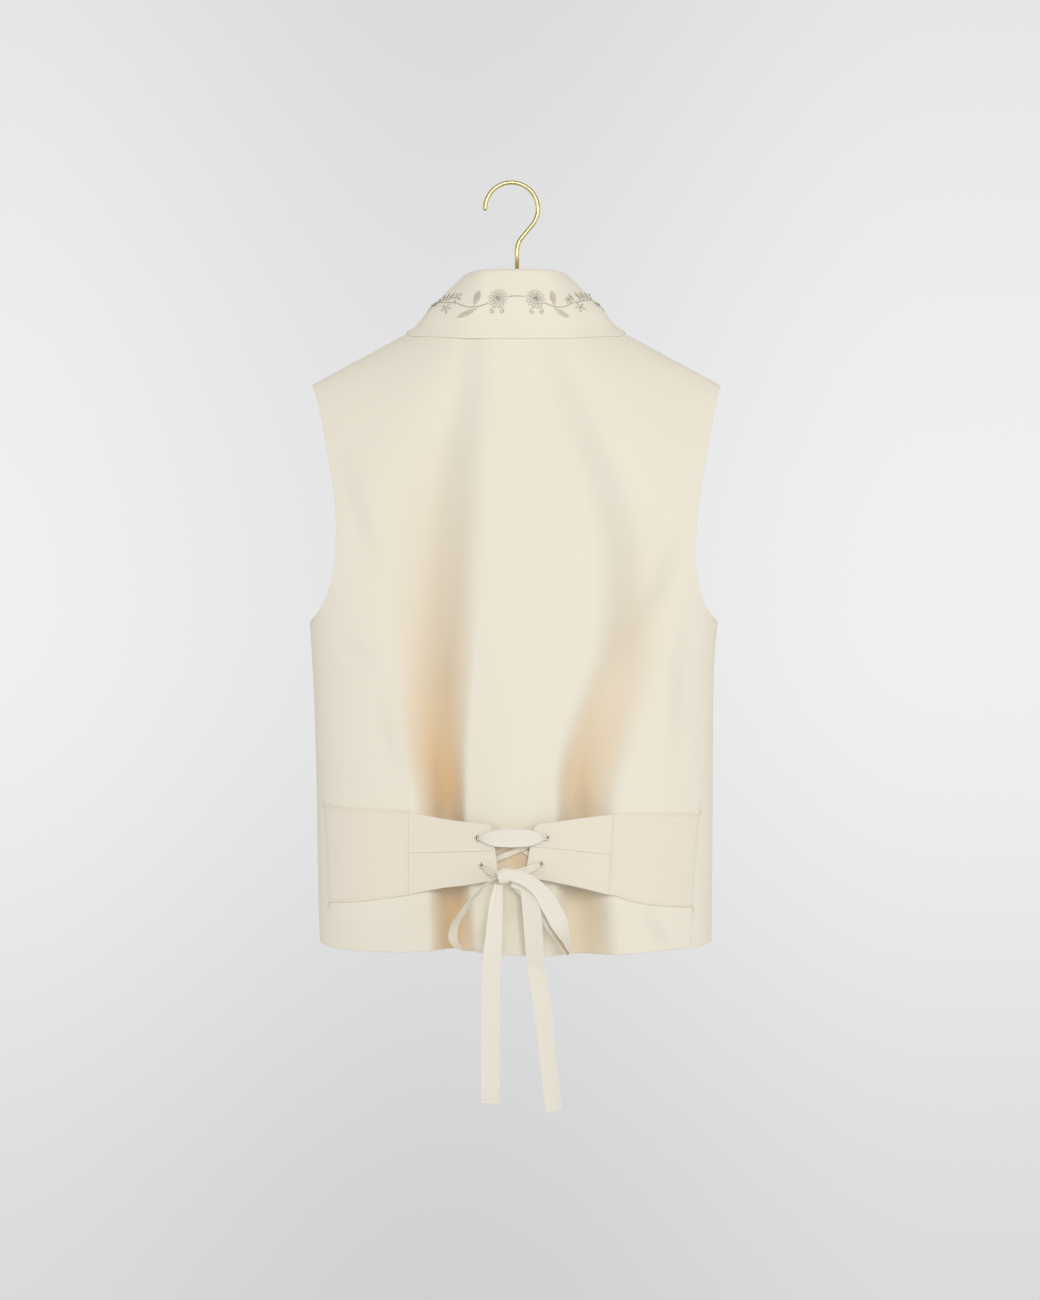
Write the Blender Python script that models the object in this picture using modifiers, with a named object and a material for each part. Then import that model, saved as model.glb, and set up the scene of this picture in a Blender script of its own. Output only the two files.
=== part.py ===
"""Sleeveless waistcoat with a laced half belt, hanging on a wire hanger.

Blender frame: metres, +Z up. The garment's back faces -Y, its fronts face +Y and the wearer's right
is +X. The origin is on the inner face of the hook, where a rail carries it, in the garment's centre
plane. Sizes below are millimetres, and heights are negative because everything hangs below the rail.
"""
import math
from collections import namedtuple

import bmesh
import bpy
from mathutils import Matrix, Vector

MM = 0.001

# ---------------------------------------------------------------- driving dimensions (mm)
HEM_Z = -762.0
UNDERARM_Z = -438.0
NECK_X = 65.0
NECK_Z = -125.0
SHOULDER_SLOPE = 0.54
SHOULDER_TIP_X = 204.0
BACK_NECK_Z = -134.7
SEAM_DROP_AT_NECK = 3.0
SEAM_DROP_AT_TIP = 18.0
RING_POWER = 2.6
CLOTH = 2.0
COLLAR_CLOTH = 2.2
SEAM_GAP = 0.3
SIDE_SEAM_GAP = 0.5
LAP_DEPTH = 2.6
LAP_HIDDEN_X = (-36.0, -18.0)
LAP_HIDDEN_Z = (-312.0, -336.0)

BACK = -1
FRONT = 1

FOLDED = "folded"
UNDER_LAP = "under the lap"
UNFOLDED = "unfolded"

SECTION_FLOOR = 0.05
GRADIENT_STEP = 0.05
CLEARING_PASSES = 4
SETTLING_PASSES = 8

Ring = namedtuple("Ring", "z left right back front")
BODY_RINGS = (
    Ring(-90.0, 240.0, 240.0, 46.0, 42.0),
    Ring(-200.0, 240.0, 240.0, 48.0, 45.0),
    Ring(-300.0, 229.0, 228.0, 54.0, 50.0),
    Ring(-380.0, 216.0, 213.0, 58.0, 54.0),
    Ring(-438.0, 206.0, 201.5, 60.0, 57.0),
    Ring(-475.0, 203.5, 198.0, 60.5, 58.0),
    Ring(-515.0, 201.5, 197.0, 61.0, 58.0),
    Ring(-600.0, 199.0, 196.5, 63.0, 58.0),
    Ring(-700.0, 197.5, 195.8, 65.0, 58.0),
    Ring(-762.0, 195.5, 195.0, 66.0, 57.0),
)

ShoulderReach = namedtuple("ShoulderReach", "x reach")
SHOULDER_REACH = (
    ShoulderReach(0.0, 60.0),
    ShoulderReach(65.0, 85.0),
    ShoulderReach(120.0, 140.0),
    ShoulderReach(204.0, 225.0),
)

Armhole = namedtuple("Armhole", "z left right")
ARMHOLE = (
    Armhole(-438.0, 206.0, 201.5),
    Armhole(-430.0, 198.5, 194.0),
    Armhole(-420.0, 191.0, 186.5),
    Armhole(-400.0, 182.5, 180.0),
    Armhole(-380.0, 178.5, 177.0),
    Armhole(-350.0, 177.0, 177.5),
    Armhole(-320.0, 178.0, 180.0),
    Armhole(-300.0, 180.5, 183.5),
    Armhole(-280.0, 184.5, 187.0),
    Armhole(-240.0, 192.0, 195.0),
    Armhole(-220.0, 197.0, 199.5),
    Armhole(-200.0, 204.0, 205.0),
)

SideSeam = namedtuple("SideSeam", "z left right")
SIDE_SEAM_DEGREES = (
    SideSeam(-762.0, 25.0, 31.7),
    SideSeam(-720.0, 24.6, 31.5),
    SideSeam(-621.0, 21.3, 25.7),
    SideSeam(-540.0, 14.0, 17.0),
    SideSeam(-480.0, 6.0, 8.0),
    SideSeam(-438.0, 0.0, 0.0),
)

Fold = namedtuple("Fold", "z centre left right depth")
LEFT_VALLEY = (
    Fold(-762.0, -60.0, 40.0, 28.0, 21.0),
    Fold(-700.0, -64.0, 38.0, 24.0, 25.0),
    Fold(-640.0, -68.0, 37.0, 19.0, 27.0),
    Fold(-596.0, -68.0, 42.0, 20.0, 24.0),
    Fold(-557.0, -70.0, 46.0, 23.0, 19.0),
    Fold(-515.0, -71.0, 50.0, 28.0, 13.0),
    Fold(-465.0, -70.0, 54.0, 32.0, 8.0),
    Fold(-415.0, -69.0, 58.0, 36.0, 4.5),
    Fold(-330.0, -66.0, 60.0, 38.0, 1.5),
    Fold(-235.0, -65.0, 60.0, 35.0, 0.0),
    Fold(-125.0, -65.0, 60.0, 30.0, 0.0),
)
RIGHT_VALLEY = (
    Fold(-762.0, 62.0, 28.0, 40.0, 22.0),
    Fold(-700.0, 60.0, 24.0, 38.0, 25.0),
    Fold(-640.0, 58.0, 20.0, 37.0, 27.0),
    Fold(-596.0, 58.5, 20.0, 38.0, 24.0),
    Fold(-557.0, 69.0, 22.0, 46.0, 19.0),
    Fold(-515.0, 86.0, 26.0, 50.0, 14.0),
    Fold(-465.0, 103.0, 30.0, 50.0, 8.0),
    Fold(-415.0, 112.0, 34.0, 48.0, 4.0),
    Fold(-375.0, 112.0, 36.0, 46.0, 1.5),
    Fold(-310.0, 100.0, 36.0, 46.0, 0.0),
    Fold(-125.0, 65.0, 30.0, 60.0, 0.0),
)
CENTRE_SWELL = (
    Fold(-762.0, -2.0, 60.0, 58.0, -8.0),
    Fold(-640.0, -6.0, 58.0, 54.0, -8.5),
    Fold(-560.0, -5.0, 62.0, 60.0, -6.0),
    Fold(-465.0, -4.0, 66.0, 66.0, -3.0),
    Fold(-300.0, -5.0, 70.0, 70.0, 0.0),
)
FRONT_FOLD_LEFT = (
    Fold(-762.0, -104.0, 44.0, 36.0, 12.0),
    Fold(-620.0, -108.0, 42.0, 34.0, 9.0),
    Fold(-500.0, -112.0, 40.0, 34.0, 4.0),
    Fold(-400.0, -114.0, 40.0, 34.0, 0.0),
)
FRONT_FOLD_RIGHT = (
    Fold(-762.0, 96.0, 38.0, 46.0, 10.0),
    Fold(-640.0, 100.0, 36.0, 44.0, 9.0),
    Fold(-520.0, 108.0, 34.0, 42.0, 5.0),
    Fold(-390.0, 112.0, 34.0, 42.0, 0.0),
)

FrontEdge = namedtuple("FrontEdge", "z x")
FRONT_EDGE = (
    FrontEdge(-762.0, -14.0),
    FrontEdge(-372.0, -14.0),
    FrontEdge(-360.0, -12.0),
    FrontEdge(-350.0, -6.0),
    FrontEdge(-340.0, 2.0),
    FrontEdge(-313.0, 12.0),
    FrontEdge(-270.0, 26.0),
    FrontEdge(-215.0, 42.0),
    FrontEdge(-165.0, 55.5),
    FrontEdge(-138.0, 62.0),
    FrontEdge(-125.0, 65.0),
)

HemLift = namedtuple("HemLift", "x lift")
HEM_LIFTS = (
    HemLift(-196.0, 7.0),
    HemLift(-182.0, 3.4),
    HemLift(-120.0, 2.0),
    HemLift(-66.0, 4.4),
    HemLift(-32.0, 2.8),
    HemLift(0.0, 1.0),
    HemLift(62.0, -0.6),
    HemLift(110.0, 0.2),
    HemLift(150.0, 3.4),
    HemLift(178.0, 4.4),
    HemLift(196.0, 7.6),
)
HEM_LIFT_TOP_Z = -690.0

# ---------------------------------------------------------------- rows and columns of the panels
LOWER_ROWS = (-762.0, -735.0, -703.0, -668.0, -632.0, -596.0, -560.0, -520.0, -480.0, -455.0)
BACK_RISES = (0.0, 0.05, 0.11, 0.2, 0.32, 0.46, 0.6, 0.73, 0.84, 0.92, 0.97, 1.0)
FRONT_RISES = (0.0, 0.05, 0.11, 0.2, 0.32, 0.46, 0.6, 0.72, 0.82, 0.9, 0.95, 0.985, 1.0)
RIDGE_TURNS = (0.12, 0.4, 1.0)
BACK_STRIPS = (6, 3, 3, 7, 3, 3, 6)
FRONT_SIDE_COLUMNS = 8
FRONT_MIDDLE_X = 150.0
FRONT_INNER_SHARES = (0.13, 0.27, 0.41, 0.55, 0.695, 0.8, 0.9, 1.0)


def read(rows, key, column):
    """Read a named column of a table at a key between its rows, without overshoot."""
    ordered = rows if rows[0][0] < rows[-1][0] else rows[::-1]
    if key <= ordered[0][0]:
        return getattr(ordered[0], column)
    if key >= ordered[-1][0]:
        return getattr(ordered[-1], column)
    index = next(i for i in range(1, len(ordered)) if ordered[i][0] >= key)

    def rate(i):
        step = ordered[i][0] - ordered[i - 1][0]
        return (getattr(ordered[i], column) - getattr(ordered[i - 1], column)) / step

    def slope(i):
        if i in (0, len(ordered) - 1):
            return rate(max(i, 1))
        before, after = rate(i), rate(i + 1)
        if before * after <= 0.0:
            return 0.0
        return 2.0 * before * after / (before + after)

    low, high = ordered[index - 1], ordered[index]
    span = high[0] - low[0]
    t = (key - low[0]) / span
    a, b = getattr(low, column), getattr(high, column)
    rise = (2 * t**3 - 3 * t**2 + 1) * a + (3 * t**2 - 2 * t**3) * b
    lean = (t**3 - 2 * t**2 + t) * slope(index - 1) + (t**3 - t**2) * slope(index)
    return rise + span * lean


def blend(a, b, t):
    """Mix two numbers or vectors."""
    return a + (b - a) * t


def ease(low, high, value):
    """Rise smoothly from 0 at low to 1 at high."""
    t = min(1.0, max(0.0, (value - low) / (high - low)))
    return t * t * (3.0 - 2.0 * t)


# ---------------------------------------------------------------- the body's form
def half_width(x, z):
    """Half width of the body on the side that x is on."""
    return read(BODY_RINGS, z, "left" if x < 0.0 else "right")


def ridge_z(x):
    """Height of the shoulder ridge, rounded over across the neck."""
    x = abs(x)
    if x >= NECK_X:
        return NECK_Z - SHOULDER_SLOPE * (x - NECK_X)
    return NECK_Z + SHOULDER_SLOPE * (NECK_X**2 - x**2) / (2.0 * NECK_X)


def fold_depth(fold, x, z):
    """Depth of one fold at a place: a trough with its own width on each side."""
    offset = x - read(fold, z, "centre")
    width = read(fold, z, "right" if offset > 0.0 else "left")
    share = min(1.0, abs(offset) / width)
    return read(fold, z, "depth") * math.cos(0.5 * math.pi * share) ** 2


def relief(x, z, side, lie):
    """How far the folds lift the cloth off the plain form."""
    if lie == UNFOLDED:
        return 0.0
    if side == BACK:
        folds = (LEFT_VALLEY, RIGHT_VALLEY, CENTRE_SWELL)
    else:
        folds = (FRONT_FOLD_LEFT, FRONT_FOLD_RIGHT)
    lift = -sum(fold_depth(fold, x, z) for fold in folds)
    if lie == UNDER_LAP:
        lift -= LAP_DEPTH * ease(*LAP_HIDDEN_X, x) * ease(*LAP_HIDDEN_Z, z)
    return lift


def plain_depth(x, z, side):
    """Depth of the unfolded form: body depth, ring section, and the share left by the shoulder."""
    depth = read(BODY_RINGS, z, "back" if side == BACK else "front")
    across = min(1.0, abs(x) / half_width(x, z))
    section = (1.0 - across**RING_POWER) ** (1.0 / RING_POWER)
    drop = max(0.0, ridge_z(x) - z) / read(SHOULDER_REACH, abs(x), "reach")
    shoulder = math.sqrt(max(0.0, 1.0 - (1.0 - min(1.0, drop)) ** 2))
    return depth, section, shoulder


def surface_y(x, z, side, lie=FOLDED):
    """Y of the cloth's outer face."""
    depth, section, shoulder = plain_depth(x, z, side)
    return side * (depth * section * shoulder + relief(x, z, side, lie))


def outside(x, y, z, side, lie=FOLDED):
    """A value that is 0 on the cloth's outer face and grows away from the body."""
    depth, section, shoulder = plain_depth(x, z, side)
    lifted = side * y - relief(x, z, side, lie)
    reach = read(SHOULDER_REACH, abs(x), "reach")
    drop = (ridge_z(x) - z) / reach
    if drop >= 1.0:
        return (abs(x) / half_width(x, z)) ** RING_POWER + (abs(lifted) / depth) ** RING_POWER - 1.0
    return (lifted / (depth * max(section, SECTION_FLOOR))) ** 2 + (1.0 - drop) ** 2 - 1.0


def slope_of(x, y, z, side, lie=FOLDED):
    """Gradient of the outside value."""
    h = GRADIENT_STEP
    return Vector((
        outside(x + h, y, z, side, lie) - outside(x - h, y, z, side, lie),
        outside(x, y + h, z, side, lie) - outside(x, y - h, z, side, lie),
        outside(x, y, z + h, side, lie) - outside(x, y, z - h, side, lie),
    )) / (2.0 * h)


def cloth_point(x, z, side, lie=FOLDED):
    """A point of the outer face, with the direction that leaves the body there."""
    y = surface_y(x, z, side, lie)
    return Vector((x, y, z)), slope_of(x, y, z, side, lie).normalized()


def keep_clear(point, distance):
    """Push a point away from the body until it is at least a distance off it."""
    for _ in range(CLEARING_PASSES):
        side = BACK if point.y < 0.0 else FRONT
        slope = slope_of(*point, side)
        gap = outside(*point, side) / slope.length
        if gap >= distance:
            break
        point = point + slope.normalized() * (distance - gap)
    return point


def angle_at(x, z):
    """Angle round the ring, 0 at the right side and 180 degrees at the left, for a place across it."""
    share = min(1.0, abs(x) / half_width(x, z)) ** (0.5 * RING_POWER)
    return math.acos(math.copysign(share, x))


def x_at(angle, z):
    """Place across the ring for an angle round it."""
    turn = math.cos(angle)
    return math.copysign(abs(turn) ** (2.0 / RING_POWER), turn) * half_width(turn, z)


def hand_column(hand):
    """Name of a table's column for the wearer's left (-1) or right (+1)."""
    return "left" if hand < 0 else "right"


def shoulder_seam_drop(x):
    """How far behind and below the ridge the shoulder seam lies."""
    share = (abs(x) - NECK_X) / (SHOULDER_TIP_X - NECK_X)
    return blend(SEAM_DROP_AT_NECK, SEAM_DROP_AT_TIP, min(1.0, max(0.0, share)))


def back_top_z(x):
    """Top edge of the back: the neckline between the shoulder seams."""
    if abs(x) >= NECK_X:
        return ridge_z(x) - shoulder_seam_drop(x) - 0.5 * SEAM_GAP
    seam_end = NECK_Z - SEAM_DROP_AT_NECK - 0.5 * SEAM_GAP
    return blend(BACK_NECK_Z, seam_end, (x / NECK_X) ** 2)


def lifted_z(x, z):
    """Height of a low row where the hem is not quite level."""
    return z + read(HEM_LIFTS, x, "lift") * ease(HEM_LIFT_TOP_Z, HEM_Z, z)


def edge_place(edge_x, top_z, rise):
    """X and z where a rising row meets an edge: each depends on the other, so they settle in turn."""
    x = edge_x(UNDERARM_Z)
    z = UNDERARM_Z
    for _ in range(SETTLING_PASSES):
        z = blend(UNDERARM_Z, top_z(x), rise)
        x = edge_x(z)
    return x, z


# ---------------------------------------------------------------- panels as grids of points
def open_seam(row, edge_gap):
    """Draw the two ends of a row in by half a seam's gap."""
    for end, inner in ((0, 1), (-1, -2)):
        (point, _), (next_point, _) = row[end], row[inner]
        step = (next_point - point).normalized() * edge_gap
        row[end] = (point + step, row[end][1])


def back_feature_angles(row_z, right_x, left_x):
    """Angles of the lines that the back's columns follow: its edges and the sides of its valleys."""
    places = [right_x]
    centre = read(RIGHT_VALLEY, row_z, "centre")
    places += [centre + read(RIGHT_VALLEY, row_z, "right"), centre]
    places += [centre - read(RIGHT_VALLEY, row_z, "left")]
    centre = read(LEFT_VALLEY, row_z, "centre")
    places += [centre + read(LEFT_VALLEY, row_z, "right"), centre]
    places += [centre - read(LEFT_VALLEY, row_z, "left"), left_x]
    return [angle_at(x, row_z) for x in places]


def strip_angles(features, z):
    """Split the strips between feature lines into columns: by angle at the sides, else by width."""
    angles = [features[0]]
    last = len(BACK_STRIPS) - 1
    for index, count in enumerate(BACK_STRIPS):
        start, end = features[index:index + 2]
        for i in range(1, count + 1):
            if index in (0, last):
                angles.append(blend(start, end, i / count))
            else:
                angles.append(angle_at(blend(x_at(start, z), x_at(end, z), i / count), z))
    return angles


def back_grid():
    """Rows of the back panel from the hem to the neckline and shoulder seams."""
    rows = []
    for z in LOWER_ROWS:
        right = math.radians(read(SIDE_SEAM_DEGREES, z, "right"))
        left = math.pi - math.radians(read(SIDE_SEAM_DEGREES, z, "left"))
        features = back_feature_angles(z, x_at(right, z), x_at(left, z))
        features[0], features[-1] = right, left
        places = [x_at(angle, z) for angle in strip_angles(features, z)]
        row = [cloth_point(x, lifted_z(x, z), BACK) for x in places]
        open_seam(row, 0.5 * SIDE_SEAM_GAP)
        rows.append(row)
    for rise in BACK_RISES:
        middle_z = blend(UNDERARM_Z, NECK_Z - SEAM_DROP_AT_NECK, rise)
        ends = {}
        for hand in (-1, 1):
            def edge_x(z, hand=hand):
                return hand * read(ARMHOLE, z, hand_column(hand))
            ends[hand] = edge_place(edge_x, back_top_z, rise)[0]
        features = back_feature_angles(middle_z, ends[1], ends[-1])
        row = []
        for angle in strip_angles(features, middle_z):
            x = x_at(angle, middle_z)
            row.append(cloth_point(x, blend(UNDERARM_Z, back_top_z(x), rise), BACK))
        if rise == 0.0:
            open_seam(row, 0.5 * SIDE_SEAM_GAP)
        rows.append(row)
    return rows


def front_point(hand, angle, row_z, z_of, lie):
    """A point of a front at an angle past the side: before the side it is on the garment's back."""
    turn = math.cos(angle)
    width = read(BODY_RINGS, row_z, hand_column(hand if turn >= 0.0 else -hand))
    x = hand * math.copysign(abs(turn) ** (2.0 / RING_POWER), turn) * width
    side = BACK if angle < 0.0 else FRONT
    return cloth_point(x, z_of(x), side, lie)


def front_angle(hand, x, row_z):
    """Angle from a front's own side to a place across it, counted towards the other side."""
    width = read(BODY_RINGS, row_z, hand_column(hand if x >= 0.0 else -hand))
    return math.acos(math.copysign((abs(x) / width) ** (0.5 * RING_POWER), x))


def front_columns(hand, start, inner_x, row_z):
    """Angles of a front's columns: round the side by angle, then across to its free edge by width."""
    middle = front_angle(hand, FRONT_MIDDLE_X, row_z)
    angles = [blend(start, middle, i / FRONT_SIDE_COLUMNS) for i in range(FRONT_SIDE_COLUMNS + 1)]
    for share in FRONT_INNER_SHARES:
        angles.append(front_angle(hand, blend(FRONT_MIDDLE_X, inner_x, share), row_z))
    return angles


def front_grid(hand):
    """Rows of a front from the hem, over the shoulder ridge, down to the seam on the back."""
    lie = UNDER_LAP if hand < 0 else FOLDED
    rows = []
    for z in LOWER_ROWS:
        start = -math.radians(read(SIDE_SEAM_DEGREES, z, hand_column(hand)))
        angles = front_columns(hand, start, read(FRONT_EDGE, z, "x"), z)

        def level_z(x, z=z):
            return lifted_z(x, z)
        rows.append([front_point(hand, angle, z, level_z, lie) for angle in angles])
    for rise in FRONT_RISES:
        row_z = blend(UNDERARM_Z, NECK_Z, rise)
        outer_x, _ = edge_place(lambda z: read(ARMHOLE, z, hand_column(hand)), ridge_z, rise)
        inner_x, _ = edge_place(lambda z: read(FRONT_EDGE, z, "x"), ridge_z, rise)
        angles = front_columns(hand, front_angle(hand, outer_x, row_z), inner_x, row_z)

        def place_z(x, rise=rise):
            return blend(UNDERARM_Z, ridge_z(x), rise)
        rows.append([front_point(hand, angle, row_z, place_z, lie) for angle in angles])
    for row in rows[:len(LOWER_ROWS) + 1]:
        (point, leave), (inner, _) = row[:2]
        row[0] = (point + (inner - point).normalized() * 0.5 * SIDE_SEAM_GAP, leave)
    ridge_row = rows[-1]
    tip_x = abs(ridge_row[0][0].x)
    for turn in RIDGE_TURNS:
        tip_z = ridge_z(tip_x) - SEAM_DROP_AT_TIP * turn
        narrowing = 1.0 - read(ARMHOLE, tip_z, hand_column(hand)) / tip_x
        row = []
        for point, _ in ridge_row:
            x = point.x * (1.0 - narrowing * ease(NECK_X, tip_x, abs(point.x)))
            drop = (shoulder_seam_drop(x) - 0.5 * SEAM_GAP) * turn
            row.append(cloth_point(x, ridge_z(x) - drop, BACK))
        rows.append(row)
    return rows


# ---------------------------------------------------------------- collar
Section = namedtuple(
    "Section", "station seam_x seam_z seam_side roll_x roll_y roll_z edge_x edge_y edge_z")
COLLAR_HALF = (
    Section(0, 0.0, -134.7, BACK, 0.0, -43.0, -91.5, 0.0, -54.0, -159.5),
    Section(1, 30.0, -133.3, BACK, 28.0, -40.5, -91.7, 42.0, -49.0, -158.4),
    Section(2, 52.0, -130.6, BACK, 43.0, -29.0, -92.0, 84.0, -33.0, -155.3),
    Section(3, 63.0, -128.2, BACK, 50.0, -12.5, -93.6, 107.0, -17.0, -152.6),
    Section(4, 63.2, -125.0, FRONT, 53.0, 4.0, -98.6, 111.0, 1.0, -147.4),
    Section(5, 60.6, -138.0, FRONT, 55.0, 19.0, -113.0, 112.0, 18.0, -156.0),
    Section(6, 54.4, -165.0, FRONT, 51.5, 35.0, -142.0, 111.0, 35.0, -182.0),
    Section(7, 40.8, -215.0, FRONT, 39.0, 53.0, -200.0, 105.0, 50.0, -222.0),
    Section(8, 25.0, -270.0, FRONT, 22.5, 61.5, -262.0, 80.0, 60.0, -272.0),
    Section(9, 11.2, -313.0, FRONT, 9.5, 65.0, -309.0, 36.0, 66.0, -318.0),
    Section(10, 4.0, -335.0, FRONT, 2.5, 65.0, -334.0, 8.0, 68.0, -341.0),
)
COLLAR_STEPS_PER_STATION = 2
STAND_CELLS = 4
FALL_CELLS = 5
COLLAR_CLEARANCE = 3.2
LAST_BACK_STATION = 3.5
ROLL_DIRECTION_STEP = 0.2
WIDEST_ROLL = 7.0
ROLL_TO_FALL = 0.45
ROLL_TO_STAND = 0.8
LEAST_ROLL = 1.5
STAND_BEND = 0.55
STAND_PULL = 0.8
FALL_BEND = 0.35
FALL_SPRING = 0.2
FALL_CELL_GROWTH = 1.25


def bezier(a, b, c, d, t):
    """A point of a cubic curve through its four control points."""
    s = 1.0 - t
    return a * s**3 + b * (3 * s * s * t) + c * (3 * s * t * t) + d * t**3


def roll_point(station):
    """Top of the collar's roll at a station along its half."""
    return Vector([read(COLLAR_HALF, station, "roll_" + axis) for axis in "xyz"])


def collar_section(station):
    """Cross-section of the collar's middle surface: up the stand, over the roll, down the fall."""
    last = COLLAR_HALF[-1].station
    side = BACK if station < LAST_BACK_STATION else FRONT
    seam_x = read(COLLAR_HALF, station, "seam_x")
    seam_z = min(read(COLLAR_HALF, station, "seam_z"), ridge_z(seam_x))
    seam, leave = cloth_point(seam_x, seam_z, side)
    seam = seam - leave * 0.5 * CLOTH
    roll = roll_point(station)
    edge = Vector([read(COLLAR_HALF, station, "edge_" + axis) for axis in "xyz"])
    along = roll_point(min(last, station + ROLL_DIRECTION_STEP))
    along = (along - roll_point(max(0.0, station - ROLL_DIRECTION_STEP))).normalized()
    across = edge - seam
    across.z = 0.0
    across = (across - along * across.dot(along)).normalized()
    rise = (roll - seam).normalized()
    seam = seam + rise * (SEAM_GAP + 0.5 * COLLAR_CLOTH)
    by_stand = ROLL_TO_STAND * (roll - seam).length + LEAST_ROLL
    span = min(WIDEST_ROLL, ROLL_TO_FALL * (roll - edge).length, by_stand)
    behind = roll - across * span * STAND_PULL
    points = []
    for i in range(STAND_CELLS + 1):
        t = i / STAND_CELLS
        points.append(bezier(seam, blend(seam, roll, STAND_BEND), behind, roll, t))
    shoulder = roll + across * span
    bend = blend(roll, edge, FALL_BEND) + across * span * FALL_SPRING
    for i in range(1, FALL_CELLS + 1):
        t = (i / FALL_CELLS) ** FALL_CELL_GROWTH
        clearance = COLLAR_CLEARANCE * min(1.0, 2.0 * t)
        points.append(keep_clear(bezier(roll, shoulder, bend, edge, t), clearance))
    return points


def collar_grid():
    """Rows of points along the collar, from the left front's end round the neck to the right's."""
    count = COLLAR_HALF[-1].station * COLLAR_STEPS_PER_STATION
    half = [collar_section(i / COLLAR_STEPS_PER_STATION) for i in range(count + 1)]
    mirrored = [[Vector((-p.x, p.y, p.z)) for p in section] for section in half[:0:-1]]
    return mirrored + half


# ---------------------------------------------------------------- half belt
BELT_GAP = 0.5
PATCH_FACE = CLOTH + BELT_GAP
PATCH_SEAM_INSET = 0.6
PatchLine = namedtuple("PatchLine", "x top bottom")
PATCHES = {
    "left": (
        PatchLine(-188.0, -619.1, -714.0),
        PatchLine(-150.0, -620.6, -710.5),
        PatchLine(-104.6, -622.3, -703.4),
    ),
    "right": (
        PatchLine(94.6, -624.8, -703.4),
        PatchLine(117.5, -624.6, -711.2),
        PatchLine(145.0, -625.2, -715.4),
        PatchLine(183.0, -627.4, -718.0),
    ),
}
PATCH_COLUMNS = 6
PATCH_ROWS = 4

TabLine = namedtuple("TabLine", "share top middle bottom")
TabReach = namedtuple("TabReach", "lines root_top root_bottom end_top end_bottom")
TABS = {
    "left": TabReach((
        TabLine(0.0, -622.3, -662.5, -703.4),
        TabLine(0.37, -628.2, -661.3, -696.3),
        TabLine(0.65, -631.2, -660.4, -692.8),
        TabLine(0.9, -632.9, -659.3, -688.6),
        TabLine(0.96, -633.8, -659.1, -687.6),
        TabLine(1.0, -637.2, -658.9, -685.4),
    ), -104.3, -104.3, -22.6, -16.6),
    "right": TabReach((
        TabLine(0.0, -624.8, -664.4, -703.4),
        TabLine(0.39, -628.2, -660.2, -695.0),
        TabLine(0.73, -631.4, -656.9, -688.9),
        TabLine(0.9, -632.9, -655.8, -686.0),
        TabLine(0.96, -634.2, -655.3, -685.2),
        TabLine(1.0, -638.2, -655.1, -683.0),
    ), 94.5, 90.0, 16.6, 9.0),
}
TAB_SHARES = (0.0, 0.16, 0.34, 0.52, 0.68, 0.82, 0.91, 0.96, 1.0)
TAB_ROWS = 3
TAB_END_Y = -79.5


def patch_edge_x(side, z):
    """Where a belt patch meets its tab: the right one's edge leans a little."""
    reach = TABS[side]
    root = reach.lines[0]
    share = (z - root.top) / (root.bottom - root.top)
    return blend(reach.root_top, reach.root_bottom, min(1.0, max(0.0, share)))


def patch_grid(side):
    """A belt patch: the back panel's own columns between two edge lines, moved out."""
    lines = PATCHES[side]
    hand = -1 if side == "left" else 1
    rows = []
    for i in range(PATCH_ROWS + 1):
        down = i / PATCH_ROWS
        level = blend(lines[0].top, lines[0].bottom, down)
        right = math.radians(read(SIDE_SEAM_DEGREES, level, "right"))
        left = math.pi - math.radians(read(SIDE_SEAM_DEGREES, level, "left"))
        features = back_feature_angles(level, x_at(right, level), x_at(left, level))
        columns = strip_angles(features, level)
        columns = columns[:PATCH_COLUMNS] if hand > 0 else columns[:-PATCH_COLUMNS - 1:-1]
        columns[0] += hand * math.radians(PATCH_SEAM_INSET)
        columns.append(angle_at(patch_edge_x(side, level) + hand * SEAM_GAP, level))
        row = []
        for angle in columns:
            x = x_at(angle, level)
            z = blend(read(lines, x, "top"), read(lines, x, "bottom"), down)
            point, leave = cloth_point(x, z, BACK, UNFOLDED)
            row.append((point + leave * PATCH_FACE, leave))
        rows.append(row)
    return rows


def tab_y(side, x, z):
    """Y of a tab's outer face: stretched straight from its patch over the valley to its end."""
    root = patch_edge_x(side, z)
    point, leave = cloth_point(root, z, BACK, UNFOLDED)
    root_y = (point + leave * PATCH_FACE).y
    return blend(root_y, TAB_END_Y, (x - root) / (TABS[side].end_bottom - root))


def tab_point(side, part, share, down):
    """A point of one half of a tab: share is how far along it, down how far across the half."""
    reach = TABS[side]
    middle = read(reach.lines, share, "middle")
    if part == "upper":
        z = blend(read(reach.lines, share, "top"), middle + 0.5 * SEAM_GAP, down)
    else:
        z = blend(middle - 0.5 * SEAM_GAP, read(reach.lines, share, "bottom"), down)
    end = reach.lines[-1]
    fall = min(1.0, max(0.0, (z - end.top) / (end.bottom - end.top)))
    x = blend(patch_edge_x(side, z), blend(reach.end_top, reach.end_bottom, fall), share)
    return Vector((x, tab_y(side, x, z), z))


def tab_grid(side, part):
    """One half of a tab, from its upper edge to its lower edge, each point with its way out."""
    rows = []
    for i in range(TAB_ROWS + 1):
        rows.append([tab_point(side, part, share, i / TAB_ROWS) for share in TAB_SHARES])
    run = rows[0][-1] - rows[0][0]
    out = run.cross(Vector((0.0, 0.0, 1.0))).normalized()
    out = out if out.y < 0.0 else -out
    return [[(point, out) for point in row] for row in rows]


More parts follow.
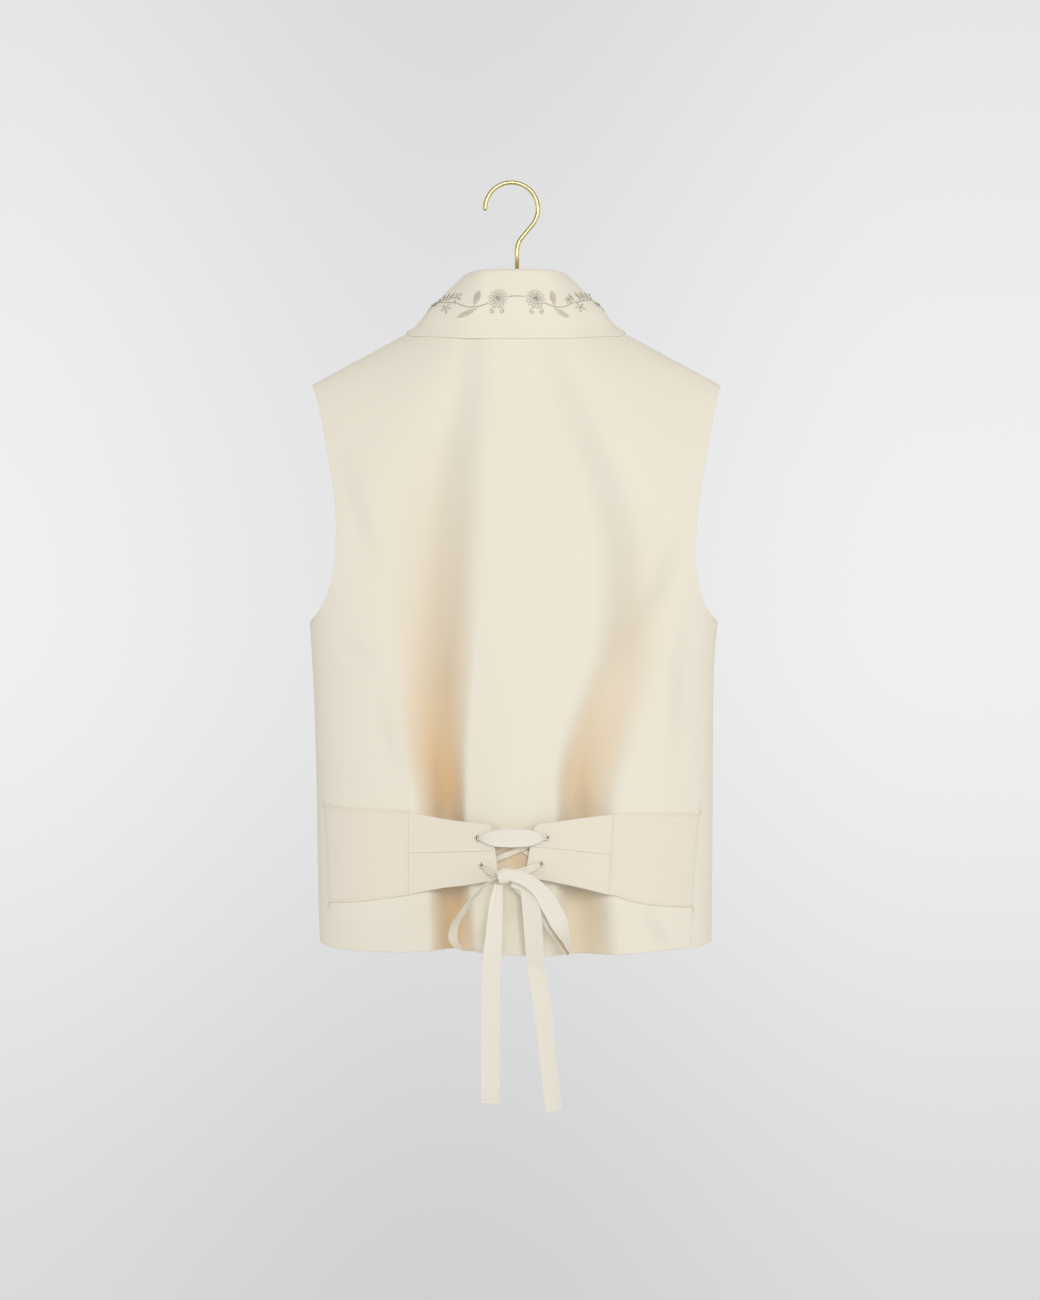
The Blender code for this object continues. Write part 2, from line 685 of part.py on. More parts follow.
# ---------------------------------------------------------------- eyelets
Eyelet = namedtuple("Eyelet", "side part x z")
EYELETS = (
    Eyelet("left", "upper", -36.9, -647.2),
    Eyelet("left", "lower", -32.6, -673.9),
    Eyelet("right", "upper", 29.6, -646.7),
    Eyelet("right", "lower", 23.6, -672.0),
)
EYELET_HOLE_RADIUS = 2.4
EYELET_BARREL_RADIUS = 2.0
EYELET_BORE_RADIUS = 1.55
EYELET_FLANGE_RADIUS = 3.1
EYELET_FLANGE = 0.6
EYELET_FLANGE_TAPER = 0.3
EYELET_SEGMENTS = 14
CUTTER_LENGTH = 12.0

# ---------------------------------------------------------------- ribbon and bow
# Each stop gives the ribbon's middle, its width and thickness there, and which way its width points:
# yaw turns it from +X towards +Y, and pitch raises it towards +Z.
Stop = namedtuple("Stop", "x y z width thick yaw pitch")
RIBBON_STRETCHES = {
    "ribbon_top_bar": (
        Stop(-36.9, -72.6, -647.2, 1.9, 1.5, 0, 90),
        Stop(-36.9, -76.8, -647.2, 1.9, 1.5, 0, 90),
        Stop(-34.2, -79.2, -647.1, 3.6, 1.4, 0, 90),
        Stop(-26.0, -81.4, -646.8, 12.0, 1.1, 0, 90),
        Stop(-18.0, -82.6, -646.6, 16.2, 1.0, 0, 90),
        Stop(-4.0, -83.2, -646.6, 17.2, 1.0, 0, 90),
        Stop(10.0, -82.6, -646.5, 16.2, 1.0, 0, 90),
        Stop(19.0, -81.4, -646.6, 12.0, 1.1, 0, 90),
        Stop(26.8, -79.4, -646.7, 3.6, 1.4, 0, 90),
        Stop(29.6, -76.8, -646.7, 1.9, 1.5, 0, 90),
        Stop(29.6, -72.4, -646.7, 1.9, 1.5, 0, 90),
    ),
    "ribbon_cross_back": (
        Stop(-34.6, -71.6, -648.6, 3.6, 1.0, 0, 90),
        Stop(-20.0, -73.2, -655.0, 5.0, 1.0, 0, 90),
        Stop(-5.0, -73.9, -660.4, 5.0, 1.0, 0, 90),
        Stop(8.0, -73.7, -665.4, 5.0, 1.0, 0, 90),
        Stop(21.4, -72.3, -670.4, 3.6, 1.0, 0, 90),
    ),
    "ribbon_cross_front": (
        Stop(27.2, -72.6, -648.2, 3.6, 1.0, 0, 90),
        Stop(15.0, -74.4, -653.4, 5.0, 1.0, 0, 90),
        Stop(3.0, -75.4, -658.2, 5.0, 1.0, 0, 90),
        Stop(-9.0, -75.5, -663.2, 5.0, 1.0, 0, 90),
        Stop(-20.0, -74.6, -667.9, 5.0, 1.0, 0, 90),
        Stop(-30.4, -72.5, -672.4, 3.6, 1.0, 0, 90),
    ),
    "ribbon_lower_left": (
        Stop(-32.6, -73.2, -673.9, 1.7, 1.4, 0, 90),
        Stop(-32.6, -77.4, -673.9, 1.7, 1.4, 0, 90),
        Stop(-30.6, -79.8, -675.4, 3.2, 1.4, 0, 90),
        Stop(-25.4, -82.6, -679.6, 3.8, 1.3, 0, 90),
        Stop(-19.4, -85.4, -681.6, 3.6, 1.3, 0, 90),
    ),
    "ribbon_lower_right": (
        Stop(23.6, -73.6, -672.0, 1.7, 1.4, 0, 90),
        Stop(23.6, -77.8, -672.0, 1.7, 1.4, 0, 90),
        Stop(20.4, -80.8, -673.8, 5.2, 1.2, 0, 90),
        Stop(13.0, -82.6, -676.6, 7.2, 1.0, 0, 90),
        Stop(5.0, -83.4, -678.6, 7.2, 1.0, 0, 90),
        Stop(-1.6, -83.8, -679.8, 5.0, 1.0, 0, 90),
    ),
    "bow_loop_left": (
        Stop(-19.6, -89.2, -684.2, 5.0, 1.2, 85, 0),
        Stop(-28.0, -90.0, -689.6, 9.0, 1.0, 85, 0),
        Stop(-40.0, -90.4, -702.0, 14.0, 1.0, 83, 0),
        Stop(-52.0, -90.6, -718.5, 17.0, 1.0, 76, 0),
        Stop(-59.2, -90.6, -731.0, 17.0, 1.0, 66, 0),
        Stop(-60.6, -90.6, -739.5, 17.0, 1.0, 62, 0),
        Stop(-57.0, -90.4, -748.0, 17.0, 1.0, 70, 0),
        Stop(-49.5, -90.0, -753.0, 16.0, 1.0, 82, 0),
        Stop(-40.5, -89.0, -754.2, 15.0, 1.0, 88, 0),
        Stop(-31.5, -87.4, -749.5, 14.0, 1.0, 80, 0),
        Stop(-25.0, -85.2, -736.0, 13.0, 1.0, 40, 0),
        Stop(-21.0, -84.2, -716.0, 13.0, 1.0, 14, 0),
        Stop(-17.0, -84.2, -699.0, 9.0, 1.0, 8, 0),
        Stop(-14.6, -84.8, -690.6, 5.0, 1.2, 6, 0),
    ),
    "bow_loop_right": (
        Stop(-1.6, -89.0, -681.6, 9.0, 1.2, 0, 80),
        Stop(8.0, -90.0, -685.5, 10.5, 1.0, 0, 68),
        Stop(16.0, -90.8, -691.0, 11.0, 1.0, 0, 55),
        Stop(24.5, -91.4, -698.5, 13.0, 1.0, 0, 36),
        Stop(32.7, -91.8, -710.4, 17.5, 1.0, 0, 22),
        Stop(39.5, -92.0, -723.0, 17.5, 1.0, 8, 15),
        Stop(45.0, -91.6, -735.0, 17.0, 1.0, 40, 6),
        Stop(50.4, -90.6, -746.5, 17.0, 1.0, 68, 0),
        Stop(52.4, -89.6, -753.5, 16.5, 1.0, 82, 0),
        Stop(50.8, -88.6, -756.8, 16.0, 1.0, 86, 0),
        Stop(47.4, -87.8, -754.0, 16.0, 1.0, 82, 0),
        Stop(42.6, -86.6, -745.5, 16.0, 1.0, 70, 0),
        Stop(35.0, -84.6, -732.0, 15.0, 1.0, 30, 0),
        Stop(25.0, -84.2, -717.0, 13.5, 1.0, 6, 0),
        Stop(13.0, -84.0, -703.0, 11.0, 1.0, 2, 0),
        Stop(3.0, -84.0, -694.8, 8.0, 1.0, 0, 10),
        Stop(-3.6, -84.6, -690.4, 5.0, 1.2, 0, 20),
    ),
    "bow_tail_left": (
        Stop(-16.6, -88.6, -690.6, 8.0, 1.2, -8, 0),
        Stop(-18.2, -91.6, -705.0, 11.0, 1.0, -6, 0),
        Stop(-19.0, -94.6, -720.0, 12.4, 1.0, -4, 0),
        Stop(-20.7, -97.0, -741.8, 15.6, 1.0, 0, 0),
        Stop(-22.2, -97.2, -756.0, 18.4, 1.0, 2, 0),
        Stop(-23.1, -93.6, -795.0, 19.0, 1.0, 4, 0),
        Stop(-23.4, -89.8, -833.0, 19.0, 1.0, 2, 0),
        Stop(-24.0, -86.6, -870.0, 19.0, 1.0, -4, 0),
        Stop(-24.3, -84.6, -902.0, 19.0, 1.0, -8, 0),
    ),
    "bow_tail_right": (
        Stop(-4.4, -88.0, -691.4, 4.6, 1.2, 0, 30),
        Stop(2.4, -87.8, -695.6, 6.0, 1.0, -10, 30),
        Stop(8.7, -88.2, -703.5, 9.0, 1.0, -24, 10),
        Stop(14.0, -88.8, -721.5, 15.0, 1.0, -28, 0),
        Stop(17.4, -88.8, -744.6, 18.5, 1.0, -26, 0),
        Stop(19.8, -88.4, -768.8, 18.8, 1.0, -24, 0),
        Stop(23.1, -87.4, -785.0, 18.8, 1.0, -26, 0),
        Stop(28.4, -85.4, -829.5, 18.8, 1.0, -34, 0),
        Stop(32.8, -84.0, -870.0, 18.8, 1.0, -38, 4),
        Stop(37.4, -83.0, -911.0, 18.8, 1.0, -44, 12),
    ),
}
STEPS_PER_STOP = 2
FLAT_CORNERS = 4
THREADED_CORNERS = 8
THREADED = ("ribbon_top_bar", "ribbon_lower_left", "ribbon_lower_right")
KNOT_CENTRE = Vector((-10.6, -86.8, -682.2))
KNOT_RADII = (7.4, 4.6, 6.8)
KNOT_SEGMENTS = 12
KNOT_RINGS = 8

# ---------------------------------------------------------------- buttons
BUTTON_HEIGHTS = (-385.0, -475.0, -565.0, -655.0)
BUTTON_X = 0.0
BUTTON_PROFILE = ((0.0, 4.0), (3.75, 3.6), (6.5, 2.6), (7.5, 1.4), (6.9, BELT_GAP), (0.0, BELT_GAP))
BUTTON_SEGMENTS = 18

# ---------------------------------------------------------------- hanger
WIRE_RADIUS = 2.1
WIRE_ROUNDING = 2
HOOK_RADIUS = 26.4
HOOK_CENTRE_X = -4.5
HOOK_CENTRE_Z = -math.sqrt((HOOK_RADIUS - WIRE_RADIUS) ** 2 - HOOK_CENTRE_X**2)
HOOK_FREE_END_DEGREES = 184.0
HOOK_LAST_DEGREES = -36.0
HOOK_POINTS = 26
BEND_POINTS = 5
SHANK_X = 1.0
BEND_START = (5.2, -53.4)
BEND_CORNER_Z = -58.8
BEND_END_Z = -66.0
SHANK_END_Z = -93.0
FERRULE_RADIUS = 4.6
FERRULE_TOP_RADIUS = 3.0
FERRULE_TAPER = 5.0
FERRULE_SEGMENTS = 20
ARM_RADIUS = 3.0
ARM_BELOW_RIDGE = 7.8
ARM_TIP_X = 194.0
ARM_POINTS = 17

# ---------------------------------------------------------------- colours and mesh settings
WOOL = (0.81, 0.75, 0.64)
BELT_WOOL = (0.80, 0.73, 0.62)
SATIN = (0.80, 0.77, 0.66)
BUTTON_COVER = (0.80, 0.74, 0.62)
BRASS = (0.75, 0.58, 0.26)
EYELET_BRASS = (0.78, 0.70, 0.52)
WOOL_ROUGHNESS = 0.8
SATIN_ROUGHNESS = 0.5
BUTTON_ROUGHNESS = 0.7
EYELET_ROUGHNESS = 0.35
BRASS_ROUGHNESS = 0.3
EYELET_METALLIC = 0.8
SHARP_DEGREES = 50.0
MERGE_DISTANCE = 0.00001


# ---------------------------------------------------------------- making meshes
def add_mesh(name, vertices, faces, collection, material):
    """Make an object from points in millimetres, its faces turned outwards."""
    mesh = bpy.data.meshes.new(name)
    mesh.from_pydata([Vector(v) * MM for v in vertices], [], faces)
    work = bmesh.new()
    work.from_mesh(mesh)
    bmesh.ops.recalc_face_normals(work, faces=work.faces[:])
    work.to_mesh(mesh)
    work.free()
    mesh.shade_smooth()
    mesh.set_sharp_from_angle(angle=math.radians(SHARP_DEGREES))
    mesh.materials.append(material)
    obj = bpy.data.objects.new(name, mesh)
    collection.objects.link(obj)
    return obj


def cloth_wall(name, outer, inner, collection, material):
    """Close two matching grids of points into one wall with a rim all round."""
    rows, columns = len(outer), len(outer[0])
    vertices = [point for grid in (outer, inner) for row in grid for point in row]
    back = rows * columns

    def at(i, j):
        return i * columns + j

    faces = []
    for i in range(rows - 1):
        for j in range(columns - 1):
            face = (at(i, j), at(i, j + 1), at(i + 1, j + 1), at(i + 1, j))
            faces.append(face)
            faces.append(tuple(back + v for v in reversed(face)))
    rim = [at(0, j) for j in range(columns)]
    rim += [at(i, columns - 1) for i in range(1, rows)]
    rim += [at(rows - 1, j) for j in range(columns - 2, -1, -1)]
    rim += [at(i, 0) for i in range(rows - 2, 0, -1)]
    for a, b in zip(rim, rim[1:] + rim[:1]):
        faces.append((b, a, back + a, back + b))
    return add_mesh(name, vertices, faces, collection, material)


def panel_wall(name, grid, collection, material):
    """A wall that grows inwards from a grid of outer points."""
    outer = [[point for point, _ in row] for row in grid]
    inner = [[point - leave * CLOTH for point, leave in row] for row in grid]
    return cloth_wall(name, outer, inner, collection, material)


def middle_wall(name, points, thickness, collection, material):
    """A wall with half its thickness on each side of a grid of points."""
    rows, columns = len(points), len(points[0])
    offsets = []
    for i in range(rows):
        offsets.append([])
        for j in range(columns):
            along = points[min(i + 1, rows - 1)][j] - points[max(i - 1, 0)][j]
            across = points[i][min(j + 1, columns - 1)] - points[i][max(j - 1, 0)]
            offsets[i].append(along.cross(across).normalized() * 0.5 * thickness)
    outer = [[p + d for p, d in zip(row, step)] for row, step in zip(points, offsets)]
    inner = [[p - d for p, d in zip(row, step)] for row, step in zip(points, offsets)]
    return cloth_wall(name, outer, inner, collection, material)


def smooth_stops(stops):
    """Read a stretch of ribbon between its stops as one smooth run."""
    Keyed = namedtuple("Keyed", ("key",) + Stop._fields)
    keyed = [Keyed(i, *stop) for i, stop in enumerate(stops)]
    count = (len(stops) - 1) * STEPS_PER_STOP
    run = []
    for i in range(count + 1):
        key = i / STEPS_PER_STOP
        run.append(Stop(*[read(keyed, key, field) for field in Stop._fields]))
    return run


def ribbon_corners(stop, tangent, corners):
    """Corners of the ribbon's section at a stop: a thin oblong, or an oval where it is threaded."""
    yaw, pitch = math.radians(stop.yaw), math.radians(stop.pitch)
    level = math.cos(pitch)
    wide = Vector((math.cos(yaw) * level, math.sin(yaw) * level, math.sin(pitch)))
    wide = (wide - tangent * wide.dot(tangent)).normalized()
    thick = tangent.cross(wide)
    middle = Vector((stop.x, stop.y, stop.z))
    points = []
    for i in range(corners):
        turn = 2.0 * math.pi * (i + 0.5) / corners
        a, b = math.cos(turn), math.sin(turn)
        if corners == FLAT_CORNERS:
            a, b = math.copysign(1.0, a), math.copysign(1.0, b)
        points.append(middle + wide * (0.5 * stop.width * a) + thick * (0.5 * stop.thick * b))
    return points


def ribbon(name, stops, collection, material):
    """Loft a stretch of ribbon through its sections and close its ends."""
    corners = THREADED_CORNERS if name in THREADED else FLAT_CORNERS
    run = smooth_stops(stops)
    middles = [Vector((stop.x, stop.y, stop.z)) for stop in run]
    vertices = []
    for i, stop in enumerate(run):
        tangent = middles[min(i + 1, len(run) - 1)] - middles[max(i - 1, 0)]
        vertices += ribbon_corners(stop, tangent.normalized(), corners)
    faces = [tuple(range(corners)), tuple(range(len(vertices) - corners, len(vertices)))]
    for i in range(len(run) - 1):
        for j in range(corners):
            a = i * corners + j
            b = i * corners + (j + 1) % corners
            faces.append((a, b, b + corners, a + corners))
    return add_mesh(name, vertices, faces, collection, material)


def turned(name, profile, segments, collection, material):
    """Turn a closed or axis-to-axis profile of (radius, height) about +Z."""
    closed = profile[0][0] > 0.0
    edges = [(i, i + 1) for i in range(len(profile) - 1)]
    if closed:
        edges.append((len(profile) - 1, 0))
    mesh = bpy.data.meshes.new(name)
    mesh.from_pydata([(r * MM, 0.0, z * MM) for r, z in profile], edges, [])
    mesh.materials.append(material)
    obj = bpy.data.objects.new(name, mesh)
    collection.objects.link(obj)
    screw = obj.modifiers.new("turn", "SCREW")
    screw.axis = "Z"
    screw.steps = segments
    screw.render_steps = segments
    screw.use_merge_vertices = True
    screw.merge_threshold = MERGE_DISTANCE
    return obj


def aim(obj, place, axis):
    """Stand a piece made about +Z at a place, with its +Z along an axis."""
    obj.matrix_world = Matrix.Translation(place * MM) @ axis.to_track_quat("Z", "Y").to_matrix().to_4x4()


def wire(name, path, radius, collection, material):
    """A round wire along a path of points, with closed ends."""
    curve = bpy.data.curves.new(name, "CURVE")
    curve.dimensions = "3D"
    curve.bevel_depth = radius * MM
    curve.bevel_resolution = WIRE_ROUNDING
    curve.use_fill_caps = True
    spline = curve.splines.new("POLY")
    spline.points.add(len(path) - 1)
    for point, place in zip(spline.points, path):
        point.co = (place[0] * MM, place[1] * MM, place[2] * MM, 1.0)
    spline.use_smooth = True
    curve.materials.append(material)
    obj = bpy.data.objects.new(name, curve)
    collection.objects.link(obj)
    return obj


def add_material(name, colour, roughness, metallic=0.0):
    """A plain Principled material."""
    material = bpy.data.materials.new(name)
    material.use_nodes = True
    shader = material.node_tree.nodes["Principled BSDF"]
    shader.inputs["Base Color"].default_value = (*colour, 1.0)
    shader.inputs["Roughness"].default_value = roughness
    shader.inputs["Metallic"].default_value = metallic
    return material


# ---------------------------------------------------------------- sub-parts
def build_body(collection):
    """The back, the two fronts and the collar."""
    back_wool = add_material("back_wool", WOOL, WOOL_ROUGHNESS)
    panel_wall("back_panel", back_grid(), collection, back_wool)
    for name, hand in (("front_left", -1), ("front_right", 1)):
        front_wool = add_material(name + "_wool", WOOL, WOOL_ROUGHNESS)
        panel_wall(name, front_grid(hand), collection, front_wool)
    collar_wool = add_material("collar_wool", WOOL, WOOL_ROUGHNESS)
    middle_wall("collar", collar_grid(), COLLAR_CLOTH, collection, collar_wool)


def tab_hole_place(eyelet):
    """Centre of an eyelet on its tab's outer face, and the way out of the tab."""
    grid = tab_grid(eyelet.side, eyelet.part)
    out = grid[0][0][1]
    return Vector((eyelet.x, tab_y(eyelet.side, eyelet.x, eyelet.z), eyelet.z)), out


def cut_eyelet_hole(tab, eyelet, cutters):
    """Cut the hole that an eyelet lines."""
    bpy.ops.mesh.primitive_cylinder_add(
        vertices=EYELET_SEGMENTS, radius=EYELET_HOLE_RADIUS * MM, depth=CUTTER_LENGTH * MM)
    cutter = bpy.context.object
    cutter.name = f"hole_cutter_{eyelet.side}_{eyelet.part}"
    for holder in cutter.users_collection:
        holder.objects.unlink(cutter)
    cutters.objects.link(cutter)
    cutter.hide_render = True
    cutter.display_type = "WIRE"
    place, out = tab_hole_place(eyelet)
    aim(cutter, place, out)
    cut = tab.modifiers.new("eyelet_hole", "BOOLEAN")
    cut.operation = "DIFFERENCE"
    cut.solver = "EXACT"
    cut.object = cutter


def build_belt(collection, cutters):
    """The two sewn patches and the four halves of the tabs, with their eyelets."""
    for side in ("left", "right"):
        material = add_material(f"belt_{side}_wool", BELT_WOOL, WOOL_ROUGHNESS)
        panel_wall(f"belt_patch_{side}", patch_grid(side), collection, material)
    for eyelet in EYELETS:
        name = f"belt_tab_{eyelet.side}_{eyelet.part}"
        material = add_material(name + "_wool", BELT_WOOL, WOOL_ROUGHNESS)
        tab = panel_wall(name, tab_grid(eyelet.side, eyelet.part), collection, material)
        cut_eyelet_hole(tab, eyelet, cutters)
        build_eyelet(eyelet, collection)


def build_eyelet(eyelet, collection):
    """One eyelet: a flange on the tab's face and a barrel down through the hole."""
    face = BELT_GAP + EYELET_FLANGE
    profile = (
        (EYELET_BORE_RADIUS, face),
        (EYELET_FLANGE_RADIUS - EYELET_FLANGE_TAPER, face),
        (EYELET_FLANGE_RADIUS, BELT_GAP),
        (EYELET_BARREL_RADIUS, BELT_GAP),
        (EYELET_BARREL_RADIUS, -CLOTH),
        (EYELET_BORE_RADIUS, -CLOTH),
    )
    name = f"eyelet_{eyelet.side}_{eyelet.part}"
    metal = add_material(name + "_metal", EYELET_BRASS, EYELET_ROUGHNESS, EYELET_METALLIC)
    ring = turned(name, profile, EYELET_SEGMENTS, collection, metal)
    aim(ring, *tab_hole_place(eyelet))


def build_ribbon(collection):
    """The lacing ribbon's stretches and the knot of its bow."""
    for name, stops in RIBBON_STRETCHES.items():
        ribbon(name, stops, collection, add_material(name + "_satin", SATIN, SATIN_ROUGHNESS))
    bpy.ops.mesh.primitive_uv_sphere_add(
        segments=KNOT_SEGMENTS, ring_count=KNOT_RINGS, radius=1.0)
    knot = bpy.context.object
    knot.name = "bow_knot"
    for holder in knot.users_collection:
        holder.objects.unlink(knot)
    collection.objects.link(knot)
    for vertex in knot.data.vertices:
        radii = [r * MM for r in KNOT_RADII]
        vertex.co = [c * r for c, r in zip(vertex.co, radii)]
    knot.location = KNOT_CENTRE * MM
    knot.data.materials.append(add_material("bow_knot_satin", SATIN, SATIN_ROUGHNESS))


def build_buttons(collection):
    """Four covered buttons down the lap of the right front."""
    for number, z in enumerate(BUTTON_HEIGHTS, 1):
        material = add_material(f"button_{number}_cover", BUTTON_COVER, BUTTON_ROUGHNESS)
        button = turned(f"button_{number}", BUTTON_PROFILE, BUTTON_SEGMENTS, collection, material)
        aim(button, *cloth_point(BUTTON_X, z, FRONT))


def hook_path():
    """Middle of the hook's wire: an arc, a straight run, a bend and the upright shank."""
    path = []
    for i in range(HOOK_POINTS + 1):
        turn = math.radians(blend(HOOK_FREE_END_DEGREES, HOOK_LAST_DEGREES, i / HOOK_POINTS))
        x = HOOK_CENTRE_X + HOOK_RADIUS * math.cos(turn)
        path.append((x, 0.0, HOOK_CENTRE_Z + HOOK_RADIUS * math.sin(turn)))
    for i in range(BEND_POINTS + 1):
        t = i / BEND_POINTS
        a, b = blend(BEND_START[0], SHANK_X, t), blend(BEND_START[1], BEND_CORNER_Z, t)
        c = blend(BEND_CORNER_Z, BEND_END_Z, t)
        path.append((blend(a, SHANK_X, t), 0.0, blend(b, c, t)))
    path.append((SHANK_X, 0.0, SHANK_END_Z))
    return path


def build_hanger(collection):
    """The wire hook, the ferrule below it, and the arms under the shoulders."""
    wire("hanger_hook", hook_path(), WIRE_RADIUS, collection,
         add_material("hook_brass", BRASS, BRASS_ROUGHNESS, 1.0))
    arm_top = ridge_z(0.0) - ARM_BELOW_RIDGE + ARM_RADIUS
    top, bottom = SHANK_END_Z - SEAM_GAP, arm_top + SEAM_GAP
    profile = (
        (0.0, top),
        (FERRULE_TOP_RADIUS, top),
        (FERRULE_RADIUS, top - FERRULE_TAPER),
        (FERRULE_RADIUS, bottom),
        (0.0, bottom),
    )
    ferrule = turned("hanger_ferrule", profile, FERRULE_SEGMENTS, collection,
                     add_material("ferrule_brass", BRASS, BRASS_ROUGHNESS, 1.0))
    ferrule.location.x = SHANK_X * MM
    path = []
    for i in range(ARM_POINTS):
        x = blend(-ARM_TIP_X, ARM_TIP_X, i / (ARM_POINTS - 1))
        path.append((x, 0.0, ridge_z(x) - ARM_BELOW_RIDGE))
    wire("hanger_arms", path, ARM_RADIUS, collection,
         add_material("arms_brass", BRASS, BRASS_ROUGHNESS, 1.0))


def main():
    """Clear the scene and build every piece."""
    for obj in list(bpy.data.objects):
        bpy.data.objects.remove(obj, do_unlink=True)
    collection = bpy.data.collections.new("waistcoat_on_hanger")
    cutters = bpy.data.collections.new("cutters")
    for group in (collection, cutters):
        bpy.context.scene.collection.children.link(group)
    build_body(collection)
    build_belt(collection, cutters)
    build_ribbon(collection)
    build_buttons(collection)
    build_hanger(collection)


main()
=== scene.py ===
"""Looks of a sleeveless ivory waistcoat on a wire hanger.

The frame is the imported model: metres, +Z up, the garment's back towards -Y, the wearer's right
towards +X and the origin on the hook's inner face. Sizes in this script are millimetres, named in
the part's own terms, and each mesh is scaled to metres when it is made. The panels repeat the form
that the solids have, on finer grids with rounded edges, and carry the cloth's creases, seams and
stitches.
"""
import logging
import math
from abc import ABC, abstractmethod
from bisect import bisect_right
from dataclasses import dataclass
from enum import Enum
from typing import Callable, NamedTuple, Sequence

import bmesh
import bpy
from mathutils import Matrix, Vector


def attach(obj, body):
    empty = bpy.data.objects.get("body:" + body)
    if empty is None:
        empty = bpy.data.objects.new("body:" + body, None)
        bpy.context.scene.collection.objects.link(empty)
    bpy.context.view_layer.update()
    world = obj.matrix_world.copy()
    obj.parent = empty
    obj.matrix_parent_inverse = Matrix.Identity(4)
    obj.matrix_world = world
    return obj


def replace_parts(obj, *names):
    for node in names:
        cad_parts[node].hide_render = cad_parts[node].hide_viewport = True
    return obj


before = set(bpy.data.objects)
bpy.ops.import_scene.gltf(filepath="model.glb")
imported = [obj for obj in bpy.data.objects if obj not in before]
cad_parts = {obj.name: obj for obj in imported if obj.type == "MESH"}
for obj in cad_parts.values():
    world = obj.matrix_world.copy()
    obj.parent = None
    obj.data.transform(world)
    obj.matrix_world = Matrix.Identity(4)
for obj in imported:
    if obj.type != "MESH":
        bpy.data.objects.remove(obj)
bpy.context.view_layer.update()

log = logging.getLogger("waistcoat")

MM = 0.001

Mesh, Piece, Material = bpy.types.Mesh, bpy.types.Object, bpy.types.Material
Tree, Node = bpy.types.NodeTree, bpy.types.Node
Socket, Sockets = bpy.types.NodeSocket, bpy.types.bpy_prop_collection

# ---------------------------------------------------------------- driving dimensions (mm)
HEM_Z = -762.0
UNDERARM_Z = -438.0
NECK_X = 65.0
NECK_Z = -125.0
SHOULDER_SLOPE = 0.54
SHOULDER_TIP_X = 204.0
BACK_NECK_Z = -134.7
SEAM_DROP_AT_NECK = 3.0
SEAM_DROP_AT_TIP = 18.0
RING_POWER = 2.6  # how square each ring's oval is: 2 is an ellipse
CLOTH = 2.0
COLLAR_CLOTH = 2.2
SEAM_GAP = 0.08
SIDE_SEAM_GAP = 0.06
ROOT_GAP = 0.01
LAP_DEPTH = 2.6
LAP_HIDDEN_X = (-36.0, -18.0)
LAP_HIDDEN_Z = (-312.0, -336.0)
HEM_LIFT_TOP_Z = -690.0
SECTION_FLOOR = 0.05  # least share of a ring's depth, so that nothing is divided by zero
GRADIENT_STEP = 0.05
CLEARING_PASSES = 4
SETTLING_PASSES = 8
DEEPEST_FOLD = 27.0  # where the painted warm shade is full
FAINT_FOLD_DEPTH = 2.6  # where a faint fold's painted shade is full


class Side(Enum):
    """Which half of the body's ring a point is on."""

    BACK = -1
    FRONT = 1


class Lie(Enum):
    """How a piece lies on the body's form."""

    FOLDED = "folded"
    UNDER_LAP = "under the lap"
    UNFOLDED = "unfolded"


class Hand(Enum):
    """The wearer's left or right."""

    LEFT = -1
    RIGHT = 1

    @property
    def column(self) -> str:
        """Name of a table's column for this hand."""
        return self.name.lower()


class ShadeStrength(NamedTuple):
    """How strongly a valley's painted warm shade shows, and how its depth is bent into that."""

    most: float
    power: float


class Crease(NamedTuple):
    """A soft trough (depth above 0) or ridge (below 0) along a straight line on the cloth."""

    start_x: float
    start_z: float
    end_x: float
    end_z: float
    width: float
    depth: float


class ClothPoint(NamedTuple):
    """A point of a piece's outer face and the direction that leaves it."""

    place: Vector
    out: Vector


Grid = list[list[ClothPoint]]


# ---------------------------------------------------------------- small sums
class Table:
    """Rows of numbers in named columns, read smoothly between their keys and without overshoot."""

    def __init__(self, names: str, *rows: Sequence[float]) -> None:
        """Sort the rows by their first column and work out the slope at each.

        Args:
            names: The columns' names with spaces between them, the key's first.
            rows: One number for each column.
        """
        self.keys, *columns = map(list, zip(*sorted(rows, key=lambda row: row[0])))
        self.columns = dict(zip(names.split()[1:], columns))
        self.slopes = {name: self._slopes(values) for name, values in self.columns.items()}

    def _slopes(self, values: list[float]) -> list[float]:
        """Slope of a column at each key, flat where it turns.

        Args:
            values: The column's values in order of key.

        Returns:
            One slope for each value.
        """
        steps = [b - a for a, b in zip(self.keys, self.keys[1:])]
        rates = [(b - a) / step for a, b, step in zip(values, values[1:], steps)]
        turns = [2.0 * a * b / (a + b) if a * b > 0.0 else 0.0 for a, b in zip(rates, rates[1:])]
        return [rates[0], *turns, rates[-1]]

    def read(self, key: float, column: str) -> float:
        """Read a column at a key, held level past the first and last rows.

        Args:
            key: Where to read.
            column: The column's name.

        Returns:
            The value there.
        """
        keys, values = self.keys, self.columns[column]
        if key <= keys[0]:
            return values[0]
        if key >= keys[-1]:
            return values[-1]
        i = bisect_right(keys, key) - 1
        slopes = self.slopes[column]
        span = keys[i + 1] - keys[i]
        t = (key - keys[i]) / span
        s = 1.0 - t
        rise = s * s * (1.0 + 2.0 * t) * values[i] + t * t * (3.0 - 2.0 * t) * values[i + 1]
        return rise + span * t * s * (s * slopes[i] - t * slopes[i + 1])


def blend(a: float | Vector, b: float | Vector, t: float) -> float | Vector:
    """Mix two numbers or vectors."""
    return a + (b - a) * t


def ease(low: float, high: float, value: float) -> float:
    """Rise smoothly from 0 at low to 1 at high."""
    t = min(1.0, max(0.0, (value - low) / (high - low)))
    return t * t * (3.0 - 2.0 * t)


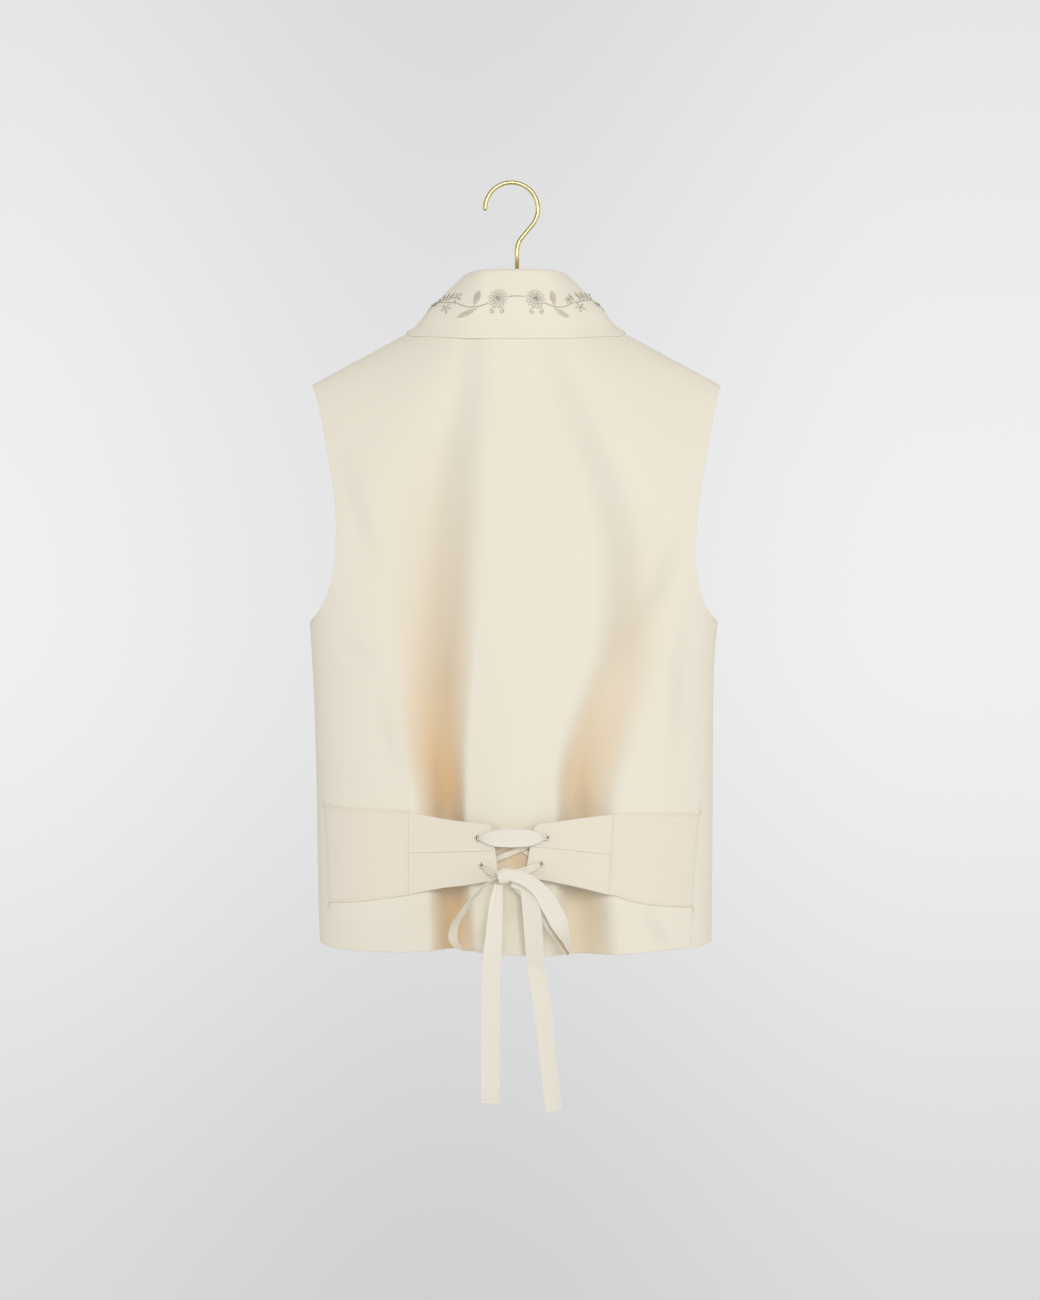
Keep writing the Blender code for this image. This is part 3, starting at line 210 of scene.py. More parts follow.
def finer(values: Sequence[float], parts: int) -> list[float]:
    """Split each step of a rising or falling list into equal parts."""
    fine = [values[0]]
    for a, b in zip(values, values[1:]):
        fine += [blend(a, b, i / parts) for i in range(1, parts + 1)]
    return fine


def bezier(a: Vector, b: Vector, c: Vector, d: Vector, t: float) -> Vector:
    """A point of a cubic curve through its four control points."""
    s = 1.0 - t
    return a * s**3 + b * (3 * s * s * t) + c * (3 * s * t * t) + d * t**3


# ---------------------------------------------------------------- the form's tables (mm)
HANDS = "z left right"
FOLD = "z centre left right depth"
BODY_RINGS = Table(
    "z left right back front",
    (-90, 240, 240, 46, 42), (-200, 240, 240, 48, 45), (-300, 229, 228, 54, 50),
    (-380, 216, 213, 58, 54), (-438, 206, 201.5, 60, 57), (-475, 203.5, 198, 60.5, 58),
    (-515, 201.5, 197, 61, 58), (-600, 199, 196.5, 63, 58), (-700, 197.5, 195.8, 65, 58),
    (-762, 195.5, 195, 66, 57),
)
SHOULDER_REACH = Table(
    "x reach",
    (0, 60), (65, 85), (120, 140), (204, 225),
)
ARMHOLE = Table(
    HANDS,
    (-438, 206, 201.5), (-430, 198.5, 194), (-420, 191, 186.5), (-400, 182.5, 180), (-380, 178.5, 177),
    (-350, 177, 177.5), (-320, 178, 180), (-300, 180.5, 183.5), (-280, 184.5, 187), (-240, 192, 195),
    (-220, 197, 199.5), (-200, 204, 205),
)
SIDE_SEAM_DEGREES = Table(
    HANDS,
    (-762, 25, 31.7), (-720, 24.6, 31.5), (-621, 21.3, 25.7), (-540, 14, 17), (-480, 6, 8),
    (-438, 0, 0),
)
LEFT_VALLEY = Table(
    FOLD,
    (-762, -59, 27, 26, 21), (-700, -62, 25, 21, 24), (-640, -65.5, 31, 19, 27),
    (-596, -67, 38, 20, 24), (-557, -70, 46, 23, 19), (-515, -71, 50, 28, 13), (-465, -70, 54, 32, 8),
    (-415, -69, 58, 36, 4.5), (-330, -66, 60, 38, 1.5), (-235, -65, 60, 35, 0), (-125, -65, 60, 30, 0),
)
RIGHT_VALLEY = Table(
    FOLD,
    (-762, 62, 28, 40, 22), (-700, 60, 24, 38, 25), (-640, 58, 20, 42, 26.5), (-596, 59, 23, 48, 23),
    (-557, 69, 27, 54, 18), (-515, 84, 30, 54, 12.5), (-465, 103, 30, 50, 8), (-415, 112, 34, 48, 4),
    (-375, 112, 36, 46, 1.5), (-310, 100, 36, 46, 0), (-125, 65, 30, 60, 0),
)
CENTRE_SWELL = Table(
    FOLD,
    (-762, -2, 60, 58, -8), (-640, -6, 58, 54, -8.5), (-560, -5, 62, 60, -6), (-465, -4, 66, 66, -3),
    (-300, -5, 70, 70, 0),
)
LEFT_LONG_FOLD = Table(
    FOLD,
    (-140, -38, 22, 24, 0), (-175, -43, 20, 24, 1.2), (-222, -48, 24, 30, 2.2),
    (-270, -55, 28, 32, 2.7), (-330, -61, 30, 33, 3.1), (-416, -67, 32, 30, 3.3),
    (-490, -71, 30, 22, 2.6), (-560, -70, 28, 16, 0),
)
RIGHT_LONG_FOLD = Table(
    FOLD,
    (-150, 30, 24, 26, 0), (-185, 40, 26, 24, 0.9), (-241, 62, 30, 28, 1.4), (-299, 85, 30, 30, 1.8),
    (-338, 96, 30, 30, 2.1), (-377, 103, 32, 30, 2.2), (-440, 105, 34, 32, 2.3), (-515, 90, 34, 34, 0),
)
LEFT_LIP = Table(
    FOLD,
    (-762, -46, 9, 8, 2), (-700, -53, 9, 8, 3), (-620, -57, 9, 8, 3.6), (-560, -56, 10, 9, 2.6),
    (-480, -52, 12, 10, 1.2), (-400, -46, 12, 10, 0),
)
RIGHT_LIP = Table(
    FOLD,
    (-762, 48, 8, 9, 1.6), (-700, 47, 8, 9, 2), (-620, 47, 9, 10, 1.4), (-575, 56, 10, 12, 0.6),
    (-520, 72, 10, 12, 0),
)
UPPER_SWELL = Table(
    FOLD,
    (-150, 2, 44, 44, 0), (-200, 3, 48, 48, -1.2), (-330, 4, 56, 60, -1.6), (-460, 0, 56, 60, 0),
)
FRONT_FOLD_LEFT = Table(
    FOLD,
    (-762, -104, 44, 36, 12), (-620, -108, 42, 34, 9), (-500, -112, 40, 34, 4), (-400, -114, 40, 34, 0),
)
FRONT_FOLD_RIGHT = Table(
    FOLD,
    (-762, 96, 38, 46, 10), (-640, 100, 36, 44, 9), (-520, 108, 34, 42, 5), (-390, 112, 34, 42, 0),
)
FRONT_EDGE = Table(
    "z x",
    (-762, -14), (-372, -14), (-360, -12), (-350, -6), (-340, 2), (-313, 12), (-270, 26), (-215, 42),
    (-165, 55.5), (-138, 62), (-125, 65),
)
HEM_LIFTS = Table(
    "x lift",
    (-196, 7), (-182, 3.4), (-120, 2), (-66, 4.4), (-32, 2.8), (0, 1), (62, -0.6), (110, 0.2),
    (150, 3.4), (178, 4.4), (196, 7.6),
)
FAINT_FOLDS = (LEFT_LONG_FOLD, RIGHT_LONG_FOLD, LEFT_LIP, RIGHT_LIP, UPPER_SWELL)
BACK_CREASES = [Crease(*row) for row in (
    (118, -712, 160, -768, 13, 1.6), (-128, -716, -160, -768, 15, -0.7), (1, -676, 9.5, -796, 5, 1.5),
    (172, -335, 112, -462, 16, 1.7), (176, -375, 119, -540, 17, -1.5), (166, -425, 154, -592, 14, 1.2),
    (-178, -250, -130, -405, 17, 1.2), (-140, -492, -104, -618, 13, 1.1),
    (-100, -420, -122, -610, 26, -1.1), (-182, -440, -128, -490, 15, 0.8),
)]
FRONT_CREASES = [Crease(*row) for row in (
    (-60, -340, -150, -455, 20, 1.5), (70, -350, 155, -470, 22, 1.7), (-60, -560, -76, -770, 24, 1.4),
    (52, -600, 60, -770, 20, 1.8), (130, -220, 150, -400, 24, 1.3), (-128, -230, -146, -390, 26, 1.2),
    (150, -600, 170, -770, 18, 1.2),
)]
# Painted warm shade in the back's valleys on each hand, and in the fronts' folds.
LEFT_SHADE_STRENGTH = ShadeStrength(most=1.06, power=0.6)
RIGHT_SHADE_STRENGTH = ShadeStrength(most=0.72, power=0.75)
FRONT_SHADE_STRENGTH = ShadeStrength(most=0.4, power=1.0)
# Share of the painted warm shade kept at each height on each hand, least just under the belt, where the
# tabs' real shadow already darkens the valleys.
FOLD_SHADE_KEPT = Table(
    HANDS,
    (-800, 0.9, 0.7), (-712, 0.85, 0.6), (-704, 0.6, 0.4), (-696, 0.25, 0.15), (-630, 0.6, 0.6),
    (-612, 0.9, 0.9), (-590, 1, 1),
)
# Painted warm shade on the cloth behind the lacing, round this middle and out to this reach.
LACED_MIDDLE = Vector((0.0, 0.0, -666.0))
LACED_REACH = 30.0
LACED_SHADE = 0.7

# ---------------------------------------------------------------- rows and columns of the panels
ROW_PARTS = 3
COLUMN_PARTS = 3
LOWER_ROWS = (-762.0, -735.0, -703.0, -668.0, -632.0, -596.0, -560.0, -520.0, -480.0, -455.0)
BACK_RISES = (0.0, 0.05, 0.11, 0.2, 0.32, 0.46, 0.6, 0.73, 0.84, 0.92, 0.97, 1.0)
FRONT_RISES = (0.0, 0.05, 0.11, 0.2, 0.32, 0.46, 0.6, 0.72, 0.82, 0.9, 0.95, 0.985, 1.0)
RIDGE_TURNS = (0.0, 0.12, 0.4, 1.0)
BACK_STRIPS = (6, 3, 3, 7, 3, 3, 6)
FRONT_SIDE_COLUMNS = 8
FRONT_MIDDLE_X = 150.0
FRONT_INNER_SHARES = (0.0, 0.13, 0.27, 0.41, 0.55, 0.695, 0.8, 0.9, 1.0)


# ---------------------------------------------------------------- the body's form
@dataclass
class BodyForm:
    """The hanging waistcoat's form: rings and a shoulder ridge, folded by listed folds."""

    rings: Table = BODY_RINGS
    reaches: Table = SHOULDER_REACH
    armhole: Table = ARMHOLE
    side_seam: Table = SIDE_SEAM_DEGREES
    left_valley: Table = LEFT_VALLEY
    right_valley: Table = RIGHT_VALLEY
    swell: Table = CENTRE_SWELL
    faint_folds: tuple[Table, ...] = FAINT_FOLDS
    front_folds: tuple[Table, Table] = (FRONT_FOLD_LEFT, FRONT_FOLD_RIGHT)
    front_edge: Table = FRONT_EDGE
    hem_lifts: Table = HEM_LIFTS
    warmth_kept: Table = FOLD_SHADE_KEPT

    def half_width(self, x: float, z: float) -> float:
        """Half width of the body on the side that x is on."""
        return self.rings.read(z, "left" if x < 0.0 else "right")

    def ridge_z(self, x: float) -> float:
        """Height of the shoulder ridge, rounded over across the neck."""
        x = abs(x)
        if x >= NECK_X:
            return NECK_Z - SHOULDER_SLOPE * (x - NECK_X)
        return NECK_Z + SHOULDER_SLOPE * (NECK_X**2 - x**2) / (2.0 * NECK_X)

    @staticmethod
    def fold_depth(fold: Table, x: float, z: float) -> float:
        """Depth of one fold at a place: a trough with its own width on each side."""
        depth = fold.read(z, "depth")
        if depth == 0.0:
            return 0.0
        offset = x - fold.read(z, "centre")
        width = fold.read(z, "right" if offset > 0.0 else "left")
        if abs(offset) >= width:
            return 0.0
        return depth * math.cos(0.5 * math.pi * offset / width) ** 2

    @staticmethod
    def crease_depth(crease: Crease, x: float, z: float) -> float:
        """Depth of one crease at a place: deepest half way along it, and gone at its ends."""
        run_x, run_z = crease.end_x - crease.start_x, crease.end_z - crease.start_z
        length = math.hypot(run_x, run_z)
        from_x, from_z = x - crease.start_x, z - crease.start_z
        along = (from_x * run_x + from_z * run_z) / length**2
        across = (from_x * run_z - from_z * run_x) / length
        if not 0.0 < along < 1.0 or abs(across) >= crease.width:
            return 0.0
        profile = math.cos(0.5 * math.pi * across / crease.width) ** 2
        return crease.depth * profile * math.sin(math.pi * along) ** 2

    def folds(self, side: Side) -> tuple[Table, ...]:
        """The folds of a side."""
        if side is Side.BACK:
            return (self.left_valley, self.right_valley, self.swell, *self.faint_folds)
        return self.front_folds

    def relief(self, x: float, z: float, side: Side, lie: Lie) -> float:
        """How far the folds and creases lift the cloth off the plain form."""
        if lie is Lie.UNFOLDED:
            return 0.0
        creases = BACK_CREASES if side is Side.BACK else FRONT_CREASES
        lift = -sum(self.fold_depth(fold, x, z) for fold in self.folds(side))
        lift -= sum(self.crease_depth(crease, x, z) for crease in creases)
        if lie is Lie.UNDER_LAP:
            lift -= LAP_DEPTH * ease(*LAP_HIDDEN_X, x) * ease(*LAP_HIDDEN_Z, z)
        return lift

    def plain_depth(self, x: float, z: float, side: Side) -> tuple[float, float, float]:
        """Depth of the unfolded form.

        Args:
            x: Place across.
            z: Height.
            side: Which half of the ring.

        Returns:
            The body's depth, the ring section's share of it and the shoulder's share of it.
        """
        depth = self.rings.read(z, side.name.lower())
        across = min(1.0, abs(x) / self.half_width(x, z))
        section = (1.0 - across**RING_POWER) ** (1.0 / RING_POWER)
        drop = max(0.0, self.ridge_z(x) - z) / self.reaches.read(abs(x), "reach")
        shoulder = math.sqrt(max(0.0, 1.0 - (1.0 - min(1.0, drop)) ** 2))
        return depth, section, shoulder

    def surface_y(self, x: float, z: float, side: Side, lie: Lie = Lie.FOLDED) -> float:
        """Y of the cloth's outer face."""
        depth, section, shoulder = self.plain_depth(x, z, side)
        return side.value * (depth * section * shoulder + self.relief(x, z, side, lie))

    def outside(self, x: float, y: float, z: float, side: Side, lie: Lie = Lie.FOLDED) -> float:
        """A value that is 0 on the cloth's outer face and grows away from the body."""
        depth, section, _ = self.plain_depth(x, z, side)
        lifted = side.value * y - self.relief(x, z, side, lie)
        drop = (self.ridge_z(x) - z) / self.reaches.read(abs(x), "reach")
        if drop >= 1.0:
            share = abs(x) / self.half_width(x, z)
            return share**RING_POWER + (abs(lifted) / depth) ** RING_POWER - 1.0
        return (lifted / (depth * max(section, SECTION_FLOOR))) ** 2 + (1.0 - drop) ** 2 - 1.0

    def slope_of(self, place: Vector, side: Side, lie: Lie = Lie.FOLDED) -> Vector:
        """Gradient of the outside value at a place."""
        h = GRADIENT_STEP
        x, y, z = place
        return Vector((
            self.outside(x + h, y, z, side, lie) - self.outside(x - h, y, z, side, lie),
            self.outside(x, y + h, z, side, lie) - self.outside(x, y - h, z, side, lie),
            self.outside(x, y, z + h, side, lie) - self.outside(x, y, z - h, side, lie),
        )) / (2.0 * h)

    def cloth_point(self, x: float, z: float, side: Side, lie: Lie = Lie.FOLDED) -> ClothPoint:
        """A point of the outer face, with the direction that leaves the body there."""
        place = Vector((x, self.surface_y(x, z, side, lie), z))
        return ClothPoint(place, self.slope_of(place, side, lie).normalized())

    def _off(self, place: Vector) -> tuple[float, Vector]:
        """Distance of a point off the body, and the direction that leaves the body there."""
        side = Side.BACK if place.y < 0.0 else Side.FRONT
        slope = self.slope_of(place, side)
        return self.outside(*place, side) / slope.length, slope.normalized()

    def keep_clear(self, place: Vector, distance: float) -> Vector:
        """Push a point away from the body until it is at least a distance off it."""
        for _ in range(CLEARING_PASSES):
            gap, leave = self._off(place)
            if gap >= distance:
                break
            place = place + leave * (distance - gap)
        return place

    def lay_on(self, place: Vector, distance: float, share: float) -> Vector:
        """Draw a point in towards a distance off the body, by a share of the way."""
        for _ in range(CLEARING_PASSES):
            gap, leave = self._off(place)
            if gap <= distance:
                break
            place = place - leave * ((gap - distance) * share)
        return place

    def angle_at(self, x: float, z: float) -> float:
        """Angle round the ring, 0 at the right side and pi at the left, for a place across it."""
        share = min(1.0, abs(x) / self.half_width(x, z)) ** (0.5 * RING_POWER)
        return math.acos(math.copysign(share, x))

    def x_at(self, angle: float, z: float) -> float:
        """Place across the ring for an angle round it."""
        turn = math.cos(angle)
        return math.copysign(abs(turn) ** (2.0 / RING_POWER), turn) * self.half_width(turn, z)

    def shoulder_seam_drop(self, x: float) -> float:
        """How far behind and below the ridge the shoulder seam lies."""
        share = (abs(x) - NECK_X) / (SHOULDER_TIP_X - NECK_X)
        return blend(SEAM_DROP_AT_NECK, SEAM_DROP_AT_TIP, min(1.0, max(0.0, share)))

    def back_top_z(self, x: float) -> float:
        """Top edge of the back: the neckline between the shoulder seams."""
        if abs(x) >= NECK_X:
            return self.ridge_z(x) - self.shoulder_seam_drop(x) - 0.5 * SEAM_GAP
        seam_end = NECK_Z - SEAM_DROP_AT_NECK - 0.5 * SEAM_GAP
        return blend(BACK_NECK_Z, seam_end, (x / NECK_X) ** 2)

    def lifted_z(self, x: float, z: float) -> float:
        """Height of a low row where the hem is not quite level."""
        return z + self.hem_lifts.read(x, "lift") * ease(HEM_LIFT_TOP_Z, HEM_Z, z)

    def seam_angles(self, z: float) -> tuple[float, float]:
        """Angles of the right and the left side seam at a height."""
        right = math.radians(self.side_seam.read(z, "right"))
        left = math.pi - math.radians(self.side_seam.read(z, "left"))
        return right, left

    def valley_angles(self, z: float, right_x: float, left_x: float) -> list[float]:
        """Angles of the lines that the back's columns follow: its edges and its valleys' sides."""
        places = [right_x]
        for valley in (self.right_valley, self.left_valley):
            centre = valley.read(z, "centre")
            places += [centre + valley.read(z, "right"), centre, centre - valley.read(z, "left")]
        return [self.angle_at(x, z) for x in [*places, left_x]]

    def strip_angles(self, features: list[float], z: float, parts: int) -> list[float]:
        """Split the strips between feature lines: by angle at the sides, else by width."""
        angles = [features[0]]
        last = len(BACK_STRIPS) - 1
        for index, strip in enumerate(BACK_STRIPS):
            start, end = features[index:index + 2]
            count = strip * parts
            for i in range(1, count + 1):
                if index in (0, last):
                    angles.append(blend(start, end, i / count))
                else:
                    x = blend(self.x_at(start, z), self.x_at(end, z), i / count)
                    angles.append(self.angle_at(x, z))
        return angles

    def edge_place(self, edge_x: Callable[[float], float], top_z: Callable[[float], float],
                   rise: float) -> float:
        """Where a rising row meets an edge.

        Args:
            edge_x: The edge's place across at a height.
            top_z: The panel's top at a place across.
            rise: The row's share of the way up from the underarm.

        Returns:
            The place across where the row ends.
        """
        x = edge_x(UNDERARM_Z)
        for _ in range(SETTLING_PASSES):
            x = edge_x(blend(UNDERARM_Z, top_z(x), rise))
        return x

    def warmth(self, place: Vector) -> float:
        """How much painted warm shade a place gets: more the deeper it lies in a valley, less near the
        belt, and some behind the lacing.
        """
        x, _, z = place
        side = Side.BACK if place.y < 0.0 else Side.FRONT
        depth = sum(self.fold_depth(fold, x, z) for fold in self.folds(side)[:2])
        if side is Side.FRONT:
            shade_strength = FRONT_SHADE_STRENGTH
        else:
            shade_strength = LEFT_SHADE_STRENGTH if x < 0.0 else RIGHT_SHADE_STRENGTH
        amount = shade_strength.most * min(1.0, depth / DEEPEST_FOLD) ** shade_strength.power
        if side is Side.BACK:
            amount *= self.warmth_kept.read(z, "left" if x < 0.0 else "right")
            off = math.hypot(x - LACED_MIDDLE.x, z - LACED_MIDDLE.z)
            amount = max(amount, LACED_SHADE * ease(LACED_REACH, 0.0, off))
        return amount

    def hollow(self, place: Vector) -> float:
        """How much painted neutral shade a place gets in the back's faint folds and creases, from 0 on
        open cloth to 1.
        """
        x, _, z = place
        if place.y > 0.0:
            return 0.0
        depth = sum(max(0.0, self.fold_depth(fold, x, z)) for fold in self.faint_folds[:2])
        depth += sum(max(0.0, self.crease_depth(crease, x, z)) for crease in BACK_CREASES)
        return min(1.0, depth / FAINT_FOLD_DEPTH)


# ---------------------------------------------------------------- making meshes
Corner = tuple[float, float]

# Names of the flat map, and of the painted shade amounts that each point of a panel keeps: warm shade
# in valleys, neutral shade in faint folds.
CLOTH_MAP = "cloth"
PAINTED_FOLD_SHADE = "warmth"
PAINTED_HOLLOW_SHADE = "hollow"

# An edge's rounding, as shares of the cloth's thickness: free edges, and those sewn in a seam.
EDGE_ROUND = 0.45
SEAM_ROUND = 0.1
# The rounding is at most this share of an edge's first cell.
EDGE_ROUND_LIMIT = 0.6
# The face stays flat up to this many roundings from an edge, or this share of its first cell.
HOLD_ROUNDS = 2.2
HOLD_LIMIT = 0.4
RIM_DEGREES = (45.0, 90.0, 135.0)
CORNER_CUT = 0.25
CORNER_PASSES = 2
# Metres, like the flat map.
RIBBON_HALF_WIDTH = 0.0095


def add_piece(name: str, mesh: Mesh, material: Material | None) -> Piece:
    """Put a mesh in the scene as a piece at the origin.

    Args:
        name: The piece's name.
        mesh: Its mesh, in metres.
        material: Its material, or None where the mesh has one already.

    Returns:
        The new object.
    """
    if material is not None:
        mesh.materials.append(material)
    mesh.shade_smooth()
    obj = bpy.data.objects.new(name, mesh)
    bpy.context.scene.collection.objects.link(obj)
    return obj


def mesh_from(name: str, vertices: Sequence[Vector], faces: Sequence[tuple[int, ...]],
              uvs: Sequence[Corner] | None = None) -> Mesh:
    """A closed mesh from points in millimetres, its faces turned outwards.

    Args:
        name: The mesh's name.
        vertices: Points in millimetres.
        faces: Corners of each face.
        uvs: Place of each point on the flat cloth, in metres, for the map named cloth.

    Returns:
        The mesh, in metres.
    """
    mesh = bpy.data.meshes.new(name)
    mesh.from_pydata([vertex * MM for vertex in vertices], [], faces)
    work = bmesh.new()
    work.from_mesh(mesh)
    bmesh.ops.recalc_face_normals(work, faces=work.faces[:])
    work.to_mesh(mesh)
    work.free()
    if uvs is not None:
        flat = mesh.uv_layers.new(name=CLOTH_MAP)
        flat.data.foreach_set("uv", [c for loop in mesh.loops for c in uvs[loop.vertex_index]])
    return mesh


def add_amount(mesh: Mesh, name: str, amounts: Sequence[float]) -> None:
    """Store a number for each point of a mesh."""
    mesh.attributes.new(name, "FLOAT", "POINT").data.foreach_set("value", amounts)


def running_lengths(places: Sequence[Vector]) -> list[float]:
    """Distance along a row of points to each of them, in metres."""
    lengths = [0.0]
    for a, b in zip(places, places[1:]):
        lengths.append(lengths[-1] + (b - a).length * MM)
    return lengths


@dataclass
class Wall:
    """A wall of cloth grown inwards from a grid of outer points, with a rounded edge all round."""

    name: str
    grid: Grid
    thickness: float
    in_seam: Callable[[int, int], bool] = lambda row, column: False

    def _round(self, row: int, column: int) -> float:
        """How far the edge is rounded at a place of the grid."""
        return self.thickness * (SEAM_ROUND if self.in_seam(row, column) else EDGE_ROUND)

    @staticmethod
    def _near(edge: ClothPoint, inner: ClothPoint, size: float) -> ClothPoint:
        """A point just inside an edge, which keeps the face flat up to its rounding."""
        share = min(HOLD_LIMIT, HOLD_ROUNDS * size / (inner.place - edge.place).length)
        out = edge.out.lerp(inner.out, share).normalized()
        return ClothPoint(edge.place.lerp(inner.place, share), out)

    def _hold_edges(self) -> tuple[Grid, list[int], list[int]]:
        """Add a row or column of points just inside every edge.

        Returns:
            The fuller grid, and the first grid's row and column for each of its own.
        """
        last_row, last_column = len(self.grid) - 1, len(self.grid[0]) - 1
        rows = []
        for i, row in enumerate(self.grid):
            first = self._near(row[0], row[1], self._round(i, 0))
            last = self._near(row[-1], row[-2], self._round(i, last_column))
            rows.append([row[0], first, *row[1:-1], last, row[-1]])
        columns = [0, 0, *range(1, last_column), last_column, last_column]
        top, foot = ([self._near(a, b, self._round(end, j)) for a, b, j in zip(edge, inner, columns)]
                     for end, edge, inner in ((0, rows[0], rows[1]), (last_row, rows[-1], rows[-2])))
        return ([rows[0], top, *rows[1:-1], foot, rows[-1]],
                [0, 0, *range(1, last_row), last_row, last_row], columns)

    @staticmethod
    def _rim(rows: int, columns: int) -> list[tuple[int, int, int, int]]:
        """Places in a grid round its edge, each with the next place in from it."""
        rim = [(0, j, 1, j) for j in range(columns)]
        rim += [(i, columns - 1, i, columns - 2) for i in range(1, rows)]
        rim += [(rows - 1, j, rows - 2, j) for j in range(columns - 2, -1, -1)]
        rim += [(i, 0, i, 1) for i in range(rows - 2, 0, -1)]
        return rim

    def mesh(self) -> Mesh:
        """Build the wall's mesh, with its flat map."""
        grid, row_of, column_of = self._hold_edges()
        rows, columns = len(grid), len(grid[0])
        rim = self._rim(rows, columns)
        places = [[point.place.copy() for point in row] for row in grid]
        steps = []
        for i, j, next_i, next_j in rim:
            step = grid[i][j].place - grid[next_i][next_j].place
            size = min(self._round(row_of[i], column_of[j]), EDGE_ROUND_LIMIT * step.length)
            steps.append(step.normalized() * size)
            places[i][j] = places[i][j] - steps[-1]
        across = running_lengths([point.place for point in grid[rows // 2]])
        down = running_lengths([row[columns // 2].place for row in grid])
        vertices, uvs = [], []
        for depth in (0.0, self.thickness):
            for i in range(rows):
                for j in range(columns):
                    vertices.append(places[i][j] - grid[i][j].out * depth)
                    uvs.append((across[j], down[i]))
        back = rows * columns
        faces = []
        for i in range(rows - 1):
            for j in range(columns - 1):
                a = i * columns + j
                face = (a, a + 1, a + columns + 1, a + columns)
                faces += [face, tuple(back + v for v in reversed(face))]
        loops = [[i * columns + j for i, j, _, _ in rim]]
        for degrees in RIM_DEGREES:
            turn = math.radians(degrees)
            loops.append(list(range(len(vertices), len(vertices) + len(steps))))
            for (i, j, _, _), step in zip(rim, steps):
                sink = 0.5 * self.thickness * (1.0 - math.cos(turn))
                vertices.append(places[i][j] - grid[i][j].out * sink + step * math.sin(turn))
                uvs.append((across[j], down[i]))
        loops.append([back + v for v in loops[0]])
        for upper, lower in zip(loops, loops[1:]):
            for k, a in enumerate(upper):
                b = upper[(k + 1) % len(upper)]
                faces.append((b, a, lower[k], lower[(k + 1) % len(lower)]))
        return mesh_from(self.name, vertices, faces, uvs)

    def build(self, material: Material, form: BodyForm | None = None) -> Piece:
        """Make the wall a piece.

        Args:
            material: The cloth.
            form: The body's form, where the cloth's painted shade follows its folds.

        Returns:
            The new object.
        """
        mesh = self.mesh()
        if form is not None:
            places = [vertex.co / MM for vertex in mesh.vertices]
            add_amount(mesh, PAINTED_FOLD_SHADE, [form.warmth(place) for place in places])
            add_amount(mesh, PAINTED_HOLLOW_SHADE, [form.hollow(place) for place in places])
        return add_piece(self.name, mesh, material)


def lathe(name: str, profile: Sequence[Corner], segments: int, place: Vector, axis: Vector,
          material: Material) -> Piece:
    """Turn a closed, or axis-to-axis, profile about an axis.

    Args:
        name: The piece's name.
        profile: Radius and height of each corner, in millimetres.
        segments: Steps round the axis.
        place: Where the profile's height is 0, in millimetres.
        axis: Which way the profile's height points.
        material: The piece's finish.

    Returns:
        The new object.
    """
    turn = Matrix.Translation(place) @ axis.to_track_quat("Z", "Y").to_matrix().to_4x4()
    closed = profile[0][0] > 0.0
    rings, vertices, faces = [], [], []
    for radius, height in profile:
        if radius == 0.0:
            rings.append([len(vertices)] * segments)
            vertices.append(turn @ Vector((0.0, 0.0, height)))
            continue
        rings.append(list(range(len(vertices), len(vertices) + segments)))
        for i in range(segments):
            angle = 2.0 * math.pi * i / segments
            place_on_ring = Vector((radius * math.cos(angle), radius * math.sin(angle), height))
            vertices.append(turn @ place_on_ring)
    pairs = list(zip(rings, rings[1:]))
    if closed:
        pairs.append((rings[-1], rings[0]))
    for lower, upper in pairs:
        for i in range(segments):
            j = (i + 1) % segments
            corners = dict.fromkeys((lower[i], lower[j], upper[j], upper[i]))
            faces.append(tuple(corners))
    return add_piece(name, mesh_from(name, vertices, faces), material)


def round_profile(corners: Sequence[Corner], closed: bool) -> list[Corner]:
    """Round a profile's corners by cutting them again and again.

    Args:
        corners: Radius and height of each corner.
        closed: Whether the profile comes back to its start.

    Returns:
        The rounded profile.
    """
    points = [Vector(corner) for corner in corners]
    for _ in range(CORNER_PASSES):
        cut = []
        last = len(points) if closed else len(points) - 1
        for i in range(last):
            a, b = points[i], points[(i + 1) % len(points)]
            cut += [a.lerp(b, CORNER_CUT), a.lerp(b, 1.0 - CORNER_CUT)]
        if not closed:
            cut = [points[0], *cut[1:-1], points[-1]]
        points = cut
    return [(point.x, point.y) for point in points]


# ---------------------------------------------------------------- node trees
Colour = tuple[float, float, float]
Span = tuple[float, float]
BLACK: Colour = (0.0, 0.0, 0.0)


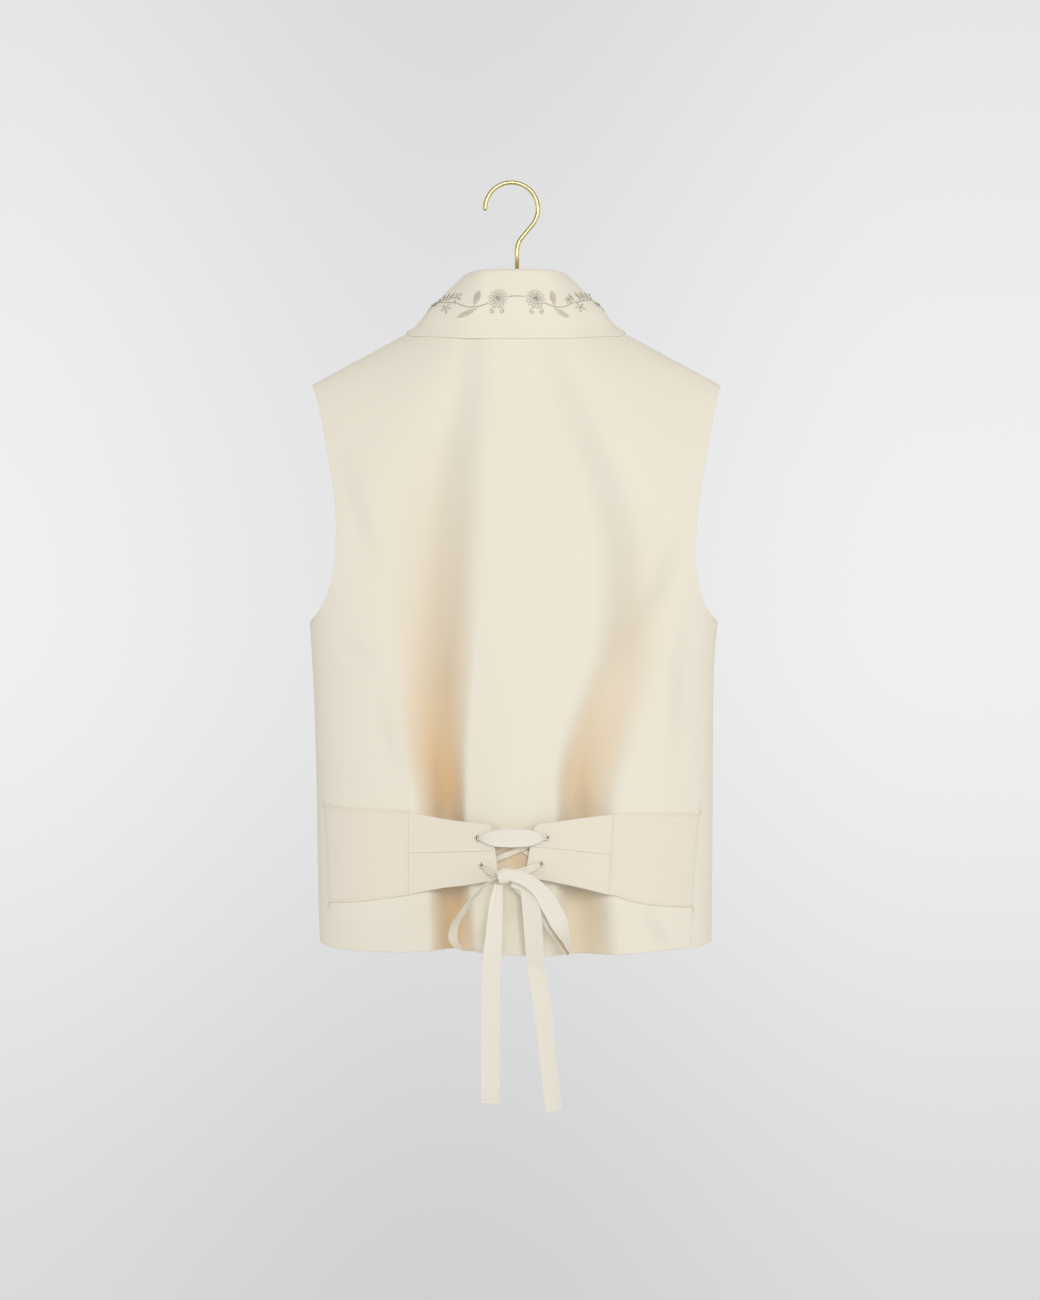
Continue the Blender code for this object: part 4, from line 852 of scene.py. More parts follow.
class NodeDesk:
    """Adds nodes to a tree and joins their sockets."""

    def __init__(self, tree: Tree) -> None:
        """Work on a tree."""
        self.tree = tree

    def fill(self, node: Node, inputs: dict) -> None:
        """Set a node's inputs, by name or number, to values or join them to sockets."""
        for key, value in inputs.items():
            if isinstance(value, Socket):
                self.tree.links.new(value, node.inputs[key])
            else:
                node.inputs[key].default_value = value

    def add(self, kind: str, inputs: dict | None = None, **settings: object) -> Node:
        """Add a node.

        Args:
            kind: The node's type.
            inputs: Values, or sockets to join, for its inputs by name or number.
            settings: The node's own properties.

        Returns:
            The new node.
        """
        node = self.tree.nodes.new(kind)
        for name, value in settings.items():
            setattr(node, name, value)
        self.fill(node, inputs or {})
        return node

    def sum(self, operation: str, *values: Socket | float) -> Socket:
        """The result of a sum on numbers or sockets."""
        return self.add("ShaderNodeMath", dict(enumerate(values)), operation=operation).outputs[0]

    def product(self, a: Socket, b: Socket | float) -> Socket:
        """Two numbers multiplied."""
        return self.sum("MULTIPLY", a, b)

    def tint(self, amount: Socket, plain: Socket | Colour, tinted: Socket | Colour) -> Socket:
        """A colour mixed from plain to tinted by an amount."""
        node = self.add("ShaderNodeMix", {"Factor": amount}, data_type="RGBA")
        numbers = [i for i, socket in enumerate(node.inputs) if socket.type == "RGBA"]
        ends = [end if isinstance(end, Socket) else (*end, 1.0) for end in (plain, tinted)]
        self.fill(node, dict(zip(numbers, ends)))
        return next(socket for socket in node.outputs if socket.type == "RGBA")

    def spread(self, value: Socket, low: float, high: float) -> Socket:
        """A number from 0 to 1 spread between two others."""
        node = self.add("ShaderNodeMapRange", {"Value": value, "To Min": low, "To Max": high})
        return node.outputs["Result"]

    def fade(self, value: Socket, start: float, end: float, most: float = 1.0) -> Socket:
        """A number that rises smoothly from 0 at a start to its most at an end."""
        node = self.add("ShaderNodeMapRange", {
            "Value": value, "From Min": start, "From Max": end, "To Max": most},
            interpolation_type="SMOOTHSTEP")
        return node.outputs["Result"]

    def noise(self, place: Socket, scale: Socket | float, detail: float = 2.0,
              roughness: float = 0.5) -> Socket:
        """The grey of a noise at a place."""
        node = self.add("ShaderNodeTexNoise", {
            "Vector": place, "Scale": scale, "Detail": detail, "Roughness": roughness})
        return node.outputs["Fac"]

    def drawn(self, place: Socket, scale: Colour) -> Socket:
        """A place scaled along its axes."""
        return self.add("ShaderNodeMapping", {"Vector": place, "Scale": scale}).outputs[0]

    def waves(self, along: Socket, each_metre: Socket) -> Socket:
        """Waves from -1 to 1 along a coordinate."""
        return self.sum("SINE", self.product(along, self.product(each_metre, 2.0 * math.pi)))

    def bump(self, height: Socket, distance: float, strength: float) -> Socket:
        """The surface's direction, moved by a height."""
        return self.add("ShaderNodeBump", {
            "Height": height, "Distance": distance, "Strength": strength}).outputs[0]

    def axes(self, place: Socket) -> Sockets:
        """The three coordinates of a place."""
        return self.add("ShaderNodeSeparateXYZ", {0: place}).outputs

    def place(self) -> Socket:
        """The place on the object, in metres."""
        return self.add("ShaderNodeTexCoord").outputs["Object"]

    def flat(self) -> Socket:
        """The place on the flat cloth, in metres."""
        return self.add("ShaderNodeUVMap", uv_map=CLOTH_MAP).outputs[0]

    def stored(self, name: str) -> Socket:
        """A number stored for each point."""
        return self.add("ShaderNodeAttribute", attribute_name=name).outputs["Fac"]


class ShaderGroup(ABC):
    """An effect that several materials use, built once as a node group."""

    name: str
    inputs: dict[str, float] = {}
    outputs: tuple[str, ...] = ()

    def tree(self) -> Tree:
        """The group's tree, built at its first use."""
        found = bpy.data.node_groups.get(self.name)
        if found is not None:
            return found
        tree = bpy.data.node_groups.new(self.name, "ShaderNodeTree")
        tree.interface.new_socket("Place", in_out="INPUT", socket_type="NodeSocketVector")
        for name, value in self.inputs.items():
            socket = tree.interface.new_socket(name, in_out="INPUT", socket_type="NodeSocketFloat")
            socket.default_value = value
        for name in self.outputs:
            tree.interface.new_socket(name, in_out="OUTPUT", socket_type="NodeSocketFloat")
        desk = NodeDesk(tree)
        desk.add("NodeGroupOutput", self.make(desk, desk.add("NodeGroupInput").outputs))
        return tree

    @abstractmethod
    def make(self, desk: NodeDesk, given: Sockets) -> dict:
        """Add the group's nodes and return a socket for each output's name."""

    def use(self, desk: NodeDesk, place: Socket, **values: float) -> Sockets:
        """Place the group in a material.

        Args:
            desk: The material's desk.
            place: The coordinates it reads.
            values: Its inputs, with a space written as an underscore.

        Returns:
            The group's outputs.
        """
        inputs = {name.replace("_", " ").capitalize(): value for name, value in values.items()}
        return desk.add("ShaderNodeGroup", {"Place": place, **inputs}, node_tree=self.tree()).outputs


class WeaveGroup(ShaderGroup):
    """Fine woven threads: a height that rises and falls with warp and weft, and uneven yarns."""

    name = "fine weave"
    inputs = {"Threads a metre": 1500.0, "Unevenness": 0.4}
    outputs = ("Height", "Yarn")
    YARN_SCALES = ((900.0, 14.0, 1.0), (14.0, 900.0, 1.0))
    YARN_ROUGHNESS = 0.6

    def make(self, desk: NodeDesk, given: Sockets) -> dict:
        """Warp and weft are two crossed waves, and stretched noise makes some yarns thicker."""
        axes = desk.axes(given["Place"])
        warp, weft = (desk.waves(axes[axis], given["Threads a metre"]) for axis in "XY")
        crossed = desk.spread(desk.product(warp, weft), 0.0, 1.0)
        yarns = [desk.noise(desk.drawn(given["Place"], scale), 1.0, roughness=self.YARN_ROUGHNESS)
                 for scale in self.YARN_SCALES]
        yarn = desk.product(desk.sum("ADD", *yarns), 0.5)
        uneven = desk.product(yarn, given["Unevenness"])
        return {"Height": desk.sum("ADD", crossed, uneven), "Yarn": yarn}


class NapGroup(ShaderGroup):
    """Soft brushed fibres and the broad, faint unevenness of hung cloth."""

    name = "soft nap"
    inputs = {"Fibre scale": 1400.0, "Patch scale": 14.0}
    outputs = ("Fibre", "Patch")

    def make(self, desk: NodeDesk, given: Sockets) -> dict:
        """One fine noise for fibres and one broad noise for patches."""
        return {"Fibre": desk.noise(given["Place"], given["Fibre scale"], detail=3.0),
                "Patch": desk.noise(given["Place"], given["Patch scale"])}


class RibGroup(ShaderGroup):
    """Fine ribs across a ribbon, and the firmer woven edge on each side of it."""

    name = "ribbon ribs"
    inputs = {"Ribs a metre": 1100.0, "Half width": RIBBON_HALF_WIDTH, "Edge width": 0.0009}
    outputs = ("Height", "Edge")
    EDGE_HEIGHT = 1.2

    def make(self, desk: NodeDesk, given: Sockets) -> dict:
        """Ribs wave along the ribbon, and the edge is a band at its half width."""
        axes = desk.axes(given["Place"])
        ribs = desk.spread(desk.waves(axes["Y"], given["Ribs a metre"]), 0.0, 1.0)
        in_from_edge = desk.sum("SUBTRACT", given["Half width"], desk.sum("ABSOLUTE", axes["X"]))
        edge = desk.sum("LESS_THAN", in_from_edge, given["Edge width"])
        return {"Height": desk.sum("ADD", ribs, desk.product(edge, self.EDGE_HEIGHT)), "Edge": edge}


class WearGroup(ShaderGroup):
    """Faint cloudiness and fine drawn lines on polished metal."""

    name = "metal cloud"
    inputs = {"Cloud scale": 90.0}
    outputs = ("Cloud", "Line")
    LINE_SCALE = (900.0, 900.0, 90.0)

    def make(self, desk: NodeDesk, given: Sockets) -> dict:
        """A soft noise for cloud and a stretched one for lines."""
        return {"Cloud": desk.noise(given["Place"], given["Cloud scale"], detail=3.0),
                "Line": desk.noise(desk.drawn(given["Place"], self.LINE_SCALE), 1.0)}


# ---------------------------------------------------------------- finishes
TOE_END = 0.04045
TOE_SLOPE = 12.92
CURVE_OFFSET = 0.055
CURVE_POWER = 2.4


def from_screen(red: int, green: int, blue: int) -> Colour:
    """A linear colour from the red, green and blue that a screen shows, 0 to 255."""
    def linear(level: int) -> float:
        """One channel by the usual screen curve."""
        share = level / 255.0
        if share <= TOE_END:
            return share / TOE_SLOPE
        return ((share + CURVE_OFFSET) / (1.0 + CURVE_OFFSET)) ** CURVE_POWER
    return (linear(red), linear(green), linear(blue))


def darker(colour: Colour, share: float) -> Colour:
    """A colour at a share of its brightness."""
    return tuple(channel * share for channel in colour)


@dataclass(frozen=True)
class Finish(ABC):
    """A material made of nodes, with its own colours and amounts."""

    name: str

    @abstractmethod
    def surface(self, desk: NodeDesk) -> dict:
        """Add the finish's nodes and return the Principled surface's inputs by name."""

    def material(self) -> Material:
        """The finish as a material, built at its first use."""
        found = bpy.data.materials.get(self.name)
        if found is not None:
            return found
        material = bpy.data.materials.new(self.name)
        material.use_nodes = True
        desk = NodeDesk(material.node_tree)
        desk.fill(desk.tree.nodes["Principled BSDF"], self.surface(desk))
        return material


@dataclass(frozen=True)
class WoolFinish(Finish):
    """Fine matt ivory wool: a weave, a soft nap, painted warm and neutral shade in folds, and sheen."""

    colour: Colour
    deep: Colour
    depth_share: float = 1.0
    threads: float = 1500.0
    hollow_share: float = 0.12
    worn: float = 0.93
    yarn_tone: Span = (-0.05, 0.35)
    patch_tone: Span = (-0.1, 0.4)
    uneven_share: float = 0.5
    roughness: float = 0.82
    roughness_swing: float = 0.06
    nap_height: float = 0.8
    weave_height: float = 0.00005
    weave_strength: float = 0.5
    sheen: float = 0.25
    sheen_roughness: float = 0.45
    sheen_tint: Colour = (1.0, 0.96, 0.88)
    specular: float = 0.25

    def surface(self, desk: NodeDesk) -> dict:
        """Weave and nap read the flat map and the place, and the painted shade the amounts stored on
        each point.
        """
        weave = WeaveGroup().use(desk, desk.flat(), threads_a_metre=self.threads)
        nap = NapGroup().use(desk, desk.place())
        # Painted shade: a warmer, darker tone in valleys, then neutral darkening in faint folds and
        # creases.
        tone = desk.tint(desk.product(desk.stored(PAINTED_FOLD_SHADE), self.depth_share), self.colour, self.deep)
        tone = desk.tint(desk.product(desk.stored(PAINTED_HOLLOW_SHADE), self.hollow_share), tone, BLACK)
        yarn = desk.spread(weave["Yarn"], *self.yarn_tone)
        patch = desk.spread(nap["Patch"], *self.patch_tone)
        uneven = desk.sum("MAXIMUM", desk.sum("ADD", yarn, patch), 0.0)
        height = desk.sum("ADD", weave["Height"], desk.product(nap["Fibre"], self.nap_height))
        least, most = self.roughness - self.roughness_swing, self.roughness + self.roughness_swing
        return {
            "Base Color": desk.tint(desk.product(uneven, self.uneven_share), tone,
                                    darker(self.colour, self.worn)),
            "Roughness": desk.spread(nap["Fibre"], least, most),
            "Normal": desk.bump(height, self.weave_height, self.weave_strength),
            "Sheen Weight": self.sheen, "Sheen Roughness": self.sheen_roughness,
            "Sheen Tint": (*self.sheen_tint, 1.0), "Specular IOR Level": self.specular}


@dataclass(frozen=True)
class RibbonFinish(Finish):
    """Soft ribbed ribbon with a low satin gloss and woven edges."""

    colour: Colour
    edge: Colour
    edge_share: float = 0.7
    worn: float = 0.94
    worn_tone: Span = (-0.2, 0.6)
    fibre_scale: float = 2600.0
    patch_scale: float = 45.0
    roughness: Span = (0.42, 0.6)
    rib_height: float = 0.00004
    rib_strength: float = 0.5
    sheen: float = 0.05
    specular: float = 0.2

    def surface(self, desk: NodeDesk) -> dict:
        """Ribs and edges read the flat map."""
        flat = desk.flat()
        ribs = RibGroup().use(desk, flat)
        nap = NapGroup().use(desk, flat, fibre_scale=self.fibre_scale, patch_scale=self.patch_scale)
        edged = desk.tint(desk.product(ribs["Edge"], self.edge_share), self.colour, self.edge)
        return {
            "Base Color": desk.tint(desk.spread(nap["Patch"], *self.worn_tone), edged,
                                    darker(self.colour, self.worn)),
            "Roughness": desk.spread(nap["Fibre"], *self.roughness),
            "Normal": desk.bump(ribs["Height"], self.rib_height, self.rib_strength),
            "Sheen Weight": self.sheen, "Specular IOR Level": self.specular}


@dataclass(frozen=True)
class ThreadFinish(Finish):
    """Twisted thread: a base tone, darker between its turns, with a silky gloss."""

    colour: Colour
    shadow: Colour
    roughness: float = 0.45
    metallic: float = 0.0
    smoother: float = 0.1
    rougher: float = 0.15
    fibre_scale: float = 2200.0
    patch_scale: float = 260.0
    shadow_most: float = 1.6
    turn_height: float = 0.00004
    turn_strength: float = 0.6
    sheen: float = 0.2

    def surface(self, desk: NodeDesk) -> dict:
        """Fine noise stands for the thread's turns."""
        nap = NapGroup().use(desk, desk.place(), fibre_scale=self.fibre_scale,
                             patch_scale=self.patch_scale)
        turns = desk.spread(desk.product(nap["Fibre"], nap["Patch"]), 0.0, self.shadow_most)
        return {
            "Base Color": desk.tint(turns, self.colour, self.shadow),
            "Roughness": desk.spread(nap["Patch"], self.roughness - self.smoother,
                                     self.roughness + self.rougher),
            "Normal": desk.bump(nap["Fibre"], self.turn_height, self.turn_strength),
            "Metallic": self.metallic, "Sheen Weight": self.sheen}


@dataclass(frozen=True)
class MetalFinish(Finish):
    """Polished or plated metal with faint cloud and drawn lines."""

    colour: Colour
    cloud: Colour
    roughness: float = 0.2
    smoother: float = 0.04
    rougher: float = 0.06
    cloud_tone: Span = (-0.2, 0.8)
    line_height: float = 0.000001
    line_strength: float = 0.05
    glint: Colour = (0.3, 0.24, 0.1)

    def surface(self, desk: NodeDesk) -> dict:
        """Cloud changes the tone and the gloss a little, and lines the normal."""
        wear = WearGroup().use(desk, desk.place())
        clouded = desk.spread(wear["Cloud"], *self.cloud_tone)
        return {
            "Base Color": desk.tint(clouded, self.colour, self.cloud),
            "Roughness": desk.spread(wear["Cloud"], self.roughness - self.smoother,
                                     self.roughness + self.rougher),
            "Normal": desk.bump(wear["Line"], self.line_height, self.line_strength),
            "Metallic": 1.0, "Specular Tint": (*self.glint, 1.0)}


@dataclass(frozen=True)
class BeadFinish(Finish):
    """Small smoky beads with a hard gloss."""

    colour: Colour
    glint: Colour
    fibre_scale: float = 420.0
    patch_scale: float = 300.0
    roughness: Span = (0.1, 0.25)
    coat: float = 0.6

    def surface(self, desk: NodeDesk) -> dict:
        """Each bead's tone differs by where it sits."""
        nap = NapGroup().use(desk, desk.place(), fibre_scale=self.fibre_scale,
                             patch_scale=self.patch_scale)
        return {"Base Color": desk.tint(nap["Patch"], self.colour, self.glint),
                "Roughness": desk.spread(nap["Fibre"], *self.roughness), "Coat Weight": self.coat}


@dataclass(frozen=True)
class PaperFinish(Finish):
    """A pale studio sweep that glows with painted light, brightest half way up, with painted shade
    behind the garment; lengths are in metres.
    """

    middle: Colour
    far: Colour
    height: float = -0.40
    reach_up: float = 1.76
    reach_down: float = 1.1
    centre_x: float = -0.09
    reach_across: float = 0.68
    behind_share: float = 0.105

    def surface(self, desk: NodeDesk) -> dict:
        """The sweep glows with its own painted light, so that lamps cast no shadow on it; a painted
        shade darkens it behind the garment.
        """
        axes = desk.axes(desk.place())
        # Painted light, falling off above and below the brightest height.
        falls = [desk.fade(axes["Z"], self.height, self.height + reach)
                 for reach in (self.reach_up, -self.reach_down)]
        colour = desk.tint(desk.sum("ADD", *falls), self.middle, self.far)
        # Painted shade behind the garment, deepest at its middle.
        across = desk.sum("ABSOLUTE", desk.sum("SUBTRACT", axes["X"], self.centre_x))
        behind = desk.fade(across, self.reach_across, 0.0, self.behind_share)
        return {
            "Emission Color": desk.tint(behind, colour, BLACK), "Emission Strength": 1.0,
            "Base Color": (*BLACK, 1.0), "Specular IOR Level": 0.0, "Roughness": 1.0}


# Each wool's second colour is its painted shade in valleys; only the body's wool uses it.
IVORY = WoolFinish("ivory wool", from_screen(241, 234, 217), from_screen(223, 185, 129))
COLLAR_IVORY = WoolFinish(
    "collar wool", from_screen(241, 234, 217), from_screen(228, 193, 142), depth_share=0.0)
BELT_IVORY = WoolFinish(
    "belt wool", from_screen(239, 230, 213), from_screen(228, 193, 142), depth_share=0.0)
COVERED = WoolFinish("button cover", from_screen(236, 229, 213), from_screen(226, 192, 142),
                     depth_share=0.0, threads=1300.0)
RIBBON = RibbonFinish("lacing ribbon", from_screen(239, 233, 218), from_screen(242, 237, 225))
SEWING_THREAD = ThreadFinish("sewing thread", from_screen(226, 214, 190), from_screen(196, 180, 152))
SILVER_THREAD = ThreadFinish("silver thread", from_screen(232, 223, 210), from_screen(196, 186, 171),
                             metallic=0.05)
STEEL_THREAD = ThreadFinish("steel thread", from_screen(202, 191, 176), from_screen(160, 150, 137),
                            roughness=0.42, metallic=0.08)
GOLD_BRASS = MetalFinish("gold brass", from_screen(222, 207, 150), from_screen(212, 194, 134))
PALE_PLATE = MetalFinish("pale plate", from_screen(232, 222, 202), from_screen(206, 194, 168),
                         roughness=0.34)
SMOKE_BEADS = BeadFinish("smoke beads", from_screen(132, 124, 116), from_screen(184, 176, 168))
PAPER = PaperFinish("studio paper", from_screen(240, 240, 240), from_screen(218, 218, 219))


# ---------------------------------------------------------------- the body's panels
@dataclass
class Body:
    """The back and the two fronts, cut as three panels that meet at side and shoulder seams."""

    form: BodyForm
    wool: WoolFinish = IVORY
    back_cut: tuple[float, float] = (0.530, 0.625)
    back_cut_area: float = 0.262
    front_cut: tuple[float, float] = (0.300, 0.680)
    front_cut_area: float = 0.146

    @staticmethod
    def _open_seam(row: list[ClothPoint], gap: float, ends: Sequence[tuple[int, int]]) -> None:
        """Draw the ends of a row in by half a seam's gap.

        Args:
            row: Points of the row.
            gap: How far each end is drawn in.
            ends: Each end's place in the row with the place next to it.
        """
        for end, inner in ends:
            step = (row[inner].place - row[end].place).normalized() * gap
            row[end] = ClothPoint(row[end].place + step, row[end].out)

    def back_grid(self) -> Grid:
        """Rows of the back from the hem to the neckline and shoulder seams."""
        form = self.form
        ends = ((0, 1), (-1, -2))
        rows = []
        for z in finer((*LOWER_ROWS, UNDERARM_Z), ROW_PARTS)[:-1]:
            right, left = form.seam_angles(z)
            features = form.valley_angles(z, form.x_at(right, z), form.x_at(left, z))
            features[0], features[-1] = right, left
            places = [form.x_at(angle, z) for angle in form.strip_angles(features, z, COLUMN_PARTS)]
            rows.append([form.cloth_point(x, form.lifted_z(x, z), Side.BACK) for x in places])
            self._open_seam(rows[-1], 0.5 * SIDE_SEAM_GAP, ends)
        for rise in finer(BACK_RISES, ROW_PARTS):
            middle_z = blend(UNDERARM_Z, NECK_Z - SEAM_DROP_AT_NECK, rise)
            edges = [form.edge_place(lambda z: hand.value * form.armhole.read(z, hand.column),
                                     form.back_top_z, rise) for hand in (Hand.RIGHT, Hand.LEFT)]
            features = form.valley_angles(middle_z, *edges)
            row = []
            for angle in form.strip_angles(features, middle_z, COLUMN_PARTS):
                x = form.x_at(angle, middle_z)
                row.append(form.cloth_point(x, blend(UNDERARM_Z, form.back_top_z(x), rise), Side.BACK))
            if rise == 0.0:
                self._open_seam(row, 0.5 * SIDE_SEAM_GAP, ends)
            rows.append(row)
        return rows

    def _front_point(self, hand: Hand, angle: float, row_z: float, z_of: Callable[[float], float],
                     lie: Lie) -> ClothPoint:
        """A point of a front at an angle past its side; before the side it is on the back's half."""
        turn = math.cos(angle)
        side_hand = hand if turn >= 0.0 else Hand(-hand.value)
        width = self.form.rings.read(row_z, side_hand.column)
        x = hand.value * math.copysign(abs(turn) ** (2.0 / RING_POWER), turn) * width
        return self.form.cloth_point(x, z_of(x), Side.BACK if angle < 0.0 else Side.FRONT, lie)

    def _front_angle(self, hand: Hand, x: float, row_z: float) -> float:
        """Angle from a front's own side to a place across it, counted towards the other side."""
        side_hand = hand if x >= 0.0 else Hand(-hand.value)
        width = self.form.rings.read(row_z, side_hand.column)
        return math.acos(math.copysign((abs(x) / width) ** (0.5 * RING_POWER), x))

    def _front_columns(self, hand: Hand, start: float, inner_x: float, row_z: float) -> list[float]:
        """Angles of a front's columns: round the side by angle, then across by width."""
        middle = self._front_angle(hand, FRONT_MIDDLE_X, row_z)
        angles = finer((start, middle), FRONT_SIDE_COLUMNS * COLUMN_PARTS)
        for share in finer(FRONT_INNER_SHARES, COLUMN_PARTS)[1:]:
            angles.append(self._front_angle(hand, blend(FRONT_MIDDLE_X, inner_x, share), row_z))
        return angles

    def front_grid(self, hand: Hand) -> Grid:
        """Rows of a front from the hem, over the shoulder ridge, down to the seam on the back."""
        form = self.form
        lie = Lie.UNDER_LAP if hand is Hand.LEFT else Lie.FOLDED
        rows = []
        low_rows = finer((*LOWER_ROWS, UNDERARM_Z), ROW_PARTS)[:-1]
        for z in low_rows:
            start = -math.radians(form.side_seam.read(z, hand.column))
            angles = self._front_columns(hand, start, form.front_edge.read(z, "x"), z)
            rows.append([self._front_point(hand, angle, z, lambda x: form.lifted_z(x, z), lie)
                         for angle in angles])
        for rise in finer(FRONT_RISES, ROW_PARTS):
            row_z = blend(UNDERARM_Z, NECK_Z, rise)
            outer_x = form.edge_place(lambda z: form.armhole.read(z, hand.column), form.ridge_z, rise)
            inner_x = form.edge_place(lambda z: form.front_edge.read(z, "x"), form.ridge_z, rise)
            start = self._front_angle(hand, outer_x, row_z)
            angles = self._front_columns(hand, start, inner_x, row_z)
            rows.append([self._front_point(
                hand, angle, row_z, lambda x: blend(UNDERARM_Z, form.ridge_z(x), rise), lie)
                for angle in angles])
        for row in rows[:len(low_rows) + 1]:
            self._open_seam(row, 0.5 * SIDE_SEAM_GAP, ((0, 1),))
        return rows + self._over_shoulder(rows[-1], hand)

    def _over_shoulder(self, ridge_row: list[ClothPoint], hand: Hand) -> Grid:
        """Rows from the shoulder ridge down to the seam behind it."""
        form = self.form
        tip_x = abs(ridge_row[0].place.x)
        rows = []
        for turn in finer(RIDGE_TURNS, ROW_PARTS)[1:]:
            tip_z = form.ridge_z(tip_x) - SEAM_DROP_AT_TIP * turn
            narrowing = 1.0 - form.armhole.read(tip_z, hand.column) / tip_x
            row = []
            for point in ridge_row:
                x = point.place.x
                x *= 1.0 - narrowing * ease(NECK_X, tip_x, abs(x))
                drop = (form.shoulder_seam_drop(x) - 0.5 * SEAM_GAP) * turn
                row.append(form.cloth_point(x, form.ridge_z(x) - drop, Side.BACK))
            rows.append(row)
        return rows

    def build(self) -> list[Piece]:
        """Make the three panels.

        Returns:
            The back, the left front and the right front.
        """
        wool = self.wool.material()
        low_rows = len(LOWER_ROWS) * ROW_PARTS
        grid = self.back_grid()
        last = len(grid) - 1
        neck = [abs(point.place.x) < NECK_X for point in grid[last]]
        back = Wall("back_cloth", grid, CLOTH, lambda row, column: 0 < row <= low_rows or (
            row == last and not neck[column])).build(wool, self.form)
        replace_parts(back, "back_panel")
        pieces = [back]
        for hand in Hand:
            name = f"front_{hand.column}"
            grid = self.front_grid(hand)
            front = Wall(f"{name}_cloth", grid, CLOTH, lambda row, column: (
                0 < row <= low_rows and column == 0) or row == len(grid) - 1).build(wool, self.form)
            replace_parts(front, name)
            pieces.append(front)
        return pieces


# ---------------------------------------------------------------- collar
COLLAR_HALF = Table(
    "station seam_x seam_z roll_x roll_y roll_z edge_x edge_y edge_z",
    (0, 0, -134.7, 0, -43, -91.5, 0, -54, -159.5), (1, 30, -133.3, 28, -40.5, -91.7, 42, -49, -158.4),
    (2, 52, -130.6, 43, -29, -92, 84, -33, -154), (3, 63, -128.2, 50, -12.5, -93.6, 107.5, -17, -149.8),
    (4, 63.2, -125, 53, 4, -98.6, 110.5, 1, -145.6), (5, 60.6, -138, 55, 19, -113, 112, 18, -156),
    (6, 54.4, -165, 51.5, 35, -142, 111, 35, -182), (7, 40.8, -215, 39, 53, -200, 105, 50, -222),
    (8, 25, -270, 22.5, 61.5, -262, 80, 60, -272), (9, 11.2, -313, 9.5, 65, -309, 36, 66, -318),
    (10, 4, -335, 2.5, 65, -334, 8, 68, -341),
)


@dataclass
class Collar:
    """The turned-down collar: a stand up from the neck seam, a roll, and a fall over the shoulders."""

    form: BodyForm
    wool: WoolFinish = COLLAR_IVORY
    steps_per_station: int = 8
    stand_cells: int = 8
    fall_cells: int = 16
    cloth: float = 1.5
    clearance: float = 1.8
    laid_from: float = 0.8
    laid_clearance: float = 1.1
    last_back_station: float = 3.5
    direction_step: float = 0.2
    widest_roll: float = 4.6
    roll_to_fall: float = 0.45
    roll_to_stand: float = 0.8
    least_roll: float = 1.5
    stand_bend: float = 0.55
    stand_pull: float = 0.8
    fall_bend: float = 0.35
    fall_spring: float = 0.05
    fall_cell_growth: float = 1.25
    cut: tuple[float, float] = (0.110, 0.760)
    cut_area: float = 0.058
    stations: Table = COLLAR_HALF

    def _line(self, line: str, station: float) -> Vector:
        """A point of the roll or the edge at a station."""
        return Vector([self.stations.read(station, f"{line}_{axis}") for axis in "xyz"])

    def section(self, station: float) -> list[Vector]:
        """Middle of the collar's cloth at a station: up the stand, over the roll, down the fall."""
        last = self.stations.keys[-1]
        side = Side.BACK if station < self.last_back_station else Side.FRONT
        seam_x = self.stations.read(station, "seam_x")
        seam_z = min(self.stations.read(station, "seam_z"), self.form.ridge_z(seam_x))
        seam, leave = self.form.cloth_point(seam_x, seam_z, side)
        seam = seam - leave * 0.5 * CLOTH
        roll, edge = self._line("roll", station), self._line("edge", station)
        along = self._line("roll", min(last, station + self.direction_step))
        along = (along - self._line("roll", max(0.0, station - self.direction_step))).normalized()
        across = edge - seam
        across.z = 0.0
        across = (across - along * across.dot(along)).normalized()
        seam = seam + (roll - seam).normalized() * (SEAM_GAP + 0.5 * COLLAR_CLOTH)
        by_stand = self.roll_to_stand * (roll - seam).length + self.least_roll
        span = min(self.widest_roll, self.roll_to_fall * (roll - edge).length, by_stand)
        behind = roll - across * span * self.stand_pull
        points = []
        for i in range(self.stand_cells + 1):
            t = i / self.stand_cells
            points.append(bezier(seam, blend(seam, roll, self.stand_bend), behind, roll, t))
        shoulder = roll + across * span
        bend = blend(roll, edge, self.fall_bend) + across * span * self.fall_spring
        for i in range(1, self.fall_cells + 1):
            t = (i / self.fall_cells) ** self.fall_cell_growth
            clearance = blend(self.clearance * min(1.0, 2.0 * t), self.laid_clearance,
                              ease(self.laid_from, 1.0, t))
            place = self.form.keep_clear(bezier(roll, shoulder, bend, edge, t), clearance)
            points.append(self.form.lay_on(place, clearance, ease(self.laid_from, 1.0, t)))
        return points

    def grid(self) -> Grid:
        """Outer points of the collar from the left front's end round the neck to the right's."""
        count = self.stations.keys[-1] * self.steps_per_station
        half = [self.section(i / self.steps_per_station) for i in range(count + 1)]
        mirrored = [[Vector((-p.x, p.y, p.z)) for p in section] for section in half[:0:-1]]
        middle = mirrored + half
        rows, columns = len(middle), len(middle[0])
        grid = []
        for i in range(rows):
            row = []
            for j in range(columns):
                along = middle[min(i + 1, rows - 1)][j] - middle[max(i - 1, 0)][j]
                down = middle[i][min(j + 1, columns - 1)] - middle[i][max(j - 1, 0)]
                out = down.cross(along).normalized()
                row.append(ClothPoint(middle[i][j] + out * 0.5 * self.cloth, out))
            grid.append(row)
        return grid

    def build(self) -> Piece:
        """Make the collar."""
        piece = Wall("collar_cloth", self.grid(), self.cloth).build(self.wool.material())
        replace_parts(piece, "collar")
        return piece


# ---------------------------------------------------------------- half belt
@dataclass(frozen=True)
class BeltHalf:
    """One hand's half of the belt: the patch's edges, the tab's edges, and the tab's two ends."""

    patch: Table
    tab: Table
    root_top: float
    root_bottom: float
    end_top: float
    end_bottom: float


